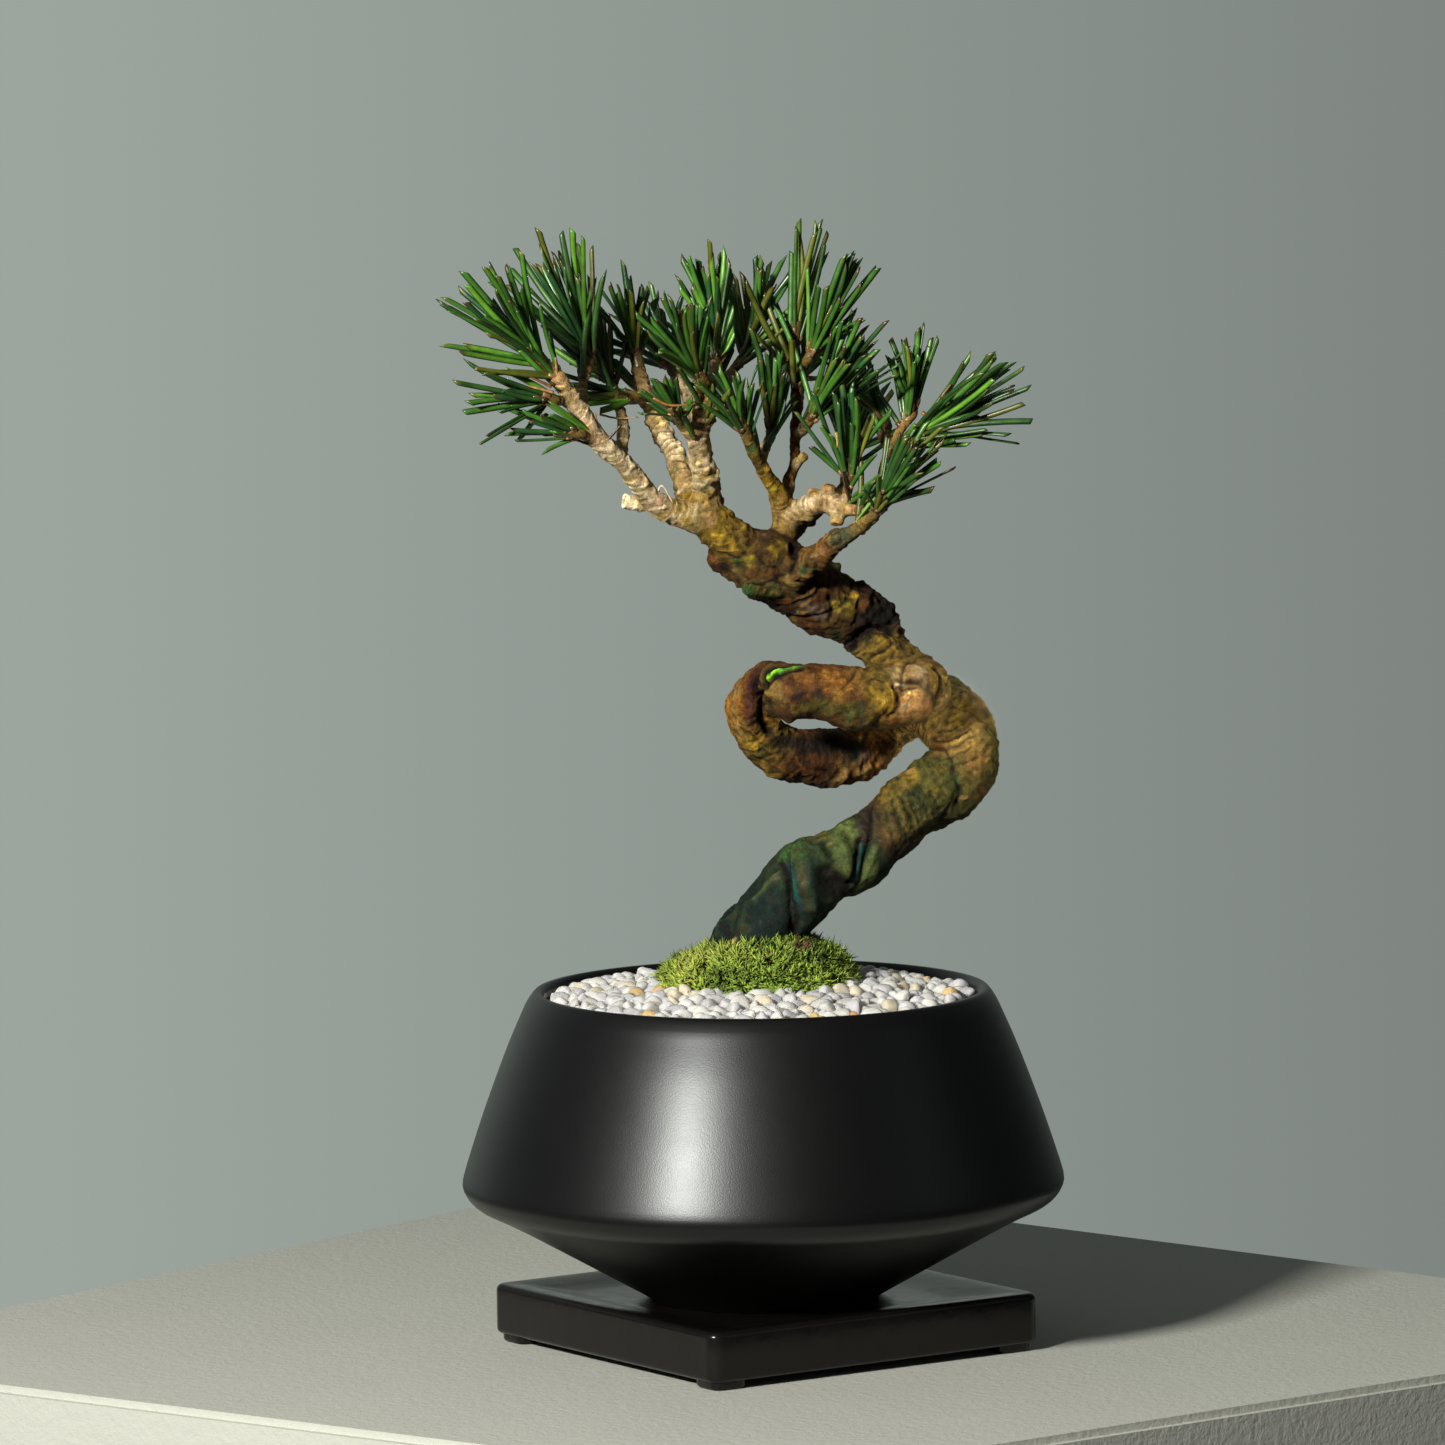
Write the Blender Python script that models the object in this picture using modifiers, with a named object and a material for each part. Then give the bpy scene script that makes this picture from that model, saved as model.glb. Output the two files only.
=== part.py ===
"""A Japanese black pine bonsai: a looped trunk in a round ceramic pot, on a square footed tray.

Metres, +Z up. The origin is on the pot's axis, at the surface that the tray stands on. The side
that the tree is shown from faces -Y. Each limb is a row of points (x, y, z, radius) along its
middle, and each spray of needles grows from the end of a limb.
"""

import math
import random
from collections import namedtuple

import bmesh
import bpy
import numpy as np
from mathutils import Matrix, Vector, geometry

GAP = 0.0003                 # what pieces that touch or rest keep between them

# Tray
TRAY_SIDE = 0.079
TRAY_TURN = math.radians(34.5)
TRAY_FOOT_HEIGHT = 0.0015
TRAY_FOOT_SIDE = 0.008
TRAY_FOOT_INSET = 0.0012
TRAY_FOOT_CORNER = 0.002
TRAY_TOP = 0.0115
TRAY_CORNER = 0.003
TRAY_EDGE = 0.0012
TRAY_RIM = 0.004
TRAY_DISH_SLOPE = 0.0095
TRAY_DISH_FLOOR = 0.010

# Pot: radius and height, down the outside from the rim's crest to the foot
POT_OUTSIDE = [
    (0.0453, 0.0718), (0.0465, 0.0704), (0.0476, 0.0679), (0.0510, 0.0600), (0.0555, 0.0480),
    (0.0587, 0.0384), (0.0597, 0.0356), (0.0600, 0.0336), (0.0593, 0.0314), (0.0574, 0.0295),
    (0.0528, 0.0272), (0.0458, 0.0234), (0.0245, 0.0113), (0.0230, TRAY_DISH_FLOOR + GAP),
]
POT_FOOT_INNER = 0.0198
POT_UNDERSIDE = 0.0123
POT_FLOOR = 0.0153
DRAIN_RADIUS = 0.007
POT_INSIDE = [
    (0.0200, POT_FLOOR), (0.0458, 0.0280), (0.0535, 0.0322), (0.0552, 0.0355), (0.0520, 0.0465),
    (0.0464, 0.0605), (0.0434, 0.0685), (0.0432, 0.0708), (0.0441, 0.0718),
]
POT_STEPS = 44

# Fill: drainage mesh, soil, gravel and moss
MESH_SIDE = 0.020
MESH_THICKNESS = 0.0008
MESH_OPENINGS = 4
MESH_BAR = 0.0012
SOIL_TOP = 0.066
SOIL_WALL_GAP = 0.0005
SOIL_FLAT_RADIUS = 0.0175     # of the flat underside, over the drainage mesh
SOIL_STEPS = 27
ROOT_HOLE_X = -0.0047
ROOT_HOLE_RADIUS = 0.0100
ROOT_HOLE_FLOOR = 0.0520
ROOT_HOLE_SIDES = 28
GRAVEL_RADIUS = 0.0427
GRAVEL_EDGE = 0.0700
GRAVEL_CROWN = 0.0030
GRAVEL_RELIEF = 0.0010
GRAVEL_PITCH = 0.0034
MOSS_X = -0.0019
MOSS_HALF_WIDTH = 0.0216
MOSS_HALF_DEPTH = 0.0182
MOSS_EDGE = 0.0712
MOSS_RISE = 0.0122
MOSS_RELIEF = 0.0006
MOSS_PITCH = 0.0027
MOSS_HOLE_X = -0.0020
MOSS_HOLE_RADIUS = 0.0118
BED_LOOP_POINTS = 40
BED_MARGIN = 0.45            # the lattice keeps this share of its pitch off the bed's edges
BED_STRAY = 0.16             # and its points stray by up to this share

# Wood
TRUNK_SIDES = 10
TRUNK_STEP = 0.0038
BRANCH_STEP = 0.0048
THICK_BRANCH = 0.0030         # a branch whose root is thicker than this gets more sides
SCAR_STARTS = 2              # how many grooves wind round the trunk side by side
SCAR_DEPTH = 0.13
SCAR_WIDTH = 0.13            # as a share of the way from one groove to the next
SWELL = 0.07
SOIL_LINE = 0.072            # the trunk is plain below this height
# Where the grooves cross the front, as distances along the middle of each stretch of trunk
LOWER_SCARS = [0.0240, 0.0408, 0.0573, 0.0809, 0.0960, 0.1110, 0.1260, 0.1420, 0.1560]
FRONT_SCARS = [0, 0.0145, 0.0255, 0.0375]
UPPER_SCARS = [0.0030, 0.0185, 0.0300, 0.0420, 0.0540]

LOWER_TRUNK = [
    (-0.005, 0, 0.0525, 0.0060), (-0.005, 0, 0.0605, 0.0085), (-0.0045, 0, 0.0675, 0.0088),
    (-0.003, 0, 0.0745, 0.0088), (-0.0010, 0, 0.0813, 0.0084), (0.0044, -0.0005, 0.0877, 0.0072),
    (0.0107, -0.001, 0.0946, 0.0076), (0.0184, 0, 0.0978, 0.0068), (0.0247, 0.001, 0.1025, 0.0062),
    (0.0319, 0.002, 0.1087, 0.0066), (0.0388, 0.003, 0.1129, 0.0068), (0.0415, 0.0045, 0.1184, 0.0065),
    (0.0388, 0.0075, 0.1242, 0.0068), (0.034, 0.0115, 0.1272, 0.0065), (0.0275, 0.0138, 0.1243, 0.0056),
    (0.0221, 0.013, 0.119, 0.0054), (0.0158, 0.010, 0.1169, 0.0057), (0.0067, 0.007, 0.1181, 0.0055),
    (0.001, 0.004, 0.1216, 0.0049), (-0.0015, 0.001, 0.1277, 0.0049), (0.0012, -0.002, 0.132, 0.0046),
    (0.0038, -0.004, 0.1335, 0.0042),
]
FRONT_TRUNK = [
    (0.0015, -0.008, 0.1325, 0.0030), (0.0035, -0.009, 0.133, 0.0046), (0.006, -0.0105, 0.1325, 0.0054),
    (0.0125, -0.011, 0.132, 0.0054), (0.0185, -0.011, 0.131, 0.0064), (0.025, -0.010, 0.131, 0.0062),
    (0.031, -0.008, 0.132, 0.0058), (0.0345, -0.004, 0.1325, 0.0052),
]
UPPER_TRUNK = [
    (0.0325, -0.003, 0.1325, 0.0048), (0.0303, 0.002, 0.1345, 0.0050), (0.0265, 0.0045, 0.1372, 0.0050),
    (0.0235, 0.006, 0.1413, 0.0051), (0.0203, 0.006, 0.1458, 0.0060), (0.0137, 0.004, 0.1483, 0.0065),
    (0.0087, 0.002, 0.1518, 0.0062), (0.003, 0, 0.156, 0.0069), (-0.0015, 0, 0.158, 0.0062),
    (-0.0053, 0, 0.1588, 0.0048), (-0.009, 0, 0.1587, 0.0030),
]
BRANCHES = {
    "left_stem": [
        (-0.001, -0.001, 0.1585, 0.0050), (-0.0052, -0.003, 0.1622, 0.0044),
        (-0.0094, -0.004, 0.1661, 0.0039), (-0.0122, -0.004, 0.1688, 0.0032),
    ],
    "left_branch": [
        (-0.0105, -0.004, 0.1665, 0.0034), (-0.0165, -0.006, 0.168, 0.0026),
        (-0.0205, -0.008, 0.1705, 0.0023), (-0.0235, -0.010, 0.175, 0.0021),
        (-0.0265, -0.012, 0.1785, 0.0020), (-0.0305, -0.014, 0.1825, 0.0021),
        (-0.033, -0.015, 0.1865, 0.0020), (-0.036, -0.016, 0.191, 0.0018),
        (-0.038, -0.017, 0.195, 0.0016), (-0.040, -0.017, 0.197, 0.0013),
    ],
    "left_stub": [
        (-0.0195, -0.007, 0.1695, 0.0016), (-0.023, -0.006, 0.1695, 0.0015),
        (-0.026, -0.006, 0.170, 0.0016),
    ],
    "left_twig_upper": [(-0.0355, -0.016, 0.1905, 0.0012), (-0.0385, -0.0185, 0.191, 0.0010)],
    "left_twig_lower": [(-0.030, -0.014, 0.1825, 0.0012), (-0.0335, -0.0175, 0.184, 0.0010)],
    "left_twig_inner": [
        (-0.033, -0.015, 0.1865, 0.0013), (-0.034, -0.008, 0.192, 0.0012), (-0.0325, -0.002, 0.197, 0.0010),
    ],
    "left_twig_back": [
        (-0.0265, -0.012, 0.1785, 0.0013), (-0.026, -0.002, 0.185, 0.0012), (-0.028, 0.009, 0.1915, 0.0010),
    ],
    "mid_left_branch": [
        (-0.012, -0.003, 0.1675, 0.0032), (-0.014, 0.001, 0.173, 0.0028), (-0.0155, 0.005, 0.1775, 0.0023),
        (-0.018, 0.008, 0.182, 0.0021), (-0.0205, 0.011, 0.187, 0.0020), (-0.022, 0.013, 0.191, 0.0017),
        (-0.023, 0.014, 0.1955, 0.0013),
    ],
    "mid_left_twig": [(-0.0205, 0.011, 0.187, 0.0013), (-0.0228, 0.0048, 0.1895, 0.0010)],
    "mid_right_branch": [
        (-0.0105, -0.004, 0.1665, 0.0032), (-0.0096, -0.005, 0.173, 0.0026),
        (-0.0106, -0.006, 0.178, 0.0023), (-0.0112, -0.007, 0.1825, 0.0022),
        (-0.010, -0.008, 0.187, 0.0023), (-0.0095, -0.008, 0.190, 0.0021),
        (-0.010, -0.009, 0.1925, 0.0016),
    ],
    "mid_right_stub": [(-0.011, -0.007, 0.1805, 0.0016), (-0.0138, -0.0105, 0.185, 0.0013)],
    "mid_right_twig": [
        (-0.0095, -0.008, 0.189, 0.0015), (-0.008, 0, 0.195, 0.0012), (-0.0075, 0.004, 0.200, 0.0010),
    ],
    "top_twig": [
        (-0.0095, -0.007, 0.1885, 0.0015), (-0.005, 0.006, 0.1935, 0.0012), (-0.002, 0.012, 0.197, 0.0010),
    ],
    "back_left_branch": [
        (-0.0075, -0.0025, 0.1635, 0.0026), (-0.009, 0.006, 0.1695, 0.0024), (-0.010, 0.013, 0.175, 0.0020),
        (-0.0105, 0.018, 0.180, 0.0018), (-0.0125, 0.024, 0.1865, 0.0014), (-0.0155, 0.028, 0.192, 0.0011),
    ],
    "back_middle_branch": [
        (-0.0105, 0.017, 0.179, 0.0014), (-0.0095, 0.022, 0.1855, 0.0012), (-0.0075, 0.026, 0.193, 0.0010),
    ],
    "second_stem": [
        (0.0035, 0.002, 0.157, 0.0040), (0.0055, 0.002, 0.1625, 0.0028), (0.0057, 0.002, 0.1665, 0.0025),
        (0.0051, 0.001, 0.169, 0.0022), (0.0037, -0.001, 0.172, 0.0017), (0.002, -0.003, 0.175, 0.0015),
        (0.0003, -0.006, 0.1785, 0.0013), (-0.0012, -0.008, 0.182, 0.0012),
    ],
    "pale_twig": [(0.001, -0.004, 0.1773, 0.0012), (0.0028, 0.001, 0.1812, 0.0010)],
    "red_twig": [
        (0.0055, 0.002, 0.1685, 0.0017), (0.007, 0.004, 0.173, 0.0013), (0.008, 0.006, 0.177, 0.0012),
        (0.008, 0.007, 0.1815, 0.0011), (0.0085, 0.008, 0.1865, 0.0011), (0.008, 0.009, 0.1925, 0.0010),
        (0.008, 0.010, 0.1975, 0.0010),
    ],
    "red_stub": [(0.008, 0.005, 0.1755, 0.0011), (0.010, 0.003, 0.178, 0.0010)],
    "red_side_twig": [(0.0085, 0.007, 0.1815, 0.0011), (0.0105, 0.0025, 0.1842, 0.0010)],
    "red_fork": [(0.008, 0.009, 0.1925, 0.0011), (0.0105, 0.0045, 0.1965, 0.0010)],
    "red_back_twig": [
        (0.0085, 0.008, 0.186, 0.0011), (0.009, 0.015, 0.1885, 0.0010), (0.0095, 0.021, 0.191, 0.0010),
    ],
    "right_branch": [
        (0.006, 0.002, 0.165, 0.0024), (0.0095, 0, 0.1675, 0.0022), (0.013, -0.003, 0.169, 0.0023),
        (0.0165, -0.006, 0.1685, 0.0022), (0.0185, -0.008, 0.168, 0.0015), (0.0205, -0.0105, 0.168, 0.0010),
    ],
    "right_drop": [(0.0165, -0.006, 0.1685, 0.0015), (0.016, -0.008, 0.165, 0.0013)],
    "right_knob_inner": [(0.012, -0.002, 0.1685, 0.0016), (0.0115, -0.003, 0.1715, 0.0014)],
    "right_knob_outer": [(0.0145, -0.005, 0.169, 0.0016), (0.0145, -0.006, 0.1725, 0.0014)],
    "right_twig": [(0.0175, -0.007, 0.168, 0.0013), (0.0182, -0.0075, 0.1718, 0.0010)],
    "back_right_branch": [
        (0.0055, 0.002, 0.162, 0.0022), (0.0125, 0.014, 0.167, 0.0018), (0.0175, 0.020, 0.1695, 0.0014),
        (0.019, 0.023, 0.175, 0.0011),
    ],
    "low_branch": [
        (0.007, -0.004, 0.155, 0.0032), (0.010, -0.007, 0.1575, 0.0025), (0.0135, -0.010, 0.160, 0.0022),
        (0.0155, -0.012, 0.162, 0.0024), (0.0183, -0.013, 0.1635, 0.0017), (0.0208, -0.015, 0.1654, 0.0012),
        (0.0226, -0.0175, 0.1672, 0.0010),
    ],
    "far_twig": [
        (0.0185, -0.0125, 0.1635, 0.0014), (0.0232, -0.009, 0.1665, 0.0012),
        (0.0248, -0.003, 0.1717, 0.0011),
        (0.026, 0, 0.177, 0.0011), (0.0285, 0.001, 0.182, 0.0010), (0.0305, 0.0015, 0.185, 0.0010),
    ],
    "far_left_twig": [(0.0262, 0.0002, 0.178, 0.0011), (0.0262, 0.0045, 0.1828, 0.0010)],
    "far_right_twig": [(0.0262, 0.0002, 0.178, 0.0011), (0.0305, -0.0042, 0.1815, 0.0010)],
    "dark_stub": [(0.011, 0.006, 0.1525, 0.0028), (0.0155, 0.010, 0.1545, 0.0019)],
    "low_stub": [(0.007, -0.003, 0.152, 0.0022), (-0.0025, -0.008, 0.1525, 0.0014)],
}

# Sprays: the limb whose end they grow from, the way they point, the half angle of their cone in
# degrees, how many needles, and the shortest and longest needle
Spray = namedtuple("Spray", "limb towards spread needles shortest longest")
SPRAYS = [
    Spray("left_branch", (-0.67, -0.22, 0.71), 32, 25, 0.0145, 0.0225),
    Spray("left_twig_upper", (-0.95, -0.30, 0.13), 12, 7, 0.013, 0.017),
    Spray("left_twig_lower", (-0.96, -0.24, 0.13), 14, 7, 0.010, 0.014),
    Spray("left_twig_inner", (-0.38, 0.17, 0.91), 27, 24, 0.017, 0.0245),
    Spray("mid_left_branch", (-0.17, 0.26, 0.95), 30, 19, 0.009, 0.0165),
    Spray("mid_left_twig", (-0.90, -0.42, 0.04), 18, 8, 0.010, 0.014),
    Spray("mid_right_branch", (-0.36, -0.26, 0.90), 33, 22, 0.012, 0.018),
    Spray("mid_right_twig", (-0.10, 0.09, 0.99), 22, 18, 0.010, 0.0165),
    Spray("top_twig", (0.28, 0.26, 0.92), 28, 17, 0.010, 0.017),
    Spray("second_stem", (-0.36, -0.34, 0.87), 30, 14, 0.009, 0.014),
    Spray("pale_twig", (0.05, -0.09, 0.99), 19, 12, 0.010, 0.018),
    Spray("red_twig", (0.13, 0.09, 0.99), 11, 11, 0.018, 0.0245),
    Spray("red_fork", (0.43, -0.17, 0.88), 18, 16, 0.015, 0.0205),
    Spray("red_side_twig", (0.50, -0.36, 0.79), 18, 16, 0.014, 0.0245),
    Spray("far_left_twig", (-0.47, 0.30, 0.83), 11, 5, 0.013, 0.018),
    Spray("far_twig", (0.03, 0, 1.00), 19, 13, 0.009, 0.0145),
    Spray("far_right_twig", (0.87, -0.17, 0.46), 25, 21, 0.014, 0.0225),
    Spray("right_twig", (0.02, -0.09, 0.99), 20, 16, 0.011, 0.018),
    Spray("right_branch", (0.70, -0.26, 0.67), 17, 15, 0.013, 0.020),
    Spray("low_branch", (0.40, -0.42, 0.81), 20, 11, 0.009, 0.016),
    Spray("back_left_branch", (-0.36, 0.50, 0.79), 36, 18, 0.012, 0.017),
    Spray("back_middle_branch", (0.07, 0.57, 0.82), 34, 18, 0.012, 0.016),
    Spray("back_right_branch", (0.18, 0.34, 0.92), 28, 16, 0.009, 0.015),
    Spray("mid_right_stub", (-0.38, -0.64, 0.66), 24, 8, 0.006, 0.010),
    Spray("red_back_twig", (0.14, 0.57, 0.81), 32, 15, 0.011, 0.016),
    Spray("left_twig_back", (-0.43, 0.50, 0.75), 32, 16, 0.012, 0.016),
]
NEEDLE_ROOT = 0.00048        # from a needle's middle to its edges, at its root and at its tip
NEEDLE_TIP = 0.00068
NEEDLE_CLEARANCE = 0.0004    # kept between a needle and any other node
NEEDLE_TRIES = 60
STRAY_SHARE = 0.12           # of the needles that lean further out than their spray's cone
STRAY_LEAN = (6, 20)         # by so many degrees
CORE_STRAIGHT = 0.0012       # a spray's core leaves its limb straight on, then turns
CORE_LENGTH = 0.0065
CORE_TIP = 0.0012
ROOT_OFFSET = 0.0009         # how far off the core's middle the outermost needles start
GOLDEN_ANGLE = math.radians(137.5)
SEED = 41


def clear_scene():
    for thing in list(bpy.data.objects):
        bpy.data.objects.remove(thing, do_unlink=True)


def collection(name):
    made = bpy.data.collections.new(name)
    bpy.context.scene.collection.children.link(made)
    return made


def material(name, colour, roughness, metallic=0.0):
    made = bpy.data.materials.new(name)
    made.use_nodes = True
    shader = made.node_tree.nodes["Principled BSDF"]
    shader.inputs["Base Color"].default_value = (*colour, 1.0)
    shader.inputs["Roughness"].default_value = roughness
    shader.inputs["Metallic"].default_value = metallic
    return made


def place(name, mesh, home, finish=None):
    """An object named name with this mesh, in the collection home."""
    thing = bpy.data.objects.new(name, mesh)
    home.objects.link(thing)
    if finish:
        mesh.materials.clear()
        mesh.materials.append(finish)
    return thing


def mesh_from(shape, name):
    """A mesh datablock from a bmesh, which is then freed."""
    mesh = bpy.data.meshes.new(name)
    bmesh.ops.recalc_face_normals(shape, faces=shape.faces)
    shape.to_mesh(mesh)
    shape.free()
    return mesh


def smooth(mesh, degrees=35):
    mesh.shade_smooth()
    mesh.set_sharp_from_angle(angle=math.radians(degrees))


def evaluated_mesh(thing):
    """The object's mesh with its modifiers applied."""
    bpy.context.view_layer.update()
    graph = bpy.context.evaluated_depsgraph_get()
    return bpy.data.meshes.new_from_object(thing.evaluated_get(graph))


def remove(things):
    for thing in list(things):
        bpy.data.objects.remove(thing, do_unlink=True)


def boolean(target, cutter, operation, solver="EXACT"):
    modifier = target.modifiers.new(operation.title(), "BOOLEAN")
    modifier.operation = operation
    modifier.solver = solver
    modifier.object = cutter


def joined(first, others, solver="EXACT"):
    """The mesh of the first object united with every object of the collection, which goes."""
    modifier = first.modifiers.new("Join", "BOOLEAN")
    modifier.operation = "UNION"
    modifier.solver = solver
    modifier.operand_type = "COLLECTION"
    modifier.collection = others
    mesh = evaluated_mesh(first)
    remove(others.objects)
    bpy.data.collections.remove(others)
    remove([first])
    return mesh


def turned(name, profile, steps, home, finish):
    """A closed profile of (radius, height) turned about Z. It runs down the outer side first."""
    mesh = bpy.data.meshes.new(name)
    points = [(radius, 0, height) for radius, height in profile]
    edges = [(i, (i + 1) % len(points)) for i in range(len(points))]
    mesh.from_pydata(points, edges, [])
    thing = place(name, mesh, home, finish)
    screw = thing.modifiers.new("Turn", "SCREW")
    screw.axis = "Z"
    screw.angle = 2 * math.pi
    screw.steps = steps
    screw.render_steps = steps
    screw.use_merge_vertices = True
    screw.merge_threshold = 0.00001
    screw.use_smooth_shade = True
    return thing


def tray(home, finish):
    """The square body with rounded corners and edges, a dished top and four corner feet."""
    body = bmesh.new()
    bmesh.ops.create_cube(body, size=1)
    height = TRAY_TOP - TRAY_FOOT_HEIGHT
    bmesh.ops.scale(body, vec=(TRAY_SIDE, TRAY_SIDE, height), verts=body.verts)
    bmesh.ops.translate(body, vec=(0, 0, TRAY_FOOT_HEIGHT + height / 2), verts=body.verts)
    top = max(body.faces, key=lambda f: f.calc_center_median().z)
    bmesh.ops.inset_region(body, faces=[top], thickness=TRAY_RIM)
    bmesh.ops.inset_region(body, faces=[top], thickness=TRAY_DISH_SLOPE)
    bmesh.ops.translate(body, vec=(0, 0, TRAY_DISH_FLOOR - TRAY_TOP), verts=top.verts)
    upright = [e for e in body.edges if abs(e.verts[0].co.z - e.verts[1].co.z) > height / 2]
    bmesh.ops.bevel(body, geom=upright, offset=TRAY_CORNER, segments=4, profile=0.5, affect="EDGES")
    body.normal_update()
    rims = [e for e in body.edges if abs(e.link_faces[0].normal.z - e.link_faces[1].normal.z) > 0.9]
    bmesh.ops.bevel(body, geom=rims, offset=TRAY_EDGE, segments=2, profile=0.5, affect="EDGES")
    whole = place("tray", mesh_from(body, "tray"), home, finish)

    feet = bpy.data.collections.new("tray_feet")
    bpy.context.scene.collection.children.link(feet)
    reach = TRAY_SIDE / 2 - TRAY_FOOT_INSET - TRAY_FOOT_SIDE / 2
    sunk = TRAY_FOOT_HEIGHT
    for x in (-reach, reach):
        for y in (-reach, reach):
            foot = bmesh.new()
            bmesh.ops.create_cube(foot, size=1)
            size = (TRAY_FOOT_SIDE, TRAY_FOOT_SIDE, TRAY_FOOT_HEIGHT + sunk)
            bmesh.ops.scale(foot, vec=size, verts=foot.verts)
            bmesh.ops.translate(foot, vec=(x, y, size[2] / 2), verts=foot.verts)
            upright = [e for e in foot.edges if abs(e.verts[0].co.z - e.verts[1].co.z) > sunk]
            bmesh.ops.bevel(
                foot, geom=upright, offset=TRAY_FOOT_CORNER, segments=3, profile=0.5, affect="EDGES"
            )
            place("foot", mesh_from(foot, "foot"), feet)
    mesh = joined(whole, feet)
    made = place("tray", mesh, home, finish)
    smooth(mesh)
    made.rotation_euler.z = TRAY_TURN
    return made


def pot(home, finish):
    """The turned pot: belly, rolled rim, foot ring, drainage hole and hollow inside."""
    foot = POT_OUTSIDE[-1][1]
    underside = [
        (POT_FOOT_INNER, foot),
        (POT_FOOT_INNER - 0.0008, POT_UNDERSIDE),
        (DRAIN_RADIUS, POT_UNDERSIDE),
        (DRAIN_RADIUS, POT_FLOOR),
    ]
    return turned("pot", POT_OUTSIDE + underside + POT_INSIDE, POT_STEPS, home, finish)


def drainage_mesh(home, finish):
    """A square plate over the drainage hole with rows of square openings through it."""
    plate = bmesh.new()
    bmesh.ops.create_cube(plate, size=1)
    bmesh.ops.scale(plate, vec=(MESH_SIDE, MESH_SIDE, MESH_THICKNESS), verts=plate.verts)
    whole = place("plate", mesh_from(plate, "plate"), home)
    openings = bmesh.new()
    pitch = (MESH_SIDE - MESH_BAR) / MESH_OPENINGS
    for row in range(MESH_OPENINGS):
        for column in range(MESH_OPENINGS):
            middle = [(MESH_BAR - MESH_SIDE + pitch) / 2 + pitch * step for step in (row, column)]
            size = (pitch - MESH_BAR, pitch - MESH_BAR, 3 * MESH_THICKNESS)
            shape = Matrix.Translation((*middle, 0)) @ Matrix.Diagonal((*size, 1))
            bmesh.ops.create_cube(openings, size=1, matrix=shape)
    cutter = place("openings", mesh_from(openings, "openings"), home)
    boolean(whole, cutter, "DIFFERENCE")
    mesh = evaluated_mesh(whole)
    remove([whole, cutter])
    made = place("drainage_mesh", mesh, home, finish)
    made.location.z = POT_FLOOR + GAP + MESH_THICKNESS / 2
    return made


def soil(home, cutters, finish):
    """The fill, a little inside the pot's wall, with a plain round hole for the tree's foot."""
    over_mesh = POT_FLOOR + 2 * GAP + MESH_THICKNESS
    wall = [point for point in POT_INSIDE if POT_FLOOR < point[1] < SOIL_TOP]
    above = POT_INSIDE[POT_INSIDE.index(wall[-1]) + 1]
    share = (SOIL_TOP - wall[-1][1]) / (above[1] - wall[-1][1])
    wall.append((wall[-1][0] + share * (above[0] - wall[-1][0]), SOIL_TOP))
    widest = max(wall)[1]
    # below the pot's widest place the fill is lifted off the wall as well as drawn in from it
    side = [(r - SOIL_WALL_GAP, z + GAP if z < widest else z) for r, z in reversed(wall)]
    profile = [(0, SOIL_TOP)] + side + [(SOIL_FLAT_RADIUS, over_mesh), (0, over_mesh)]
    made = turned("soil", profile, SOIL_STEPS, home, finish)
    depth = SOIL_TOP - ROOT_HOLE_FLOOR
    drill = bmesh.new()
    bmesh.ops.create_cone(
        drill,
        cap_ends=True,
        segments=ROOT_HOLE_SIDES,
        radius1=ROOT_HOLE_RADIUS,
        radius2=ROOT_HOLE_RADIUS,
        depth=2 * depth,
    )
    cutter = place("root_hole", mesh_from(drill, "root_hole"), cutters)
    cutter.location = (ROOT_HOLE_X, 0, SOIL_TOP)
    cutter.hide_render = True
    cutter.display_type = "WIRE"
    boolean(made, cutter, "DIFFERENCE")
    return made


def loop(middle_x, half_width, half_depth, count):
    """Points round an ellipse whose middle lies on the X axis."""
    turns = [2 * math.pi * i / count for i in range(count)]
    return [(middle_x + half_width * math.cos(t), half_depth * math.sin(t)) for t in turns]


def inside(point, middle_x, half_width, half_depth):
    return ((point[0] - middle_x) / half_width) ** 2 + (point[1] / half_depth) ** 2 < 1


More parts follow.
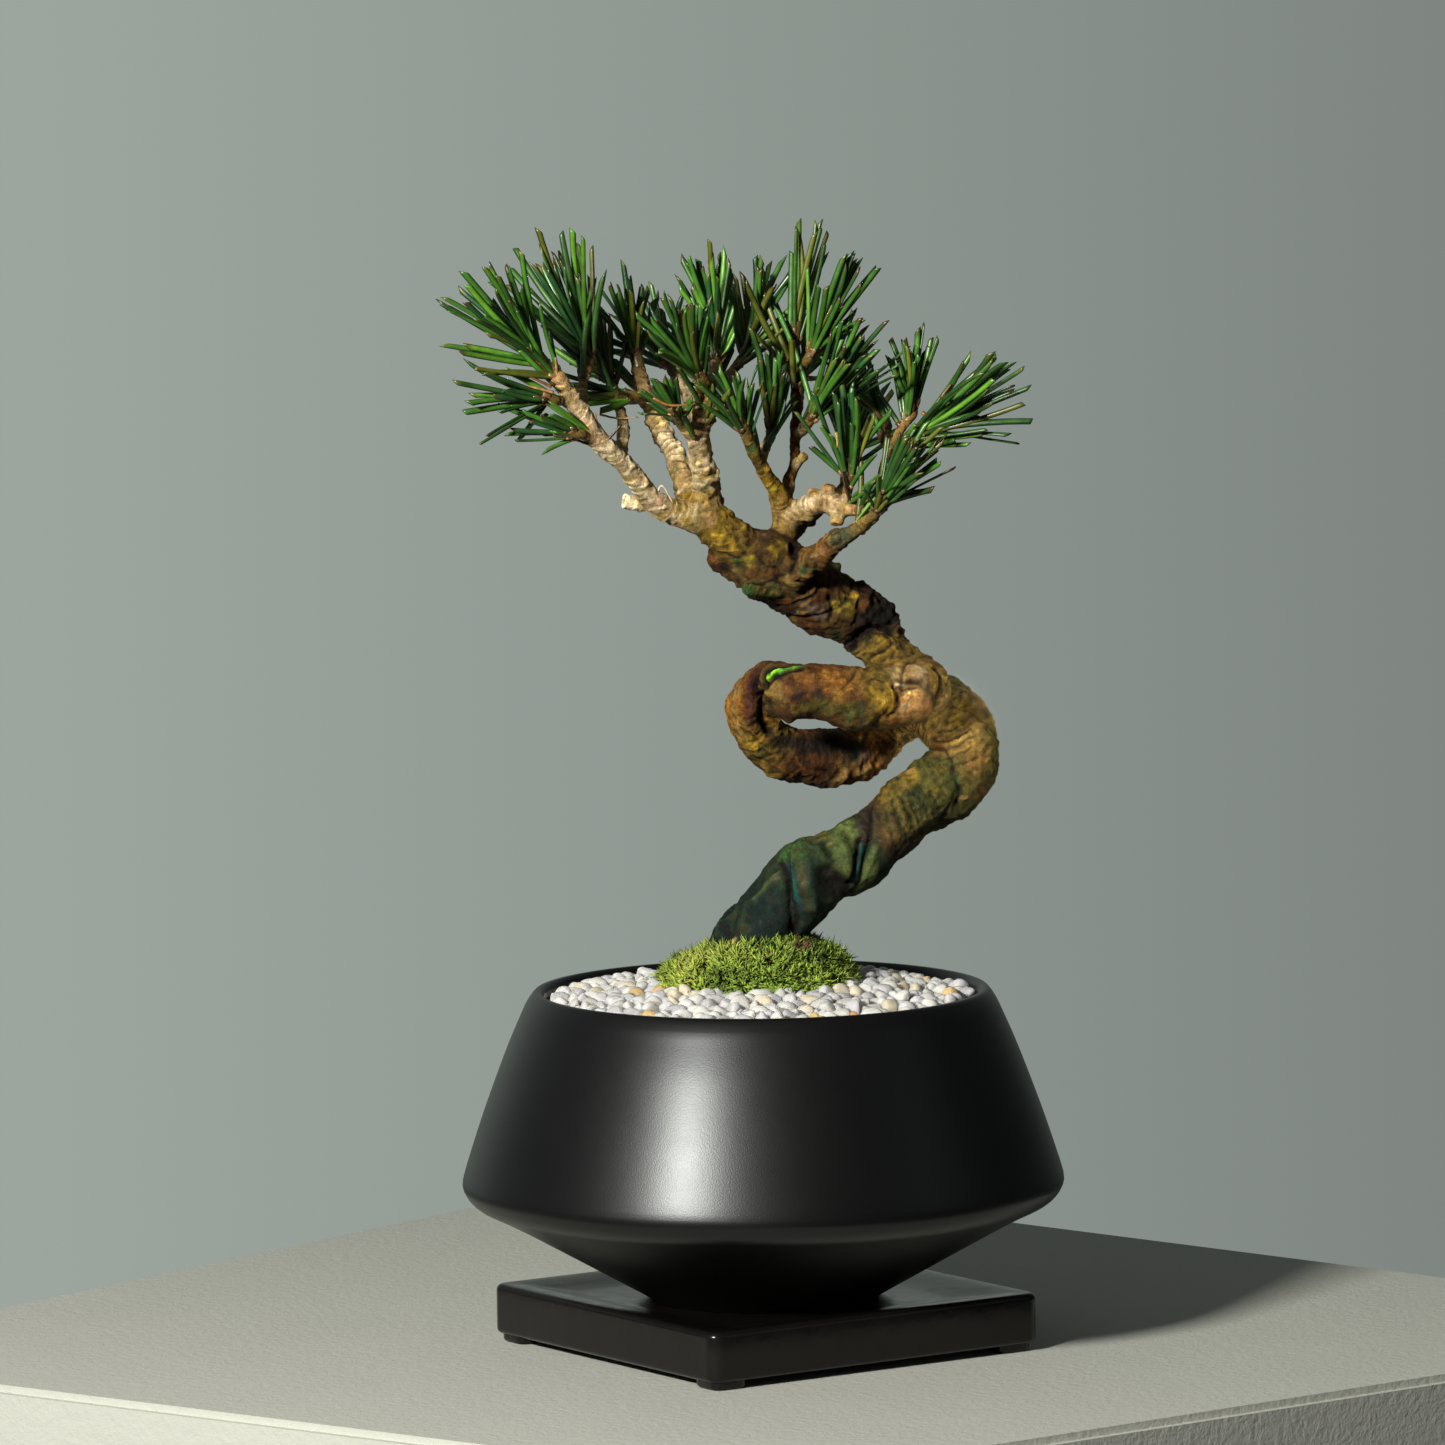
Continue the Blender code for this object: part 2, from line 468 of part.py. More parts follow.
def bed(name, outer, inner, pitch, height, home, finish):
    """A ring-shaped bed on the soil, its top a field of grains by formula.

    outer and inner are ellipses (middle x, half width, half depth). Each third point of the
    lattice is the top of a grain, and the six round it are the joints between grains.
    """
    draw = random.Random(SEED)
    rim = loop(*outer, BED_LOOP_POINTS)
    hole = loop(*inner, BED_LOOP_POINTS)
    points = [(x, y, -1) for x, y in rim + hole]
    margin = BED_MARGIN * pitch
    fence_out = (outer[0], outer[1] - margin, outer[2] - margin)
    fence_in = (inner[0], inner[1] + margin, inner[2] + margin)
    row_pitch = pitch * math.sqrt(3) / 2
    stray = BED_STRAY * pitch
    rows = math.ceil(outer[2] / row_pitch) + 1
    columns = math.ceil(outer[1] / pitch) + rows
    for row in range(-rows, rows + 1):
        for column in range(-columns, columns + 1):
            spot = (
                outer[0] + (column + row / 2) * pitch + draw.uniform(-stray, stray),
                row * row_pitch + draw.uniform(-stray, stray),
            )
            if inside(spot, *fence_out) and not inside(spot, *fence_in):
                points.append((*spot, (column - row) % 3))
    flat = [Vector(p[:2]) for p in points]
    loops = [(i, (i + 1) % BED_LOOP_POINTS) for i in range(BED_LOOP_POINTS)]
    loops += [(BED_LOOP_POINTS + a, BED_LOOP_POINTS + b) for a, b in loops]
    _, _, triangles, *_ = geometry.delaunay_2d_cdt(flat, loops, [], 0, 1e-7)

    shape = bmesh.new()
    top = [shape.verts.new((x, y, height(x, y, kind))) for x, y, kind in points]
    for corners in triangles:
        middle = sum((flat[i] for i in corners), Vector((0, 0))) / 3
        if inside(middle, *outer) and not inside(middle, *inner):
            shape.faces.new([top[i] for i in corners])
    base = SOIL_TOP + GAP
    foot = [shape.verts.new((x, y, base)) for x, y in rim + hole]
    for i in range(BED_LOOP_POINTS):
        j = (i + 1) % BED_LOOP_POINTS
        a, b = i + BED_LOOP_POINTS, j + BED_LOOP_POINTS
        shape.faces.new((top[i], foot[i], foot[j], top[j]))
        shape.faces.new((top[b], foot[b], foot[a], top[a]))
        shape.faces.new((foot[i], foot[a], foot[b], foot[j]))
    mesh = mesh_from(shape, name)
    return place(name, mesh, home, finish)


def gravel_height(x, y, kind):
    """The dome of the gravel, with grain tops (kind 0) above the joints between them."""
    share = math.hypot(x, y) / GRAVEL_RADIUS
    level = GRAVEL_EDGE + GRAVEL_CROWN * (1 - share * share)
    return level + {0: GRAVEL_RELIEF, -1: -GRAVEL_RELIEF / 2}.get(kind, -GRAVEL_RELIEF)


def moss_height(x, y, kind):
    """The moss mound, steep at its edge and round on top, with small tufts."""
    share = math.hypot((x - MOSS_X) / MOSS_HALF_WIDTH, y / MOSS_HALF_DEPTH)
    level = MOSS_EDGE + MOSS_RISE * math.sqrt(math.cos(min(share, 1) * math.pi / 2))
    return level + {0: MOSS_RELIEF, -1: 0}.get(kind, -MOSS_RELIEF)


def through(points, step):
    """Points about a step apart on the smooth curve through the given ones (Catmull-Rom)."""
    rows = [Vector(p) for p in points]
    rows = [2 * rows[0] - rows[1]] + rows + [2 * rows[-1] - rows[-2]]
    curve = []
    for a, b, c, d in zip(rows, rows[1:], rows[2:], rows[3:]):
        count = max(1, round((c - b).length / step))
        for i in range(count):
            t = i / count
            curve.append(
                0.5 * (2 * b + (c - a) * t + (2 * a - 5 * b + 4 * c - d) * t * t
                       + (3 * b - a - 3 * c + d) * t ** 3)
            )
    return curve + [rows[-2]]


def tube(name, path, resolution, home):
    """A mesh object from a curve along the path, whose fourth coordinate is the radius."""
    curve = bpy.data.curves.new(name, "CURVE")
    curve.dimensions = "3D"
    curve.bevel_depth = 1.0
    curve.bevel_resolution = resolution
    curve.use_fill_caps = True
    spline = curve.splines.new("POLY")
    spline.points.add(len(path) - 1)
    for point, (x, y, z, radius) in zip(spline.points, path):
        point.co = (x, y, z, 1)
        point.radius = radius
    guide = place(name, curve, home)
    mesh = evaluated_mesh(guide)
    matrix = guide.matrix_world.copy()
    remove([guide])
    welded = bmesh.new()
    welded.from_mesh(mesh)
    bmesh.ops.remove_doubles(welded, verts=welded.verts, dist=0.00001)
    bmesh.ops.recalc_face_normals(welded, faces=welded.faces)
    welded.to_mesh(mesh)
    welded.free()
    made = place(name, mesh, home)
    made.matrix_world = matrix
    return made


def frames(path):
    """Side and upper directions carried along the path without twist."""
    places = [p.to_3d() for p in path]
    ways = [(b - a).normalized() for a, b in zip(places, places[1:])]
    ways = [ways[0]] + [(a + b).normalized() for a, b in zip(ways, ways[1:])] + [ways[-1]]
    side = ways[0].orthogonal().normalized()
    carried = []
    for way in ways:
        side = (side - way * side.dot(way)).normalized()
        carried.append((side, way.cross(side)))
    return carried


def scars_before(along, scars):
    """How many scars lie before this distance: a whole number at the place of each."""
    first = scars[1] - scars[0]
    last = scars[-1] - scars[-2]
    outside = min(0, along - scars[0]) / first + max(0, along - scars[-1]) / last
    return float(np.interp(along, scars, range(len(scars)))) + outside


def scar(along, turn, scars):
    """How far a trunk's skin stands out, as a share of its radius: swellings between the
    grooves that wind round the trunk. The turn is measured from the front."""
    phase = (scars_before(along, scars) + SCAR_STARTS * turn / (2 * math.pi)) % 1.0
    off_groove = min(phase, 1 - phase)
    groove = SCAR_DEPTH * math.exp(-((off_groove / SCAR_WIDTH) ** 2))
    return SWELL * math.sin(math.pi * phase) ** 2 - groove


def trunk_piece(name, points, scars, home):
    """A loft of unlike rings along the points, each ring swollen and scarred by formula."""
    path = through(points, TRUNK_STEP)
    shape = bmesh.new()
    along = 0
    rings = []
    for i, (point, (side, up)) in enumerate(zip(path, frames(path))):
        along += (point.to_3d() - path[i - 1].to_3d()).length if i else 0
        front = math.atan2(-up.y, -side.y)
        ring = []
        for k in range(TRUNK_SIDES):
            turn = 2 * math.pi * k / TRUNK_SIDES
            stand = scar(along, turn - front, scars) if point.z > SOIL_LINE else 0
            outward = side * math.cos(turn) + up * math.sin(turn)
            ring.append(shape.verts.new(point.to_3d() + point.w * (1 + stand) * outward))
        rings.append(ring)
    for lower, upper in zip(rings, rings[1:]):
        for k in range(TRUNK_SIDES):
            j = (k + 1) % TRUNK_SIDES
            shape.faces.new((lower[k], lower[j], upper[j], upper[k]))
    shape.faces.new(rings[0])
    shape.faces.new(rings[-1])
    return place(name, mesh_from(shape, name), home)


def tree(home, finish):
    """The wood: three stretches of trunk and every branch, grown together."""
    pieces = collection("limbs")
    first = trunk_piece("lower_trunk", LOWER_TRUNK, LOWER_SCARS, home)
    trunk_piece("front_trunk", FRONT_TRUNK, FRONT_SCARS, pieces)
    trunk_piece("upper_trunk", UPPER_TRUNK, UPPER_SCARS, pieces)
    for name, points in BRANCHES.items():
        resolution = 2 if points[0][3] > THICK_BRANCH else 1
        tube(name, through(points, BRANCH_STEP), resolution, pieces)
    mesh = joined(first, pieces)
    smooth(mesh, 50)
    return place("tree", mesh, home, finish)


def limb_rods():
    """Every limb as straight rods (start, end, radius), for keeping needles clear of wood."""
    rods = []
    trunk = {"lower": LOWER_TRUNK, "front": FRONT_TRUNK, "upper": UPPER_TRUNK}
    for name, points in {**trunk, **BRANCHES}.items():
        swell = 1 + SWELL if name in trunk else 1
        path = through(points, BRANCH_STEP)
        for a, b in zip(path, path[1:]):
            rods.append((name, a.to_3d(), b.to_3d(), swell * max(a.w, b.w)))
    return rods


def rod_distances(start, end, starts, ends):
    """The distance from one straight line to each of many, all of them bounded."""
    d1 = end - start
    d2 = ends - starts
    r = start - starts
    a = d1 @ d1
    e = np.einsum("ij,ij->i", d2, d2)
    f = np.einsum("ij,ij->i", d2, r)
    c = r @ d1
    b = d2 @ d1
    s = np.clip((b * f - c * e) / np.maximum(a * e - b * b, 1e-18), 0, 1)
    t = np.clip((b * s + f) / e, 0, 1)
    s = np.clip((b * t - c) / a, 0, 1)
    apart = r + s[:, None] * d1 - t[:, None] * d2
    return np.linalg.norm(apart, axis=1)


def core_path(spray):
    """The core's points: on from the limb's end after a gap, then turned to the spray's way."""
    before, end = (Vector(p[:3]) for p in through(BRANCHES[spray.limb], BRANCH_STEP)[-2:])
    thickness = BRANCHES[spray.limb][-1][3]
    onward = (end - before).normalized()
    start = end + GAP * onward
    bend = start + CORE_STRAIGHT * onward
    tip = bend + (CORE_LENGTH - CORE_STRAIGHT) * Vector(spray.towards).normalized()
    return [Vector((*p, w)) for p, w in ((start, thickness), (bend, thickness), (tip, CORE_TIP))]


def grown_needles(sprays):
    """Each spray's needles as (root, tip) pairs.

    They fan out round the spray's way, the outer ones from lower down its core. A needle that
    would come near another node is turned a little, up to NEEDLE_TRIES times, or left out.
    """
    draw = random.Random(SEED)
    taken = limb_rods()
    for number, spray in enumerate(sprays):
        path = core_path(spray)
        taken += [(number, a.to_3d(), b.to_3d(), a.w) for a, b in zip(path, path[1:])]
    owners = [rod[0] for rod in taken]
    starts = np.array([rod[1][:] for rod in taken])
    ends = np.array([rod[2][:] for rod in taken])
    radii = np.array([rod[3] for rod in taken])
    grown = []
    for number, spray in enumerate(sprays):
        _, bend, tip = (p.to_3d() for p in core_path(spray))
        way = Vector(spray.towards).normalized()
        side = way.orthogonal().normalized()
        others = np.array([owner not in (number, spray.limb) for owner in owners])
        needles = []
        for i in range(spray.needles):
            share = (i + 0.5) / spray.needles
            base = tip.lerp(bend, 0.1 + 0.8 * share)
            length = draw.triangular(0.75 * spray.shortest, spray.longest, spray.longest)
            stray = draw.uniform(*STRAY_LEAN) if draw.random() < STRAY_SHARE else 0
            for attempt in range(NEEDLE_TRIES):
                loose = 1 + attempt / 20
                tilt = spray.spread * math.sqrt(share) + stray + draw.uniform(-4, 4) * loose
                tilt = math.radians(tilt)
                turn = i * GOLDEN_ANGLE + draw.uniform(-0.4, 0.4) * loose
                leaning = Matrix.Rotation(turn, 3, way) @ side
                root = base + ROOT_OFFSET * math.sqrt(share) * leaning
                needle_tip = root + length * (math.cos(tilt) * way + math.sin(tilt) * leaning)
                ends_here = np.array(root), np.array(needle_tip)
                apart = rod_distances(*ends_here, starts[others], ends[others])
                if (apart > radii[others] + NEEDLE_TIP + NEEDLE_CLEARANCE).all():
                    needles.append((root, needle_tip))
                    break
        grown.append(needles)
        owners += [number] * len(needles)
        starts = np.vstack([starts] + [np.array(root) for root, _ in needles])
        ends = np.vstack([ends] + [np.array(needle_tip) for _, needle_tip in needles])
        radii = np.append(radii, [NEEDLE_TIP] * len(needles))
    return grown


def needle(root, tip, home):
    """A three-sided needle from root to tip."""
    way = tip - root
    shape = bmesh.new()
    turned_to = way.to_track_quat("Z", "Y").to_matrix().to_4x4()
    bmesh.ops.create_cone(
        shape,
        cap_ends=True,
        segments=3,
        radius1=NEEDLE_ROOT,
        radius2=NEEDLE_TIP,
        depth=way.length,
        matrix=Matrix.Translation((root + tip) / 2) @ turned_to,
    )
    place("needle", mesh_from(shape, "needle"), home)


def spray_of_needles(number, spray, needles, home, finish):
    """One spray: its slim core and its needles, in one body."""
    repeats = collection("needles")
    for root, tip in needles:
        needle(root, tip, repeats)
    core = tube("core", core_path(spray), 1, home)
    mesh = joined(core, repeats, "MANIFOLD")
    return place(f"spray_{number:02d}", mesh, home, finish)


def main():
    clear_scene()
    home = collection("black_pine_bonsai")
    cutters = collection("cutters")
    black_glaze = material("pot_ceramic", (0.016, 0.016, 0.017), 0.38)
    tray_glaze = material("tray_ceramic", (0.012, 0.011, 0.011), 0.16)
    bark = material("bark", (0.25, 0.17, 0.085), 0.75)
    leaf = material("needles", (0.055, 0.14, 0.03), 0.45)
    moss = material("moss", (0.24, 0.36, 0.04), 0.9)
    stones = material("gravel", (0.72, 0.70, 0.67), 0.6)
    earth = material("soil", (0.10, 0.06, 0.035), 0.95)
    net = material("net", (0.05, 0.05, 0.05), 0.5)

    tray(home, tray_glaze)
    pot(home, black_glaze)
    drainage_mesh(home, net)
    soil(home, cutters, earth)
    pot_mouth = (0, GRAVEL_RADIUS, GRAVEL_RADIUS)
    round_moss = (MOSS_X, MOSS_HALF_WIDTH + GAP, MOSS_HALF_DEPTH + GAP)
    moss_outline = (MOSS_X, MOSS_HALF_WIDTH, MOSS_HALF_DEPTH)
    trunk_hole = (MOSS_HOLE_X, MOSS_HOLE_RADIUS, MOSS_HOLE_RADIUS)
    bed("gravel", pot_mouth, round_moss, GRAVEL_PITCH, gravel_height, home, stones)
    bed("moss", moss_outline, trunk_hole, MOSS_PITCH, moss_height, home, moss)
    tree(home, bark)
    for number, (spray, needles) in enumerate(zip(SPRAYS, grown_needles(SPRAYS)), 1):
        print(f"spray_{number:02d} on {spray.limb}: {len(needles)} of {spray.needles} needles")
        spray_of_needles(number, spray, needles, home, leaf)


main()
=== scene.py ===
"""Looks for the Japanese black pine bonsai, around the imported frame: metres, +Z up."""

import itertools
import math
import random
from collections import namedtuple

import bmesh
import bpy
import numpy as np
from mathutils import Matrix, Vector
from mathutils.bvhtree import BVHTree


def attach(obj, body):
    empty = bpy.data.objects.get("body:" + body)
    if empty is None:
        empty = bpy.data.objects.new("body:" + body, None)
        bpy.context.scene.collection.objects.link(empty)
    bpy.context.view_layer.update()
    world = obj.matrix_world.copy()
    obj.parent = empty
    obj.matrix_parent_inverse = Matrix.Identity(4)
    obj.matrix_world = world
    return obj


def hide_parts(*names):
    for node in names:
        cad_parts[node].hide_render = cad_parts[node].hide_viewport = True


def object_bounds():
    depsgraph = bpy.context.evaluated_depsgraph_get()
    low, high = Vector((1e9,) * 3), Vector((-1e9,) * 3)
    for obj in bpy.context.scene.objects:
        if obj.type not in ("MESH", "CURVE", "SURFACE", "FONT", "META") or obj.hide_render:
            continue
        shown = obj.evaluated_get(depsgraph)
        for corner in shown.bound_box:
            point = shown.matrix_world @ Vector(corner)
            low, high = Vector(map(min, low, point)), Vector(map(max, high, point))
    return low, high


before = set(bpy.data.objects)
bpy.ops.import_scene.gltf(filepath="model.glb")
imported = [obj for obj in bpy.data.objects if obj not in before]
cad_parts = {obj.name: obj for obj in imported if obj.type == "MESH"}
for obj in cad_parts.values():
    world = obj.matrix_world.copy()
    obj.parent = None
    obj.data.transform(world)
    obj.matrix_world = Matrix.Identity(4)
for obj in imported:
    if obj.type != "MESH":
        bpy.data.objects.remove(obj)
cad_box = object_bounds()

# The wood follows the same limbs as the frame: points (x, y, z, radius) along each one's middle.
LOWER_TRUNK = [
    (-0.005, 0, 0.0525, 0.0060), (-0.005, 0, 0.0605, 0.0085), (-0.0045, 0, 0.0675, 0.0088),
    (-0.003, 0, 0.0745, 0.0088), (-0.0010, 0, 0.0813, 0.0084), (0.0044, -0.0005, 0.0877, 0.0072),
    (0.0107, -0.001, 0.0946, 0.0076), (0.0184, 0, 0.0978, 0.0068), (0.0247, 0.001, 0.1025, 0.0062),
    (0.0319, 0.002, 0.1087, 0.0066), (0.0388, 0.003, 0.1129, 0.0068),
    (0.0415, 0.0045, 0.1184, 0.0065), (0.0388, 0.0075, 0.1242, 0.0068),
    (0.034, 0.0115, 0.1272, 0.0065), (0.0275, 0.0138, 0.1243, 0.0056),
    (0.0221, 0.013, 0.119, 0.0054), (0.0158, 0.010, 0.1169, 0.0057),
    (0.0067, 0.007, 0.1181, 0.0055), (0.001, 0.004, 0.1216, 0.0049),
    (-0.0015, 0.001, 0.1277, 0.0049), (0.0012, -0.002, 0.132, 0.0046),
    (0.0038, -0.004, 0.1335, 0.0042),
]
FRONT_TRUNK = [
    (0.0015, -0.008, 0.1325, 0.0030), (0.0035, -0.009, 0.133, 0.0046),
    (0.006, -0.0105, 0.1325, 0.0054), (0.0125, -0.011, 0.132, 0.0054),
    (0.0185, -0.011, 0.131, 0.0064), (0.025, -0.010, 0.131, 0.0062), (0.031, -0.008, 0.132, 0.0058),
    (0.0345, -0.004, 0.1325, 0.0052),
]
UPPER_TRUNK = [
    (0.0325, -0.003, 0.1325, 0.0048), (0.0303, 0.002, 0.1345, 0.0050),
    (0.0265, 0.0045, 0.1372, 0.0050), (0.0235, 0.006, 0.1413, 0.0051),
    (0.0203, 0.006, 0.1458, 0.0060), (0.0137, 0.004, 0.1483, 0.0065),
    (0.0087, 0.002, 0.1518, 0.0062), (0.003, 0, 0.156, 0.0069), (-0.0015, 0, 0.158, 0.0062),
    (-0.0053, 0, 0.1588, 0.0048), (-0.009, 0, 0.1587, 0.0030),
]
BRANCHES = {
    "left_stem": [
        (-0.001, -0.001, 0.1585, 0.0050), (-0.0052, -0.003, 0.1622, 0.0044),
        (-0.0094, -0.004, 0.1661, 0.0039), (-0.0122, -0.004, 0.1688, 0.0032),
    ],
    "left_branch": [
        (-0.0105, -0.004, 0.1665, 0.0034), (-0.0165, -0.006, 0.168, 0.0026),
        (-0.0205, -0.008, 0.1705, 0.0023), (-0.0235, -0.010, 0.175, 0.0021),
        (-0.0265, -0.012, 0.1785, 0.0020), (-0.0305, -0.014, 0.1825, 0.0021),
        (-0.033, -0.015, 0.1865, 0.0020), (-0.036, -0.016, 0.191, 0.0018),
        (-0.038, -0.017, 0.195, 0.0016), (-0.040, -0.017, 0.197, 0.0013),
    ],
    "left_stub": [
        (-0.0195, -0.007, 0.1695, 0.0016), (-0.023, -0.006, 0.1695, 0.0015),
        (-0.026, -0.006, 0.170, 0.0016),
    ],
    "left_twig_upper": [(-0.0355, -0.016, 0.1905, 0.0012), (-0.0385, -0.0185, 0.191, 0.0010)],
    "left_twig_lower": [(-0.030, -0.014, 0.1825, 0.0012), (-0.0335, -0.0175, 0.184, 0.0010)],
    "left_twig_inner": [
        (-0.033, -0.015, 0.1865, 0.0013), (-0.034, -0.008, 0.192, 0.0012),
        (-0.0325, -0.002, 0.197, 0.0010),
    ],
    "left_twig_back": [
        (-0.0265, -0.012, 0.1785, 0.0013), (-0.026, -0.002, 0.185, 0.0012),
        (-0.028, 0.009, 0.1915, 0.0010),
    ],
    "mid_left_branch": [
        (-0.012, -0.003, 0.1675, 0.0032), (-0.014, 0.001, 0.173, 0.0028),
        (-0.0155, 0.005, 0.1775, 0.0023), (-0.018, 0.008, 0.182, 0.0021),
        (-0.0205, 0.011, 0.187, 0.0020), (-0.022, 0.013, 0.191, 0.0017),
        (-0.023, 0.014, 0.1955, 0.0013),
    ],
    "mid_left_twig": [(-0.0205, 0.011, 0.187, 0.0013), (-0.0228, 0.0048, 0.1895, 0.0010)],
    "mid_right_branch": [
        (-0.0105, -0.004, 0.1665, 0.0032), (-0.0096, -0.005, 0.173, 0.0026),
        (-0.0106, -0.006, 0.178, 0.0023), (-0.0112, -0.007, 0.1825, 0.0022),
        (-0.010, -0.008, 0.187, 0.0023), (-0.0095, -0.008, 0.190, 0.0021),
        (-0.010, -0.009, 0.1925, 0.0016),
    ],
    "mid_right_stub": [(-0.011, -0.007, 0.1805, 0.0016), (-0.0138, -0.0105, 0.185, 0.0013)],
    "mid_right_twig": [
        (-0.0095, -0.008, 0.189, 0.0015), (-0.008, 0, 0.195, 0.0012),
        (-0.0075, 0.004, 0.200, 0.0010),
    ],
    "top_twig": [
        (-0.0095, -0.007, 0.1885, 0.0015), (-0.005, 0.006, 0.1935, 0.0012),
        (-0.002, 0.012, 0.197, 0.0010),
    ],
    "back_left_branch": [
        (-0.0075, -0.0025, 0.1635, 0.0026), (-0.009, 0.006, 0.1695, 0.0024),
        (-0.010, 0.013, 0.175, 0.0020), (-0.0105, 0.018, 0.180, 0.0018),
        (-0.0125, 0.024, 0.1865, 0.0014), (-0.0155, 0.028, 0.192, 0.0011),
    ],
    "back_middle_branch": [
        (-0.0105, 0.017, 0.179, 0.0014), (-0.0095, 0.022, 0.1855, 0.0012),
        (-0.0075, 0.026, 0.193, 0.0010),
    ],
    "second_stem": [
        (0.0035, 0.002, 0.157, 0.0040), (0.0055, 0.002, 0.1625, 0.0028),
        (0.0057, 0.002, 0.1665, 0.0025), (0.0051, 0.001, 0.169, 0.0022),
        (0.0037, -0.001, 0.172, 0.0017), (0.002, -0.003, 0.175, 0.0015),
        (0.0003, -0.006, 0.1785, 0.0013), (-0.0012, -0.008, 0.182, 0.0012),
    ],
    "pale_twig": [(0.001, -0.004, 0.1773, 0.0012), (0.0028, 0.001, 0.1812, 0.0010)],
    "red_twig": [
        (0.0055, 0.002, 0.1685, 0.0017), (0.007, 0.004, 0.173, 0.0013),
        (0.008, 0.006, 0.177, 0.0012), (0.008, 0.007, 0.1815, 0.0011),
        (0.0085, 0.008, 0.1865, 0.0011), (0.008, 0.009, 0.1925, 0.0010),
        (0.008, 0.010, 0.1975, 0.0010),
    ],
    "red_stub": [(0.008, 0.005, 0.1755, 0.0011), (0.010, 0.003, 0.178, 0.0010)],
    "red_side_twig": [(0.0085, 0.007, 0.1815, 0.0011), (0.0105, 0.0025, 0.1842, 0.0010)],
    "red_fork": [(0.008, 0.009, 0.1925, 0.0011), (0.0105, 0.0045, 0.1965, 0.0010)],
    "red_back_twig": [
        (0.0085, 0.008, 0.186, 0.0011), (0.009, 0.015, 0.1885, 0.0010),
        (0.0095, 0.021, 0.191, 0.0010),
    ],
    "right_branch": [
        (0.006, 0.002, 0.165, 0.0024), (0.0095, 0, 0.1675, 0.0022), (0.013, -0.003, 0.169, 0.0023),
        (0.0165, -0.006, 0.1685, 0.0022), (0.0185, -0.008, 0.168, 0.0015),
        (0.0205, -0.0105, 0.168, 0.0010),
    ],
    "right_drop": [(0.0165, -0.006, 0.1685, 0.0015), (0.016, -0.008, 0.165, 0.0013)],
    "right_knob_inner": [(0.012, -0.002, 0.1685, 0.0016), (0.0115, -0.003, 0.1715, 0.0014)],
    "right_knob_outer": [(0.0145, -0.005, 0.169, 0.0016), (0.0145, -0.006, 0.1725, 0.0014)],
    "right_twig": [(0.0175, -0.007, 0.168, 0.0013), (0.0182, -0.0075, 0.1718, 0.0010)],
    "back_right_branch": [
        (0.0055, 0.002, 0.162, 0.0022), (0.0125, 0.014, 0.167, 0.0018),
        (0.0175, 0.020, 0.1695, 0.0014), (0.019, 0.023, 0.175, 0.0011),
    ],
    "low_branch": [
        (0.007, -0.004, 0.155, 0.0032), (0.010, -0.007, 0.1575, 0.0025),
        (0.0135, -0.010, 0.160, 0.0022), (0.0155, -0.012, 0.162, 0.0024),
        (0.0183, -0.013, 0.1635, 0.0017), (0.0208, -0.015, 0.1654, 0.0012),
        (0.0226, -0.0175, 0.1672, 0.0010),
    ],
    "far_twig": [
        (0.0185, -0.0125, 0.1635, 0.0014), (0.0232, -0.009, 0.1665, 0.0012),
        (0.0248, -0.003, 0.1717, 0.0011), (0.026, 0, 0.177, 0.0011), (0.0285, 0.001, 0.182, 0.0010),
        (0.0305, 0.0015, 0.185, 0.0010),
    ],
    "far_left_twig": [(0.0262, 0.0002, 0.178, 0.0011), (0.0262, 0.0045, 0.1828, 0.0010)],
    "far_right_twig": [(0.0262, 0.0002, 0.178, 0.0011), (0.0305, -0.0042, 0.1815, 0.0010)],
    "dark_stub": [(0.011, 0.006, 0.1525, 0.0028), (0.0155, 0.010, 0.1545, 0.0019)],
    "low_stub": [(0.007, -0.003, 0.152, 0.0022), (-0.0025, -0.008, 0.1525, 0.0014)],
}

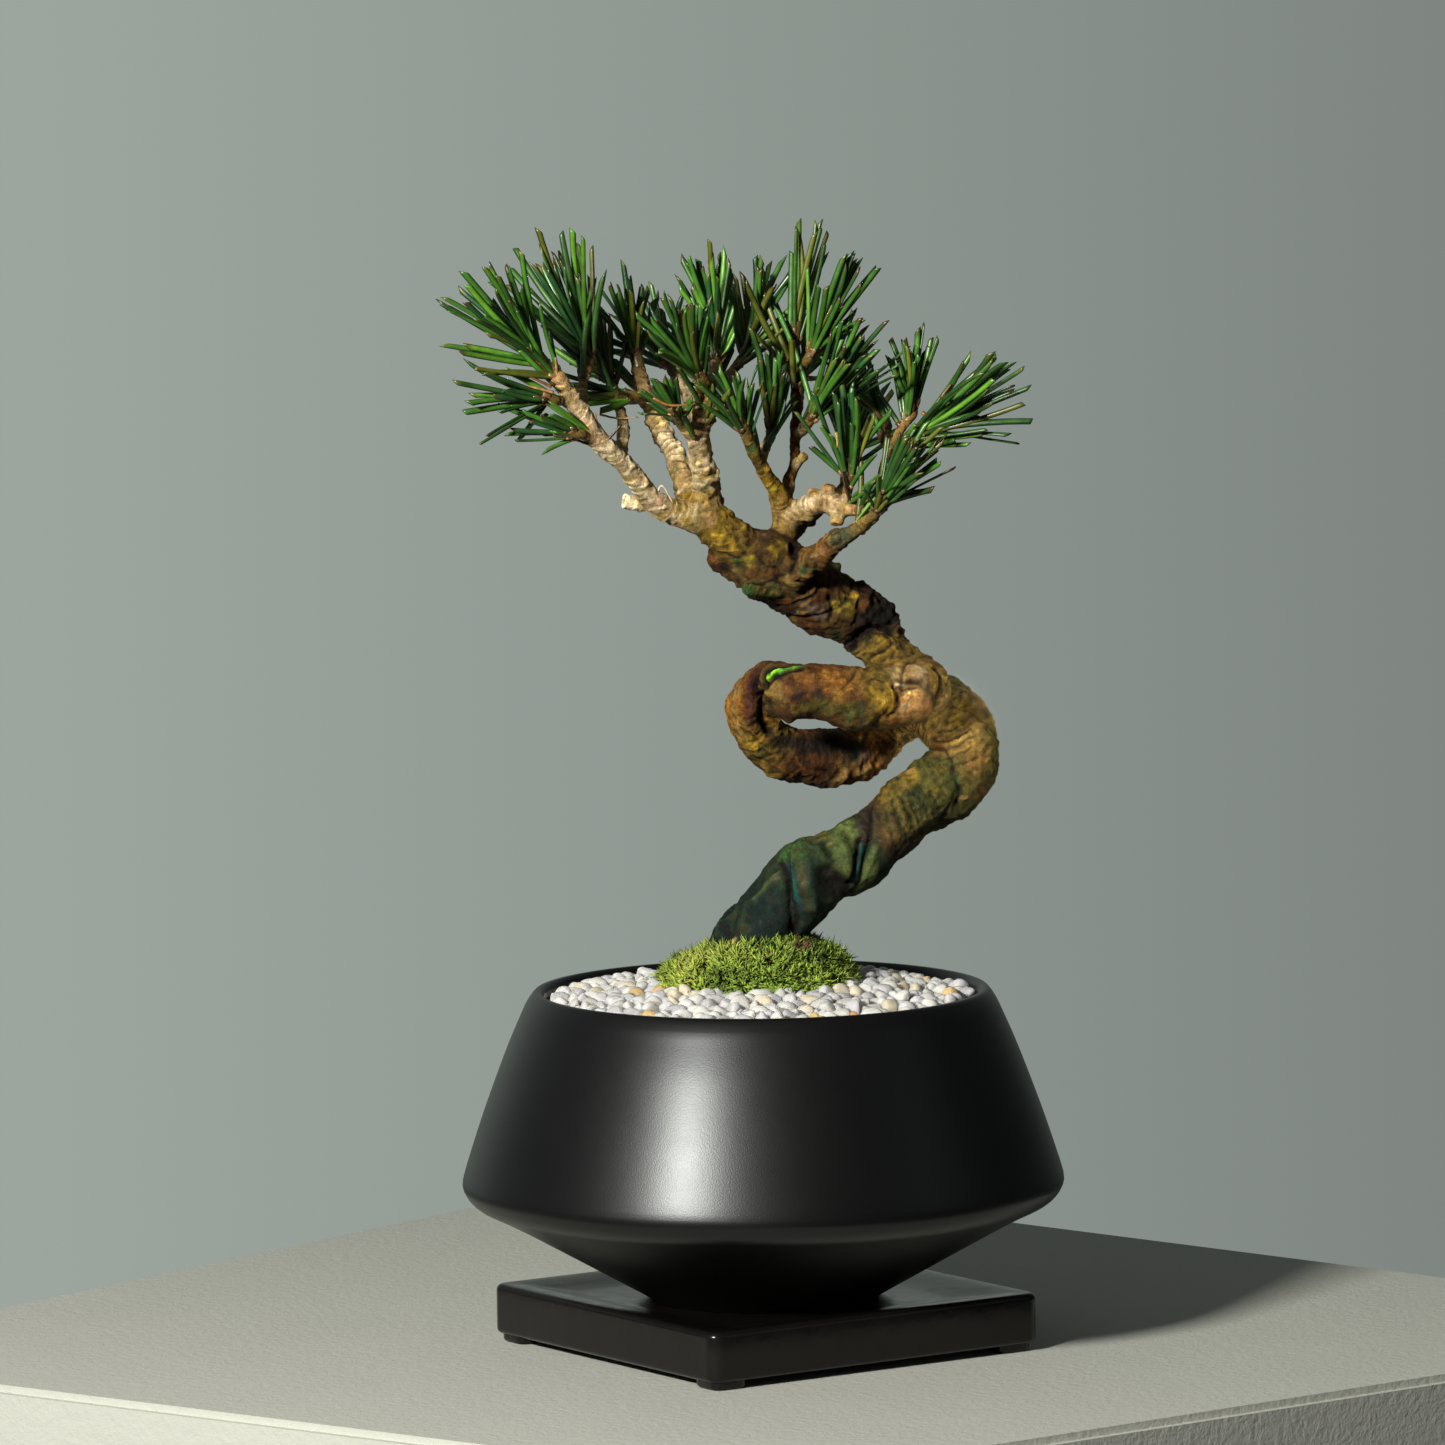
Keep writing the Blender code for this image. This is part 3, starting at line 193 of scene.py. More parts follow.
Spray = namedtuple("Spray", "limb towards spread needles shortest longest")
SPRAYS = [
    Spray("left_branch", (-0.67, -0.22, 0.71), 32, 25, 0.0145, 0.0225),
    Spray("left_twig_upper", (-0.95, -0.30, 0.13), 12, 7, 0.013, 0.017),
    Spray("left_twig_lower", (-0.96, -0.24, 0.13), 14, 7, 0.010, 0.014),
    Spray("left_twig_inner", (-0.38, 0.17, 0.91), 27, 24, 0.017, 0.0245),
    Spray("mid_left_branch", (-0.17, 0.26, 0.95), 30, 19, 0.009, 0.0165),
    Spray("mid_left_twig", (-0.90, -0.42, 0.04), 18, 8, 0.010, 0.014),
    Spray("mid_right_branch", (-0.36, -0.26, 0.90), 33, 22, 0.012, 0.018),
    Spray("mid_right_twig", (-0.10, 0.09, 0.99), 22, 18, 0.010, 0.0165),
    Spray("top_twig", (0.28, 0.26, 0.92), 28, 17, 0.010, 0.017),
    Spray("second_stem", (-0.36, -0.34, 0.87), 30, 14, 0.009, 0.014),
    Spray("pale_twig", (0.05, -0.09, 0.99), 19, 12, 0.010, 0.018),
    Spray("red_twig", (0.13, 0.09, 0.99), 11, 11, 0.018, 0.0245),
    Spray("red_fork", (0.43, -0.17, 0.88), 18, 16, 0.015, 0.0205),
    Spray("red_side_twig", (0.50, -0.36, 0.79), 18, 16, 0.014, 0.0245),
    Spray("far_left_twig", (-0.47, 0.30, 0.83), 11, 5, 0.013, 0.018),
    Spray("far_twig", (0.03, 0, 1.00), 19, 13, 0.009, 0.0145),
    Spray("far_right_twig", (0.87, -0.17, 0.46), 25, 21, 0.014, 0.0225),
    Spray("right_twig", (0.02, -0.09, 0.99), 20, 16, 0.011, 0.018),
    Spray("right_branch", (0.70, -0.26, 0.67), 17, 15, 0.013, 0.020),
    Spray("low_branch", (0.40, -0.42, 0.81), 20, 11, 0.009, 0.016),
    Spray("back_left_branch", (-0.36, 0.50, 0.79), 36, 18, 0.012, 0.017),
    Spray("back_middle_branch", (0.07, 0.57, 0.82), 34, 18, 0.012, 0.016),
    Spray("back_right_branch", (0.18, 0.34, 0.92), 28, 16, 0.009, 0.015),
    Spray("mid_right_stub", (-0.38, -0.64, 0.66), 24, 8, 0.006, 0.010),
    Spray("red_back_twig", (0.14, 0.57, 0.81), 32, 15, 0.011, 0.016),
    Spray("left_twig_back", (-0.43, 0.50, 0.75), 32, 16, 0.012, 0.016),
]
SCAR_STARTS = 2               # grooves that wind round the trunk side by side
SOIL_LINE = 0.072             # the trunk has no grooves below this height
BRANCH_STEP = 0.0048          # the frame's own spacing, by which its needles are placed
SWELL = 0.07                  # how much the trunk swells between two grooves
LOWER_SCARS = [0.0240, 0.0408, 0.0573, 0.0809, 0.0960, 0.1110, 0.1260, 0.1420, 0.1560]
LOWER_DEPTHS = [0.6, 1.5, 1.4, 1.0, 0.35, 0.25, 0.25, 0.3, 0.5]
FRONT_SCARS = [0, 0.0145, 0.0255, 0.0375]
UPPER_SCARS = [0.0030, 0.0185, 0.0300, 0.0420, 0.0540]
TRUNK = {
    "lower": (LOWER_TRUNK, (LOWER_SCARS, LOWER_DEPTHS)),
    "front": (FRONT_TRUNK, (FRONT_SCARS, [0.2, 0.35, 0.9, 0.4])),
    "upper": (UPPER_TRUNK, (UPPER_SCARS, [0.5, 1.3, 0.6, 0.6, 0.5])),
}
# The rule by which the frame's needles are placed, with its values
NEEDLE_TIP = 0.00068
NEEDLE_CLEARANCE = 0.0004     # from other sprays and limbs
NEEDLE_TRIES = 60
STRAY_SHARE = 0.12            # of needles, which lean out farther, by STRAY_LEAN degrees
STRAY_LEAN = (6, 20)
CORE_STRAIGHT = 0.0012
CORE_LENGTH = 0.0065
CORE_TIP = 0.0012
ROOT_OFFSET = 0.0009
GAP = 0.0003                  # between a limb's end and its spray's core
GOLDEN_ANGLE = math.radians(137.5)
SEED = 41

# Colours of the wood, linear
WOOD = {
    "teal": (0.0030, 0.0130, 0.0098), "teal_blue": (0.0030, 0.0160, 0.0160),
    "green_dull": (0.017, 0.030, 0.010), "green": (0.022, 0.080, 0.016),
    "sage": (0.060, 0.085, 0.022), "olive": (0.058, 0.054, 0.007),
    # The near-black colour is soot in the fine specks and dry bits, and painted shade in most
    # patches and strokes that use it
    "moss_dark": (0.012, 0.020, 0.005), "soot_and_painted_shade": (0.006, 0.004, 0.002),
    "plum": (0.030, 0.015, 0.014), "rust": (0.085, 0.028, 0.005),
    "rust_light": (0.190, 0.078, 0.015), "rust_dark": (0.034, 0.012, 0.003),
    "ochre": (0.180, 0.112, 0.014), "gold": (0.330, 0.200, 0.014),
    "yellow": (0.380, 0.260, 0.030), "lemon": (0.430, 0.340, 0.022),
    "tan": (0.270, 0.160, 0.040), "brown": (0.090, 0.050, 0.010),
    "orange": (0.260, 0.105, 0.010), "salmon": (0.370, 0.205, 0.070),
    "cream": (0.720, 0.560, 0.310), "pink": (0.480, 0.260, 0.150),
    "lilac": (0.100, 0.072, 0.055), "mint": (0.150, 0.340, 0.150),
    "teal_grey": (0.060, 0.090, 0.055), "pale": (0.850, 0.700, 0.430),
    "teal_bright": (0.007, 0.050, 0.044), "mist": (0.060, 0.070, 0.045),
    "wine": (0.050, 0.013, 0.011),
    "sage_light": (0.130, 0.175, 0.045), "lime": (0.260, 0.760, 0.025),
    "lime_dark": (0.080, 0.330, 0.035),
}
# How strongly each stretch of trunk is wrinkled across, at these shares of its length
WRINKLES = {
    "lower": [
        (0, 0.04), (0.36, 0.12), (0.42, 0.45), (0.56, 0.45), (0.60, 0.9), (0.70, 0.8), (0.76, 0.4),
        (1, 0.35),
    ],
    "front": [(0, 0.22), (0.15, 0.08), (1, 0)],
    "upper": [(0, 0), (0.10, 0.3), (0.16, 0.9), (0.30, 0.8), (0.40, 0.35), (1, 0.25)],
}
# How each limb's colour runs from its start (0) to its end (1)
RUNS = {
    "lower": [
        (0, "teal"), (0.23, "teal"), (0.28, "green_dull"), (0.33, "sage"), (0.38, "green_dull"),
        (0.40, "plum"), (0.43, "brown"), (0.47, "olive"), (0.52, "olive"), (0.55, "olive"),
        (0.59, "tan"), (0.70, "tan"), (0.745, "rust_light"), (0.79, "brown"), (0.81, "rust_dark"),
        (0.85, "rust"),
        (0.90, "ochre"), (0.95, "orange"), (1, "rust"),
    ],
    "front": [
        (0, "brown"), (0.2, "rust"), (0.45, "rust_light"), (0.6, "ochre"), (0.8, "tan"), (1, "tan"),
    ],
    "upper": [
        (0, "tan"), (0.14, "ochre"), (0.26, "ochre"), (0.34, "soot_and_painted_shade"), (0.43, "rust_dark"),
        (0.50, "brown"),
        (0.61, "rust"), (0.72, "rust_dark"), (0.9, "brown"), (1, "rust"),
    ],
    "left_stem": [(0, "brown"), (0.35, "ochre"), (1, "gold")],
    "left_branch": [(0, "gold"), (0.10, "cream"), (0.5, "pale"), (1, "salmon")],
    "left_stub": [(0, "cream"), (1, "pale")],
    "second_stem": [
        (0, "brown"), (0.15, "ochre"), (0.4, "tan"), (0.6, "gold"), (0.8, "ochre"), (1, "olive"),
    ],
    "red_twig": [(0, "tan"), (0.4, "rust_light"), (1, "rust")],
    "red_fork": [(0, "rust_light"), (1, "rust")],
    "low_branch": [
        (0, "brown"), (0.5, "rust_light"), (0.72, "teal_grey"), (0.85, "tan"), (1, "tan"),
    ],
    "dark_stub": [(0, "soot_and_painted_shade"), (1, "soot_and_painted_shade")],
    "low_stub": [(0, "brown"), (1, "green")],
    "back_left_branch": [(0, "brown"), (0.3, "tan"), (1, "cream")],
    "back_right_branch": [(0, "brown"), (0.4, "tan"), (1, "tan")],
    "far_twig": [(0, "tan"), (0.5, "salmon"), (1, "tan")],
}
PLAIN_RUN = [(0, "tan"), (0.4, "cream"), (1, "salmon")]
# On the side of the wood that faces the front, in millimetres. Patches: x, z and radius, by colour
PATCHES = {
    "green_dull": [
        (-5.8, 87.4, 1.8), (3, 94.6, 1.6), (11, 99.3, 2.4), (19.1, 130.2, 1.2), (8.9, 95.5, 1.6),
    ],
    "teal": [
        (-2.1, 84.5, 2.8), (0.9, 89.4, 4.4), (38.4, 114.6, 0.7),
    ],
    "pink": [
        (-5.5, 82.4, 0.8), (0.8, 162.9, 0.8), (-14.5, 169.5, 1.2), (-19, 170.5, 1.0),
        (-9.0, 166.0, 1.2), (-26.0, 178.0, 1.2),
    ],
    "teal_blue": [
        (5.2, 95.9, 1.4), (6.9, 90.4, 1.4), (8.4, 85.1, 1.4), (20.1, 99.1, 1.2), (19.1, 95.1, 1),
    ],
    "olive": [
        (41.0, 112.6, 1.4), (33.9, 107.2, 2), (0.3, 118.5, 2), (12.2, 129.6, 2), (18.1, 128.7, 2),
        (19.1, 125.1, 1.6), (-10.3, 172.1, 1), (-15.6, 176.8, 0.8), (-1.5, 182, 0.8),
        (26.9, 112.1, 1.4), (32.9, 106.5, 1), (25.9, 118.3, 1.6),
    ],
    "green": [
        (7, 99.9, 2.4), (15.5, 142.4, 0.8), (9.8, 156.4, 1), (-3.8, 157.6, 1), (-1.7, 152.4, 1.2),
        (-15.5, 175.4, 1), (-0.6, 180, 1), (23.7, 145.7, 0.6), (16.1, 142.4, 1),
    ],
    # The near-black patches are mostly painted shade in crevices, inside the loop and beside the
    # knob
    "soot_and_painted_shade": [
        (13.5, 94, 2.6), (15.9, 91.4, 2), (39.9, 111.5, 0.8), (34.9, 130.4, 2), (32.7, 125, 1.6),
        (45.6, 126.6, 1.2), (18.3, 117.7, 2), (13.3, 120, 2.4), (3.4, 136.4, 1.2), (22.4, 144.2, 2),
        (26.1, 146.7, 2), (7.7, 159.7, 1.6), (14.7, 155.4, 1.6), (-6.2, 156.3, 1.2),
    ],
    "sage": [
        (16.5, 100.1, 2.4), (18, 103.4, 1.8), (17.1, 95.8, 1.6), (21.5, 96.4, 1.8),
        (26.6, 109.5, 1.2),
    ],
    "plum": [
        (21.2, 104.7, 1.8), (20.3, 101.9, 1.4), (-1.2, 125.6, 1.8), (7.7, 132.4, 1),
        (12.2, 132.5, 0.8), (31, 134.2, 1), (21.4, 141.6, 1), (21, 103.8, 1.6),
    ],
    "ochre": [
        (26, 109.6, 2.4), (30, 113.5, 2.4), (34.9, 111.6, 1.8), (36, 115.4, 1.8),
        (-2.6, 122.7, 1.4), (23.6, 133, 1.4), (24.4, 139.2, 2.6),
    ],
    "rust": [
        (25.5, 103.9, 2.4), (25.9, 100.8, 1.8), (8.3, 116.3, 2.4), (12.2, 115, 1.6),
        (-1.9, 130.1, 1.8), (20.9, 148.1, 1.2), (2.7, 156.4, 1.2), (21.7, 145.8, 0.6),
    ],
    "moss_dark": [
        (31.5, 110.7, 1.8), (9.6, 152.8, 1.2), (31.5, 111.3, 1), (22, 141, 1),
    ],
    "tan": [
        (41.6, 121.6, 2.4), (30.4, 114.4, 1.2), (38.1, 121.2, 2.8), (25.4, 114.7, 1.4),
        (20.2, 113.5, 1), (-4.1, 131.9, 1.4), (3.4, 133.4, 1.6), (24, 124.9, 1.6),
        (21.4, 138.1, 1.6), (9.6, 148.5, 1.6), (6.6, 154, 1.2), (5.8, 163.4, 1.4), (-8, 168.1, 1.4),
        (8.8, 166.4, 1.4), (34.1, 136.5, 1), (4.3, 131.2, 1.4), (13.9, 141.6, 0.6),
        (17.3, 140.8, 0.8), (-3.6, 155.6, 1),
    ],
    "mint": [
        (39.9, 114, 0.6), (9.6, 156.6, 1),
    ],
    "brown": [
        (44.0, 111.2, 2.0), (26.3, 119.2, 2), (6.3, 119.4, 2), (1.5, 137, 1.6), (7.3, 129, 1.6),
        (18.5, 151.2, 2), (7.6, 145.3, 1.8), (14.5, 143.8, 1.8), (10.6, 157.3, 2), (-1.3, 155, 2.4),
        (1.1, 153.2, 1.6), (-2.2, 162, 1.6), (9.8, 158.2, 1.4),
    ],
    "yellow": [
        (40.4, 127.8, 1), (39.1, 125.4, 1), (-1.2, 120.6, 1.4),
    ],
    "rust_light": [
        (43.0, 117.6, 2.2), (41.6, 125.8, 2.4), (36.1, 120, 1.8), (17.2, 113.3, 0.8),
        (8.3, 135.4, 1.6), (13.5, 159.4, 1.6), (-8.1, 158.9, 1.2), (-8, 173.6, 1),
        (26.6, 126.3, 1.2), (10.7, 135, 1.4), (6.3, 133.1, 1), (35.7, 119.2, 1.2),
        (20.9, 148.1, 0.8), (-0.9, 155.8, 1.2),
    ],
    "orange": [
        (-4.9, 126.8, 1.2), (14.2, 135.9, 1.8), (17.2, 134, 1.6), (6.6, 149.6, 0.8),
        (15.2, 133.1, 1.2), (6.2, 149.8, 1),
    ],
    "gold": [
        (25.6, 130.9, 2), (26.4, 141.1, 1.0), (16.1, 148.8, 0.8), (19.3, 150, 1),
        (-8.1, 163.2, 1.6), (-5.1, 161.1, 1.4), (4.7, 160.2, 1.6), (3.7, 159.3, 1),
        (-18.9, 167.4, 1.2), (-13.4, 165.6, 1.2), (-9.9, 175.1, 1.2), (-9.8, 170.5, 1.2),
        (1.9, 175.8, 1), (23.2, 132.2, 1.4), (25, 129.7, 1.4), (31, 113.6, 1),
    ],
    "salmon": [
        (30.9, 130.7, 2.6), (-15.9, 168.3, 1.2), (13.1, 169.1, 1.8), (30.3, 130.2, 1.6),
        (28.9, 128.3, 1.6), (31.5, 131.8, 1.4),
    ],
    "cream": [
        (32, 136.3, 1.6), (27.1, 135.8, 1.2), (-22.8, 169.3, 1.2), (-25.6, 170.1, 0.8),
        (28.7, 129.6, 0.8),
    ],
    "lemon": [
        (18.5, 147.6, 1), (15.7, 148.2, 1), (13.8, 162.3, 0.6), (-1.4, 158.1, 0.8), (3.3, 171.6, 1),
    ],
    "lilac": [
        (12.5, 147.2, 1.8),
    ],
    "teal_grey": [
        (16.1, 162.9, 1.4),
    ],
    "rust_dark": [
        (-0.2, 163.6, 1.6), (24.1, 101.5, 1),
    ],
    "mist": [
        (8.7, 95.3, 1.4), (3.2, 95, 1), (17.1, 97.9, 0.8),
    ],
    "sage_light": [
        (7.4, 150.9, 0.6), (8, 147, 0.5),
    ],
}
# Bumps and hollows: x, z, radius and height
BOSSES = [
    (6.3, 100.1, 2.6, 0.9), (-7.6, 85.5, 2.8, 1), (13.8, 86.3, 2.6, -1.3), (11.4, 83.9, 2, -0.8),
    (27.3, 97.1, 2.8, -0.6), (24.9, 111.7, 3, 0.8), (39.5, 108.1, 1.8, -0.8), (39.9, 111.5, 1, -1),
    (37.6, 115.8, 1, -0.5), (43.5, 111.2, 2.4, 0.4), (31.9, 139.1, 2.4, -1.6),
    (37.6, 133.5, 1.6, -1.1), (29.1, 137.3, 2, 0.5), (16.9, 139.2, 2.4, 1.1),
    (19.9, 136.8, 1.6, 0.9), (6.6, 145.2, 2, 0.7), (27.1, 146.2, 2.4, 0.7), (1.1, 149.4, 1.8, -0.7),
    (6.3, 126.7, 1.6, 1.2), (4, 125.9, 1.4, 0.9), (25.3, 114.4, 2.4, 0.8), (21.9, 112.7, 1.8, 0.5),
    (29.9, 120.5, 1.6, -0.9), (15.8, 112.2, 1.2, 0.5), (9.4, 113.3, 1.2, -0.4),
    (-0.7, 115.1, 1.6, -0.4), (25.2, 131.1, 2, 0.5), (27.4, 130.8, 0.8, -0.7),
    (26.6, 128, 0.8, -0.5), (26.6, 133.6, 0.8, -0.5), (30.4, 134.6, 1, -0.9),
    (28, 133.9, 0.8, 0.35), (32.3, 129.6, 2.4, 0.4), (2.8, 133, 1.8, 0.4), (0.8, 133.2, 0.8, -0.9),
    (1.6, 130, 0.8, -0.8), (2.2, 135.9, 0.8, -0.9), (4.8, 137.6, 0.8, -0.7),
    (8.3, 132.4, 1.2, 0.35), (15.4, 135.7, 1.6, 0.3), (19.7, 133.1, 1, -0.4),
    (14.5, 128.7, 1.6, 0.35), (21.2, 126.5, 1.6, 0.4), (0.5, 137, 1.6, 0.4),
    (-4.7, 130, 1.8, -0.25), (-1.2, 127.7, 1.2, 0.4), (14.3, 93.7, 2.4, -0.9),
    (12.3, 96.1, 1.4, -0.5), (9.5, 93.5, 1.6, 0.7), (10.2, 89.4, 1.6, 0.6), (17.1, 100.1, 2, 0.6),
    (17.5, 95.2, 1.4, 0.5), (22.3, 95.4, 1.8, 0.5), (-3.1, 85.4, 2, 0.3), (-1.6, 88.8, 1.6, -0.3),
    (28.9, 109.7, 1.8, 0.4), (33.5, 112, 1.8, 0.4), (26.5, 106.8, 1.4, -0.4),
    (30.9, 106.8, 1.4, -0.35), (25.9, 102.3, 1.6, 0.4), (38.2, 126, 1.6, 0.4),
    (43, 120.3, 1.6, 0.35), (34.9, 130.4, 1.6, -0.4), (25.2, 140, 1.8, 0.4),
    (20.8, 143.2, 1.4, -0.7), (24.4, 143.4, 1.2, -0.6), (17.7, 140.8, 1, -0.4),
    (17.5, 147.4, 1.8, 0.5), (11.5, 147.2, 2.2, 0.5), (21.7, 149.1, 1.6, 0.45),
    (14.5, 149.6, 1, -0.4), (16.1, 145, 1.2, -0.4), (11, 151.7, 1.4, 0.4), (16.3, 155.3, 1, 1.1),
    (14.5, 158.3, 1, 0.9), (13, 154.3, 1, 0.6), (17.8, 153.4, 1.6, -0.8), (-7.6, 157.5, 1.6, 0.6),
    (-6, 153.9, 1.4, 0.4), (-1.3, 155.7, 1.8, 0.5), (3.1, 153.6, 1.6, 0.4), (1.1, 158, 1.2, -0.6),
    (-3.6, 156.8, 1, -0.4), (2.8, 160.3, 1.2, 0.4), (7.9, 158.8, 1.4, -1), (9.6, 154.9, 1.2, 0.5),
    (-3.6, 162.1, 0.8, -0.4), (-1.2, 162.7, 0.8, -0.4), (-5.5, 161.1, 0.8, -0.4),
    (-2.3, 163.9, 1, 0.3), (15.9, 162.5, 1.4, 0.6), (12.2, 158.3, 1.2, 0.4), (3.4, 96.4, 1.2, -0.8),
    (3.2, 96.9, 0.8, 0.3), (21.6, 141.6, 1.2, 0.5), (27.5, 143.6, 1.2, 0.9), (4, 125.9, 0.8, 0.6),
    (1.8, 132.5, 1, 0.4), (24.8, 130.9, 1.8, 0.35), (31.5, 111.3, 1.2, -0.45),
    (29, 112.5, 1.4, 0.35), (7.7, 158.8, 1.2, -0.6), (10.2, 89.4, 1.2, 0.4),
]
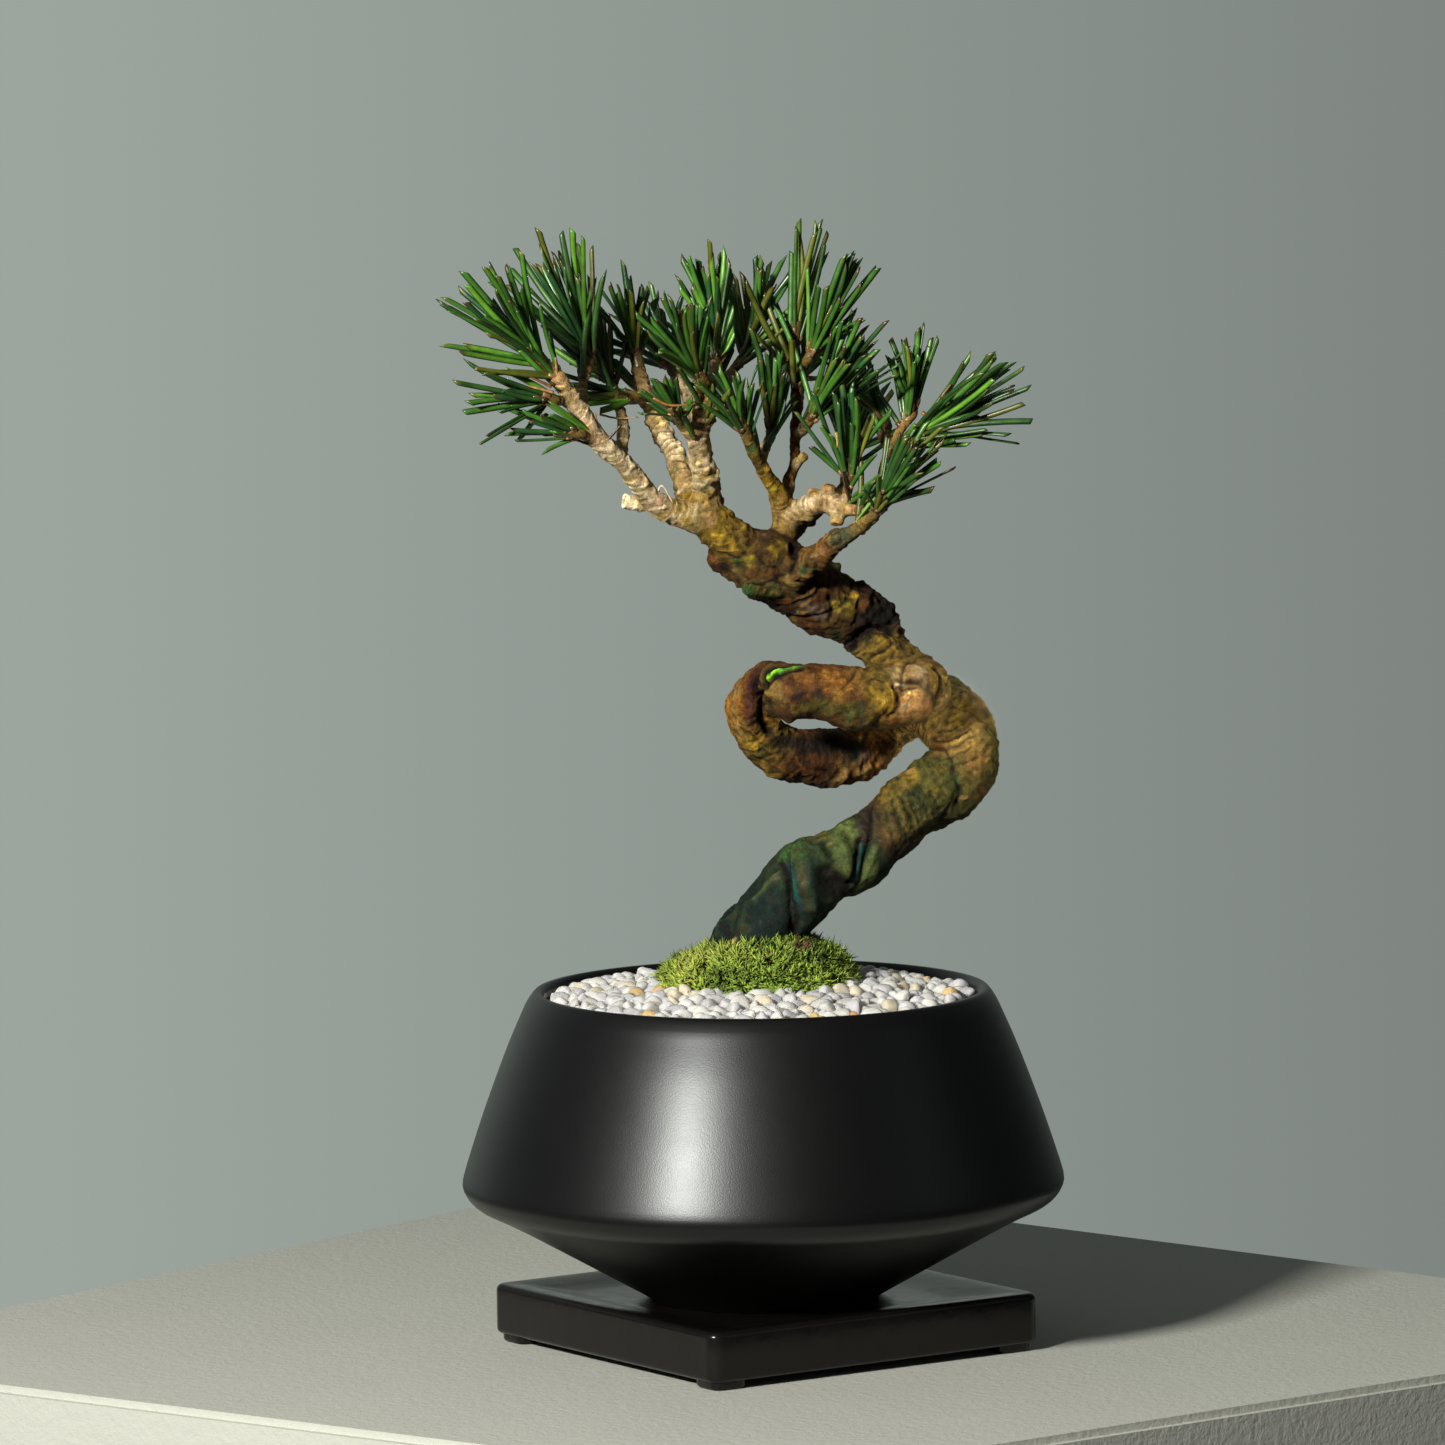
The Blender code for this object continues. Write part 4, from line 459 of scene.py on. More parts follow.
# Grooves, ridges and streaks: colour and its share, half width, height, and places along the line
# The near-black strokes are mostly painted shade: in grooves, channels and hollows, and along lower
# and right-hand edges
STROKES = [
    # Painted shadow that the knob throws on the bend, over a groove
    ("soot_and_painted_shade", 0.9, 0.7, -1.1, [(35.3, 136.2), (36.0, 132), (34.9, 128.2), (31.6, 125.4)]),
    ("soot_and_painted_shade", 0.95, 0.6, -0.9, [
        (4.2, 97.6), (5, 95.3), (5.7, 92.4), (6.7, 89.4), (7.4, 86.3), (7.2, 83.7),
    ]),
    ("teal_bright", 0.85, 0.6, 0, [(5.6, 97.7), (6.4, 95.4), (6.9, 92.4), (7.5, 89.8)]),
    ("teal_blue", 0.8, 0.79, 0, [(7.9, 89.4), (8.6, 86.6)]),
    ("green_dull", 0.5, 0.6, 0.25, [(3.6, 95.7), (4.6, 93.5), (5.5, 90.8)]),
    ("green_dull", 0.65, 0.69, 0.35, [
        (9.6, 97.9), (10.1, 95.5), (10.3, 92.9), (10.7, 90.4), (10.8, 87.8),
    ]),
    ("green", 0.6, 0.6, 0.2, [(8.1, 101), (6.5, 100.2), (5.3, 99.1), (4.6, 98.4)]),
    ("soot_and_painted_shade", 0.9, 1.59, -0.45, [(12.5, 94.4), (14.7, 93.5), (16.8, 92.4)]),
    ("soot_and_painted_shade", 0.85, 0.99, -0.2, [(12.6, 91.8), (15, 91.1), (17.1, 91.4)]),
    ("moss_dark", 0.8, 0.6, -0.3, [(12.4, 101.6), (13.5, 99.9), (14.3, 98), (13.5, 96)]),
    ("sage", 0.75, 1.19, 0.45, [(15.6, 102.4), (16.5, 99.8), (17.1, 97), (17.1, 94.6)]),
    ("sage_light", 0.8, 0.99, 0.2, [(15.6, 103.2), (17.6, 104.3), (18.6, 103.1)]),
    ("soot_and_painted_shade", 1, 0.48, -0.9, [(19.7, 102.3), (19.3, 99.7), (18.7, 96.5), (17.8, 93.3)]),
    ("teal_bright", 0.9, 0.6, -0.1, [(20.7, 100.8), (20.1, 98.5), (19.3, 95.7), (18.2, 92.8)]),
    ("sage", 0.75, 0.69, 0.45, [(22.9, 99.9), (21.5, 96.8), (20, 93.9), (18.7, 91.8)]),
    ("soot_and_painted_shade", 0.6, 0.79, 0, [(25.1, 99.9), (23.9, 96.6), (21.9, 93.3)]),
    ("moss_dark", 0.8, 0.5, -0.4, [(-4.4, 87.8), (-5.4, 85.4), (-6.1, 83.1)]),
    ("green_dull", 0.6, 0.79, 0.3, [(-7.6, 87), (-8.4, 85), (-8.8, 83.1)]),
    ("green_dull", 0.5, 0.79, 0.2, [(-2.4, 89.3), (-3.3, 86.8), (-3.7, 84)]),
    ("soot_and_painted_shade", 1, 0.52, -1.2, [
        (38.2, 115.8), (38.9, 113.8), (39.9, 111.9), (40.5, 110.2), (39.5, 108.5),
    ]),
    ("mint", 0.8, 0.36, 0.2, [(38.5, 114.6), (39.3, 113.2)]),
    ("tan", 0.6, 0.46, 0.3, [(39.7, 109.2), (41.3, 109.7)]),
    ("sage", 0.6, 0.44, 0.2, [(36.4, 116.8), (38, 117.1), (39.4, 117)]),
    ("ochre", 0.45, 0.36, 0.28, [(27.4, 109.7), (28.3, 107), (29.3, 104)]),
    ("ochre", 0.45, 0.36, 0.28, [(29.2, 109.9), (30.1, 107.4), (31.3, 104.5)]),
    ("moss_dark", 0.6, 0.34, -0.25, [(28.4, 109.7), (29.3, 107), (30.3, 104.1)]),
    ("moss_dark", 0.6, 0.34, -0.25, [(26.4, 109.3), (27.3, 106.2), (28.1, 103.4)]),
    ("olive", 0.5, 0.44, 0.3, [(32.7, 110.5), (33.7, 108), (34.5, 105.4)]),
    ("moss_dark", 0.6, 0.4, -0.25, [(34.1, 111.1), (35.1, 108.8), (35.9, 106.7)]),
    ("moss_dark", 0.5, 0.4, -0.25, [(24.8, 108.4), (25.3, 105.8), (26.1, 102.7)]),
    ("soot_and_painted_shade", 0.6, 1.19, 0, [(26.5, 100.2), (29.5, 101.7), (33.1, 103.8), (36.7, 106.8)]),
    ("gold", 0.85, 0.67, 0.3, [(41, 128.3), (40.2, 126.5), (39.3, 124.9)]),
    ("soot_and_painted_shade", 0.7, 0.6, -0.3, [(38.8, 128), (38.2, 126.1), (37.5, 124.7)]),
    ("soot_and_painted_shade", 0.6, 0.28, -0.32, [(35.5, 120.8), (37.7, 120.7), (40.1, 122), (42.3, 123.5)]),
    ("soot_and_painted_shade", 0.6, 0.28, -0.32, [(35, 118.6), (37.5, 119.2), (40.2, 120.3), (42.8, 122)]),
    ("soot_and_painted_shade", 0.55, 0.28, -0.32, [(36.8, 117.6), (39.4, 118.5), (42, 119.5), (44.6, 121.1)]),
    ("rust_dark", 0.6, 0.32, -0.32, [(38.6, 116.4), (41, 117), (43.4, 117.9)]),
    ("soot_and_painted_shade", 0.55, 0.28, -0.28, [(36.1, 122.8), (38.5, 123), (40.9, 124.3)]),
    ("tan", 0.6, 0.32, 0.2, [(37.1, 119.9), (39.6, 121), (42.2, 122.6)]),
    ("tan", 0.6, 0.32, 0.2, [(38, 118.4), (40.6, 119.3), (43.4, 120.6)]),
    ("gold", 0.5, 0.32, 0.2, [(39.1, 122.2), (41.7, 123.5), (43.7, 124.6)]),
    ("soot_and_painted_shade", 0.35, 0.79, 0, [(44.7, 127.1), (45.8, 124.1), (46, 120.9)]),
    ("tan", 0.7, 0.4, 0.15, [(45.8, 119.5), (44.8, 117.2)]),
    ("lime", 1, 0.46, 0.2, [(1.6, 135.3), (2.8, 136.3), (4.2, 136.9)]),
    ("lime_dark", 0.9, 0.52, 0.1, [(4.6, 136.9), (6.4, 137.4), (8.9, 137.9)]),
    ("soot_and_painted_shade", 0.95, 0.71, -0.7, [(0.8, 133.9), (1.5, 136.2), (3.5, 137.6), (6.4, 138.3)]),
    ("soot_and_painted_shade", 0.85, 0.6, -0.6, [(2.4, 134.7), (4, 136.1), (6.4, 136.6), (8.7, 137)]),
    ("soot_and_painted_shade", 0.98, 1.0, -2.1, [(1.2, 134), (0.6, 131), (1, 128), (0.8, 125.5), (2.4, 123.5)]),
    ("teal_blue", 0.7, 0.6, -0.6, [(2.2, 130.5), (2.6, 127.7)]),
    ("tan", 0.7, 1.09, 0, [(-4.1, 132.3), (-4.9, 129.5), (-4.6, 125.9), (-3.4, 122.2)]),
    ("wine", 0.8, 1.19, 0, [(-1.1, 133), (-1.5, 130.5), (-1.8, 127.7)]),
    ("wine", 0.8, 0.99, 0, [(-0.1, 135.7), (-1.1, 133.7)]),
    ("gold", 0.75, 0.99, 0.2, [(-2, 120.8), (-0.5, 120.2)]),
    ("ochre", 0.7, 0.79, 0.2, [(0.7, 116.8), (2.3, 114.6), (4.3, 114.4)]),
    ("rust_dark", 0.6, 0.36, -0.3, [(-3.4, 124.2), (-1.6, 123.2), (-0.2, 121.5)]),
    ("rust_dark", 0.6, 0.36, -0.3, [(-1.3, 119.1), (0.7, 119.6), (2.7, 118.5)]),
    ("soot_and_painted_shade", 0.9, 1.79, 0, [(3.5, 121.5), (8.3, 120.2), (14.3, 120.1), (19.3, 119.7)]),
    ("rust_dark", 0.8, 1.19, 0, [(6.7, 116.9), (10.2, 116), (14.6, 114.9)]),
    ("rust", 0.7, 0.6, 0.2, [(8.2, 115.2), (10.6, 114.7), (12.4, 113.9)]),
    ("rust_light", 0.6, 0.36, 0.25, [(4.7, 115.7), (6.7, 113.9)]),
    ("rust_light", 0.5, 0.36, 0.25, [(7.5, 117.7), (8.8, 115.6)]),
    ("teal_blue", 0.9, 0.79, -0.2, [(21.5, 121.4), (20.7, 119.2), (19.3, 117.1)]),
    ("lilac", 0.8, 0.6, 0.1, [(21.9, 118.2), (20.4, 115.8)]),
    ("tan", 0.9, 0.63, 0.5, [(16, 113.1), (17.6, 114.4)]),
    ("tan", 0.9, 0.71, 0.6, [(20.2, 114.2), (22, 115.1)]),
    ("brown", 0.7, 1.39, 0, [(24.3, 120.4), (24.7, 117.3)]),
    ("tan", 0.9, 0.36, 0.35, [(5.6, 123.6), (6.6, 124.1), (7.7, 126.6)]),
    ("ochre", 0.9, 0.6, 0.4, [(1.2, 132.9), (2.2, 132.2)]),
    ("soot_and_painted_shade", 0.6, 0.79, -0.25, [(7.3, 131.6), (8.7, 132.2)]),
    ("plum", 0.6, 0.69, -0.15, [(11, 132.3), (12.6, 131.7)]),
    ("olive", 0.7, 1.19, 0, [(9.2, 129.9), (13.2, 129.9), (17.1, 129.5)]),
    ("green_dull", 0.7, 0.69, 0.1, [(20.4, 130.3), (20.8, 127.8), (20, 125.6)]),
    ("sage", 0.6, 0.6, 0.1, [(18.5, 128.8), (17.7, 126.6)]),
    ("rust_dark", 0.6, 0.28, -0.2, [(21.7, 134.7), (23.3, 134.9), (24.8, 134.4)]),
    ("rust_dark", 0.5, 0.28, -0.2, [(18.3, 133.1), (19.3, 131.7)]),
    ("rust_dark", 0.9, 0.34, -0.55, [
        (26.6, 133.6), (27.4, 132), (27.6, 130.2), (26.8, 128.4), (25.8, 127.4),
    ]),
    ("gold", 0.7, 0.52, 0.3, [(25.6, 134), (26.6, 132.5), (26.8, 130.4), (26.2, 128.6)]),
    ("plum", 0.9, 0.65, -0.3, [(28.4, 134.1), (30.2, 134.4), (31.6, 134)]),
    ("cream", 0.2, 0.4, 0.06, [
        (26.6, 134.9), (28.9, 135.9), (31.4, 136.2), (33, 134.9), (32.8, 133.1),
    ]),
    ("rust_light", 0.40, 1.3, 0, [(28.6, 130.4), (31.2, 130.6), (33.4, 129.4)]),
    ("orange", 0.32, 1.0, 0, [(23.6, 127.4), (27.2, 127.0), (30.6, 127.6), (33.4, 128.6)]),
    ("salmon", 0.50, 1.3, 0, [(28.2, 135.6), (31.4, 136.2)]),
    ("gold", 0.45, 0.7, 0, [(33.8, 136.8), (35.2, 135.2), (35.0, 132.6)]),
    ("rust", 0.8, 0.28, -0.35, [(26.6, 133.3), (28.8, 132.9), (31.2, 133)]),
    ("cream", 0.8, 0.32, 0.15, [(27.2, 134), (28.8, 134.1)]),
    ("rust_dark", 0.5, 0.32, -0.2, [(33.7, 132.7), (34.7, 130.9), (34.7, 129.1)]),
    ("soot_and_painted_shade", 1, 0.63, -0.9, [
        (19.4, 139.6), (20, 141.6), (20.8, 143), (22.8, 143.8), (25.4, 143.6), (27, 142.6),
    ]),
    ("ochre", 0.6, 0.4, 0.3, [(24.2, 142.9), (26, 141.3), (24.8, 139.6), (22.4, 138.8)]),
    ("ochre", 0.6, 0.4, 0.3, [(26.4, 142.1), (28, 140.1), (26.1, 138.3), (23.2, 137.2)]),
    ("rust_dark", 0.8, 0.32, -0.35, [(25.2, 142.3), (27, 140.5), (25.4, 138.8), (22.8, 138)]),
    ("rust_dark", 0.8, 0.32, -0.35, [(27.4, 140.9), (28.3, 138.9), (26.3, 137.1)]),
    ("soot_and_painted_shade", 0.6, 0.79, 0, [(28.6, 140.6), (29.9, 138.3)]),
    ("soot_and_painted_shade", 0.95, 1.59, 0, [(22.1, 146.8), (24.9, 146.6), (26.5, 144.8)]),
    ("soot_and_painted_shade", 0.95, 1.39, 0, [(21.7, 144.8), (24.5, 144.6)]),
    ("soot_and_painted_shade", 0.9, 0.4, -0.5, [
        (7.6, 149.2), (9.6, 150), (11.2, 150.9), (12.2, 152.5), (11.4, 153.5),
    ]),
    ("soot_and_painted_shade", 0.8, 0.36, -0.4, [(8.6, 151), (10.2, 151.8), (11, 153.1)]),
    ("ochre", 0.5, 0.36, 0.25, [(8, 150), (10, 150.8), (11.4, 151.9)]),
    ("gold", 0.7, 0.36, 0.2, [(17.5, 150.3), (20.1, 150)]),
    ("lilac", 0.6, 0.79, 0.1, [(9.8, 148.9), (11.7, 147.6), (13.3, 146.4)]),
    ("soot_and_painted_shade", 0.7, 0.36, -0.35, [(14.3, 150), (14.9, 147.5), (14.1, 145.1)]),
    ("soot_and_painted_shade", 0.7, 0.36, -0.35, [(20.1, 149.6), (19.9, 147.4), (19.5, 144.9)]),
    ("rust", 0.7, 0.99, 0, [(9, 144.9), (11.5, 144.2)]),
    ("soot_and_painted_shade", 0.8, 0.79, 0.2, [(25, 149.1), (26.5, 147), (27.7, 145)]),
    ("soot_and_painted_shade", 1, 0.99, -1.1, [(7.5, 160.4), (7.5, 158.4), (6.6, 156.1)]),
    ("soot_and_painted_shade", 0.8, 0.4, -0.5, [(-1.3, 153.7), (1.1, 153.5), (3.1, 154), (5.1, 155)]),
    ("rust_dark", 0.7, 0.32, -0.35, [(0.7, 158), (2.3, 156.8), (3.9, 156.8)]),
    ("rust_dark", 0.7, 0.32, -0.35, [(-5.6, 158.8), (-3.6, 158.7), (-2, 159.4)]),
    ("salmon", 0.6, 0.69, 0.2, [(11, 158.9), (13, 160.2)]),
    ("soot_and_painted_shade", 0.92, 1.7, -0.7, [(13.0, 96.2), (15.2, 94.8), (17.2, 93.4)]),
    ("soot_and_painted_shade", 0.85, 1.3, -0.3, [(14.0, 93.0), (16.2, 91.6)]),
    ("teal", 0.65, 1.3, 0, [(10.0, 97.4), (10.6, 93.6), (11.2, 89.8), (11.0, 86)]),
    ("green_dull", 0.7, 0.7, 0.5, [(6.8, 101.2), (9.0, 101.4), (11.6, 100.4), (12.6, 98.4)]),
    ("sage", 0.5, 0.5, 0.3, [(3.4, 95.9), (1.4, 92.9), (-1.0, 90.2)]),
    ("sage", 0.30, 4.5, 0, [(27, 105), (31, 109), (36, 113)]),
    # Tan of the bend's bark, laid broadly, and partly painted light over the shadow that the front
    # limb throws there
    ("tan", 0.35, 3.0, 0, [(42.5, 116), (42.5, 121), (40.5, 126), (39, 129)]),
]
# Wet places, which shine: x, z and radius
WET = [
    (-2.2, 127.9, 1.2), (-0.1, 133.2, 1), (-1.2, 130.7, 1.4), (21.1, 103.1, 1.8), (23.5, 101.7, 1),
    (21, 142, 1), (17.7, 139.3, 0.8), (8.8, 127.6, 0.6), (17.7, 133.8, 0.8), (1.4, 128.9, 1.2),
]


# Small helpers


def noise(places, size, seed=0):
    """Smooth random values from -1 to 1 at these places, about size apart."""
    spots = np.asarray(places, float) / size + 31.7 * seed + 1000
    cell = np.floor(spots).astype(np.int64)
    part = spots - cell
    ease = part * part * (3 - 2 * part)
    total = 0
    for corner in itertools.product((0, 1), repeat=3):
        mixed = (cell + corner) @ np.array((73856093, 19349663, 83492791))
        mixed = (mixed ^ (mixed >> 13)) * 1274126177
        value = ((mixed ^ (mixed >> 16)) & 0xFFFF) / 32767.5 - 1
        total = total + value * np.prod(np.where(corner, ease, 1 - ease), axis=1)
    return total


def step_between(low, high, values):
    """0 below low, 1 above high, and a smooth rise between."""
    share = np.clip((values - low) / (high - low), 0, 1)
    return share * share * (3 - 2 * share)


def mixed_with(tints, colour, share):
    return tints + (np.asarray(colour) - tints) * np.asarray(share)[:, None]


dressed = bpy.data.collections.new("dressed")
bpy.context.scene.collection.children.link(dressed)


def mesh_of(name, places, faces, tints=None):
    mesh = bpy.data.meshes.new(name)
    mesh.from_pydata(np.asarray(places).tolist(), [], faces)
    if tints is not None:
        paint(mesh, tints)
    mesh.shade_smooth()
    return mesh


def paint(mesh, tints, name="tint"):
    """Writes one colour a vertex as an attribute that the materials read."""
    layer = mesh.color_attributes.new(name, "FLOAT_COLOR", "POINT")
    whole = np.ones((len(tints), 4))
    whole[:, :3] = tints
    layer.data.foreach_set("color", whole.ravel())


def piece(name, mesh, slot, material, *nodes):
    """A visible piece, which rides on the root and may stand for CAD nodes."""
    made = bpy.data.objects.new(name, mesh)
    dressed.objects.link(made)
    mesh.materials.clear()
    mesh.materials.append(material)
    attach(made, "root")
    if nodes:
        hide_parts(*nodes)


class Heap:
    """Many small shapes that become one mesh."""

    def __init__(self):
        self.places = []
        self.faces = []
        self.tints = []
        self.count = 0

    def add(self, places, faces, tints):
        """tints is one colour, or one for each place."""
        places = np.asarray(places, float)
        self.places.append(places)
        self.faces += (np.asarray(faces) + self.count).tolist()
        self.tints.append(np.broadcast_to(tints, (len(places), 3)))
        self.count += len(places)

    def add_tube(self, rings, tints):
        """Rings of one number of places, joined in a row and closed at both ends by triangles."""
        rings = np.asarray(rings, float)
        rows, sides = rings.shape[:2]
        index = np.arange(rows * sides).reshape(rows, sides)
        here, there = index[:-1], index[1:]
        quads = np.stack([here, np.roll(here, -1, 1), np.roll(there, -1, 1), there], axis=-1)
        quads = quads.reshape(-1, 4)
        first = rows * sides
        turn = np.arange(sides)
        after = (turn + 1) % sides
        low = np.stack([after, turn, np.full(sides, first)], 1)
        high = np.stack([index[-1][turn], index[-1][after], np.full(sides, first + 1)], 1)
        faces = np.vstack([quads[:, [0, 1, 2]], quads[:, [0, 2, 3]], low, high])
        places = np.vstack([rings.reshape(-1, 3), rings[0].mean(0), rings[-1].mean(0)])
        shades = np.broadcast_to(np.asarray(tints, float), (rows, sides, 3)).reshape(-1, 3)
        self.add(places, faces, np.vstack([shades, shades[0], shades[first - 1]]))

    def mesh(self, name):
        return mesh_of(name, np.vstack(self.places), self.faces, np.vstack(self.tints))


def circle(turns, sides, ups, flat=1):
    """The places at these turns on a unit circle in the plane of two directions."""
    return np.cos(turns)[:, None] * sides + flat * np.sin(turns)[:, None] * ups


# Materials


def new_material(name, **sockets):
    made = bpy.data.materials.new(name)
    made.use_nodes = True
    shader = made.node_tree.nodes["Principled BSDF"]
    for socket, value in sockets.items():
        shader.inputs[socket.replace("_", " ")].default_value = value
    return made, made.node_tree, shader


def node(tree, kind, inputs=(), **settings):
    """A node of this kind, with its inputs set to values or linked from other nodes' outputs."""
    made = tree.nodes.new("ShaderNode" + kind)
    for setting, value in settings.items():
        setattr(made, setting, value)
    for socket, value in dict(inputs).items():
        if isinstance(value, bpy.types.NodeSocket):
            tree.links.new(value, made.inputs[socket])
        else:
            made.inputs[socket].default_value = value
    return made


def noise_node(tree, where, scale, detail, roughness=0.55):
    inputs = {"Vector": where, "Scale": scale, "Detail": detail, "Roughness": roughness}
    return node(tree, "TexNoise", inputs).outputs["Fac"]


def ramp(tree, fac, low, high):
    """The middle of a noise's range spread over low..high, clamped."""
    inputs = {"Value": fac, "From Min": 0.3, "From Max": 0.7, "To Min": low, "To Max": high}
    return node(tree, "MapRange", inputs).outputs["Result"]


def shaded(tree, colour, fac, low, high):
    """The colour made darker or lighter by the factor."""
    inputs = {0: colour, "Scale": ramp(tree, fac, low, high)}
    return node(tree, "VectorMath", inputs, operation="SCALE").outputs["Vector"]


def between(tree, fac, first, second):
    """The mix of two colours, which are plain ones or other nodes' outputs."""
    colours = [(*c, 1) if isinstance(c, tuple) else c for c in (first, second)]
    inputs = {"Fac": fac, "Color1": colours[0], "Color2": colours[1]}
    return node(tree, "MixRGB", inputs).outputs["Color"]


def object_space(tree):
    return node(tree, "TexCoord").outputs["Object"]


def painted(tree, name):
    """The colours that the mesh has painted on it under this name."""
    return node(tree, "Attribute", attribute_name=name).outputs["Color"]


def bump(tree, shader, height, distance, strength=1.0, normal=None):
    inputs = {"Height": height, "Distance": distance, "Strength": strength}
    if normal is not None:
        inputs["Normal"] = normal
    made = node(tree, "Bump", inputs).outputs["Normal"]
    tree.links.new(made, shader.inputs["Normal"])
    return made


def wood_finish():
    """Bark. The attribute "surface" holds how coarse (red) and how wet (green) it is."""
    made, tree, shader = new_material("wood_bark", Specular_IOR_Level=0.22)
    where = object_space(tree)
    surface = node(tree, "SeparateColor", {"Color": painted(tree, "surface")})
    coarse, wet = surface.outputs["Red"], surface.outputs["Green"]
    mottled = shaded(tree, painted(tree, "tint"), noise_node(tree, where, 620, 5, 0.7), 0.62, 1.38)
    mottled = shaded(tree, mottled, noise_node(tree, where, 2600, 3), 0.68, 1.30)
    tree.links.new(mottled, shader.inputs["Base Color"])
    dry = ramp(tree, noise_node(tree, where, 380, 3), 0.50, 0.90)
    rough = node(tree, "Mix", {0: wet, 2: dry, 3: 0.08}, data_type="FLOAT").outputs[0]
    tree.links.new(rough, shader.inputs["Roughness"])
    first = bump(tree, shader, noise_node(tree, where, 1100, 5, 0.7), 0.00080, coarse)
    bump(tree, shader, noise_node(tree, where, 4600, 2), 0.00016, normal=first)
    return made


def finish(name, colour, shades, rough=None, bumps=(), **sockets):
    """A material whose shades, roughness and bumps come from noise of a given scale and detail.

    Its colour lies between two shades, or is the attribute "tint" times a range of shades.
    """
    made, tree, shader = new_material(name, **sockets)
    where = object_space(tree)
    fac = noise_node(tree, where, *colour)
    low, high = shades
    if isinstance(low, tuple):
        shade = between(tree, fac, low, high)
    else:
        shade = shaded(tree, painted(tree, "tint"), fac, low, high)
    tree.links.new(shade, shader.inputs["Base Color"])
    if rough:
        settings, low, high = rough
        fac = noise_node(tree, where, *settings)
        tree.links.new(ramp(tree, fac, low, high), shader.inputs["Roughness"])
    normal = None
    for settings, distance in bumps:
        normal = bump(tree, shader, noise_node(tree, where, *settings), distance, normal=normal)
    return made


def soil_finish():
    made = finish(
        "dark_soil", (500, 4), ((0.030, 0.018, 0.010), (0.120, 0.075, 0.045)),
        Roughness=0.95, Specular_IOR_Level=0.2,
    )
    tree = made.node_tree
    grains = node(tree, "TexVoronoi", {"Vector": object_space(tree), "Scale": 700})
    bump(tree, tree.nodes["Principled BSDF"], grains.outputs["Distance"], 0.0006)
    return made


# Stage, camera and light

CAMERA_DISTANCE = 2.0
CAMERA_ELEVATION = math.radians(6.12)
CAMERA_ROLL = math.radians(0.69)
CAMERA_LENS = 250.98
CAMERA_AIM = (-0.00705, 0, 0.12516)
FLOOR_CORNERS = [(-0.029, 0.232), (-0.200, 0.001), (0.000, -0.150), (0.207, 0.015)]
FLOOR_TOP = -0.0002           # just under the tray's feet
FLOOR_THICKNESS = 0.10
# Azimuths run to the left from the front. The last, a narrow one, lifts the shadow that the front
# limb throws on the bend behind it.
LIGHTS = {
    "key": {
        "azimuth": 32.5, "elevation": 22.5, "distance": 1.2, "size": (0.19, 0.08), "power": 23.5,
        "colour": (1.0, 0.975, 0.91),
    },
    "fill": {
        "azimuth": -70, "elevation": 20, "distance": 1.6, "size": (0.7, 0.7), "power": 0.25,
        "colour": (0.85, 0.93, 1.0),
    },
    "bend_fill": {
        "azimuth": -14, "elevation": 8, "distance": 0.9, "size": (0.02, 0.02), "power": 0.0036,
        "colour": (1.0, 0.96, 0.88), "aim": (0.0405, 0.008, 0.1265), "spread": 2.2,
    },
}
# What the camera sees behind the floor, from left to right: darker to the right, with a soft shadow
# painted on it. The rest lights the scene: a room from its floor upwards, and a wall behind the
# tree.
BACKDROP_WITH_PAINTED_SHADE = (0.335, 0.378, 0.345), (0.205, 0.230, 0.215)
ROOM = (0.040, 0.045, 0.047), (0.080, 0.086, 0.084)
WALL = (0.260, 0.290, 0.270)


def added(name, data):
    made = bpy.data.objects.new(name, data)
    bpy.context.scene.collection.objects.link(made)
    return made


def place_camera():
    """The photograph's angle, a little above the floor and slightly rolled."""
    back = Vector((0, -math.cos(CAMERA_ELEVATION), math.sin(CAMERA_ELEVATION)))
    level = Vector((1, 0, 0))
    upright = Vector((0, math.sin(CAMERA_ELEVATION), math.cos(CAMERA_ELEVATION)))
    right = level * math.cos(CAMERA_ROLL) - upright * math.sin(CAMERA_ROLL)
    up = level * math.sin(CAMERA_ROLL) + upright * math.cos(CAMERA_ROLL)
    data = bpy.data.cameras.new("camera")
    data.sensor_width = 36
    data.lens = CAMERA_LENS
    camera = added("camera", data)
    turned = Matrix((right, up, back)).transposed().to_4x4()
    turned.translation = Vector(CAMERA_AIM) + CAMERA_DISTANCE * back
    camera.matrix_world = turned
    bpy.context.scene.camera = camera


def softbox(name, azimuth, elevation, distance, size, power, colour, aim=(0, 0, 0.11), spread=180):
    """An area light that faces the tree."""
    data = bpy.data.lights.new(name, "AREA")
    data.shape = "RECTANGLE"
    data.size, data.size_y = size
    data.energy = power
    data.color = colour
    data.spread = math.radians(spread)
    light = added(name, data)
    azimuth, elevation = math.radians(azimuth), math.radians(elevation)
    way = Vector((
        -math.sin(azimuth) * math.cos(elevation), -math.cos(azimuth) * math.cos(elevation),
        math.sin(elevation),
    ))
    light.location = Vector(aim) + distance * way
    light.rotation_euler = way.to_track_quat("Z", "Y").to_euler()


def floor():
    """A pale slab under the tray, one corner pointing away as in the photograph."""
    slab = bmesh.new()
    face = slab.faces.new([slab.verts.new((x, y, FLOOR_TOP)) for x, y in FLOOR_CORNERS])
    down = bmesh.ops.extrude_face_region(slab, geom=[face])["geom"]
    lowered = [v for v in down if isinstance(v, bmesh.types.BMVert)]
    bmesh.ops.translate(slab, vec=(0, 0, -FLOOR_THICKNESS), verts=lowered)
    bmesh.ops.recalc_face_normals(slab, faces=slab.faces)
    bmesh.ops.bevel(slab, geom=slab.edges[:], offset=0.0015, segments=2, affect="EDGES")
    mesh = bpy.data.meshes.new("floor")
    slab.to_mesh(mesh)
    slab.free()
    mesh.materials.append(finish(
        "pale_floor", (30, 6, 0.7), ((0.465, 0.477, 0.425), (0.520, 0.532, 0.480)),
        bumps=[((500, 5, 0.7), 0.0003)], Roughness=0.85, Specular_IOR_Level=0.3,
    ))
    added("floor", mesh)


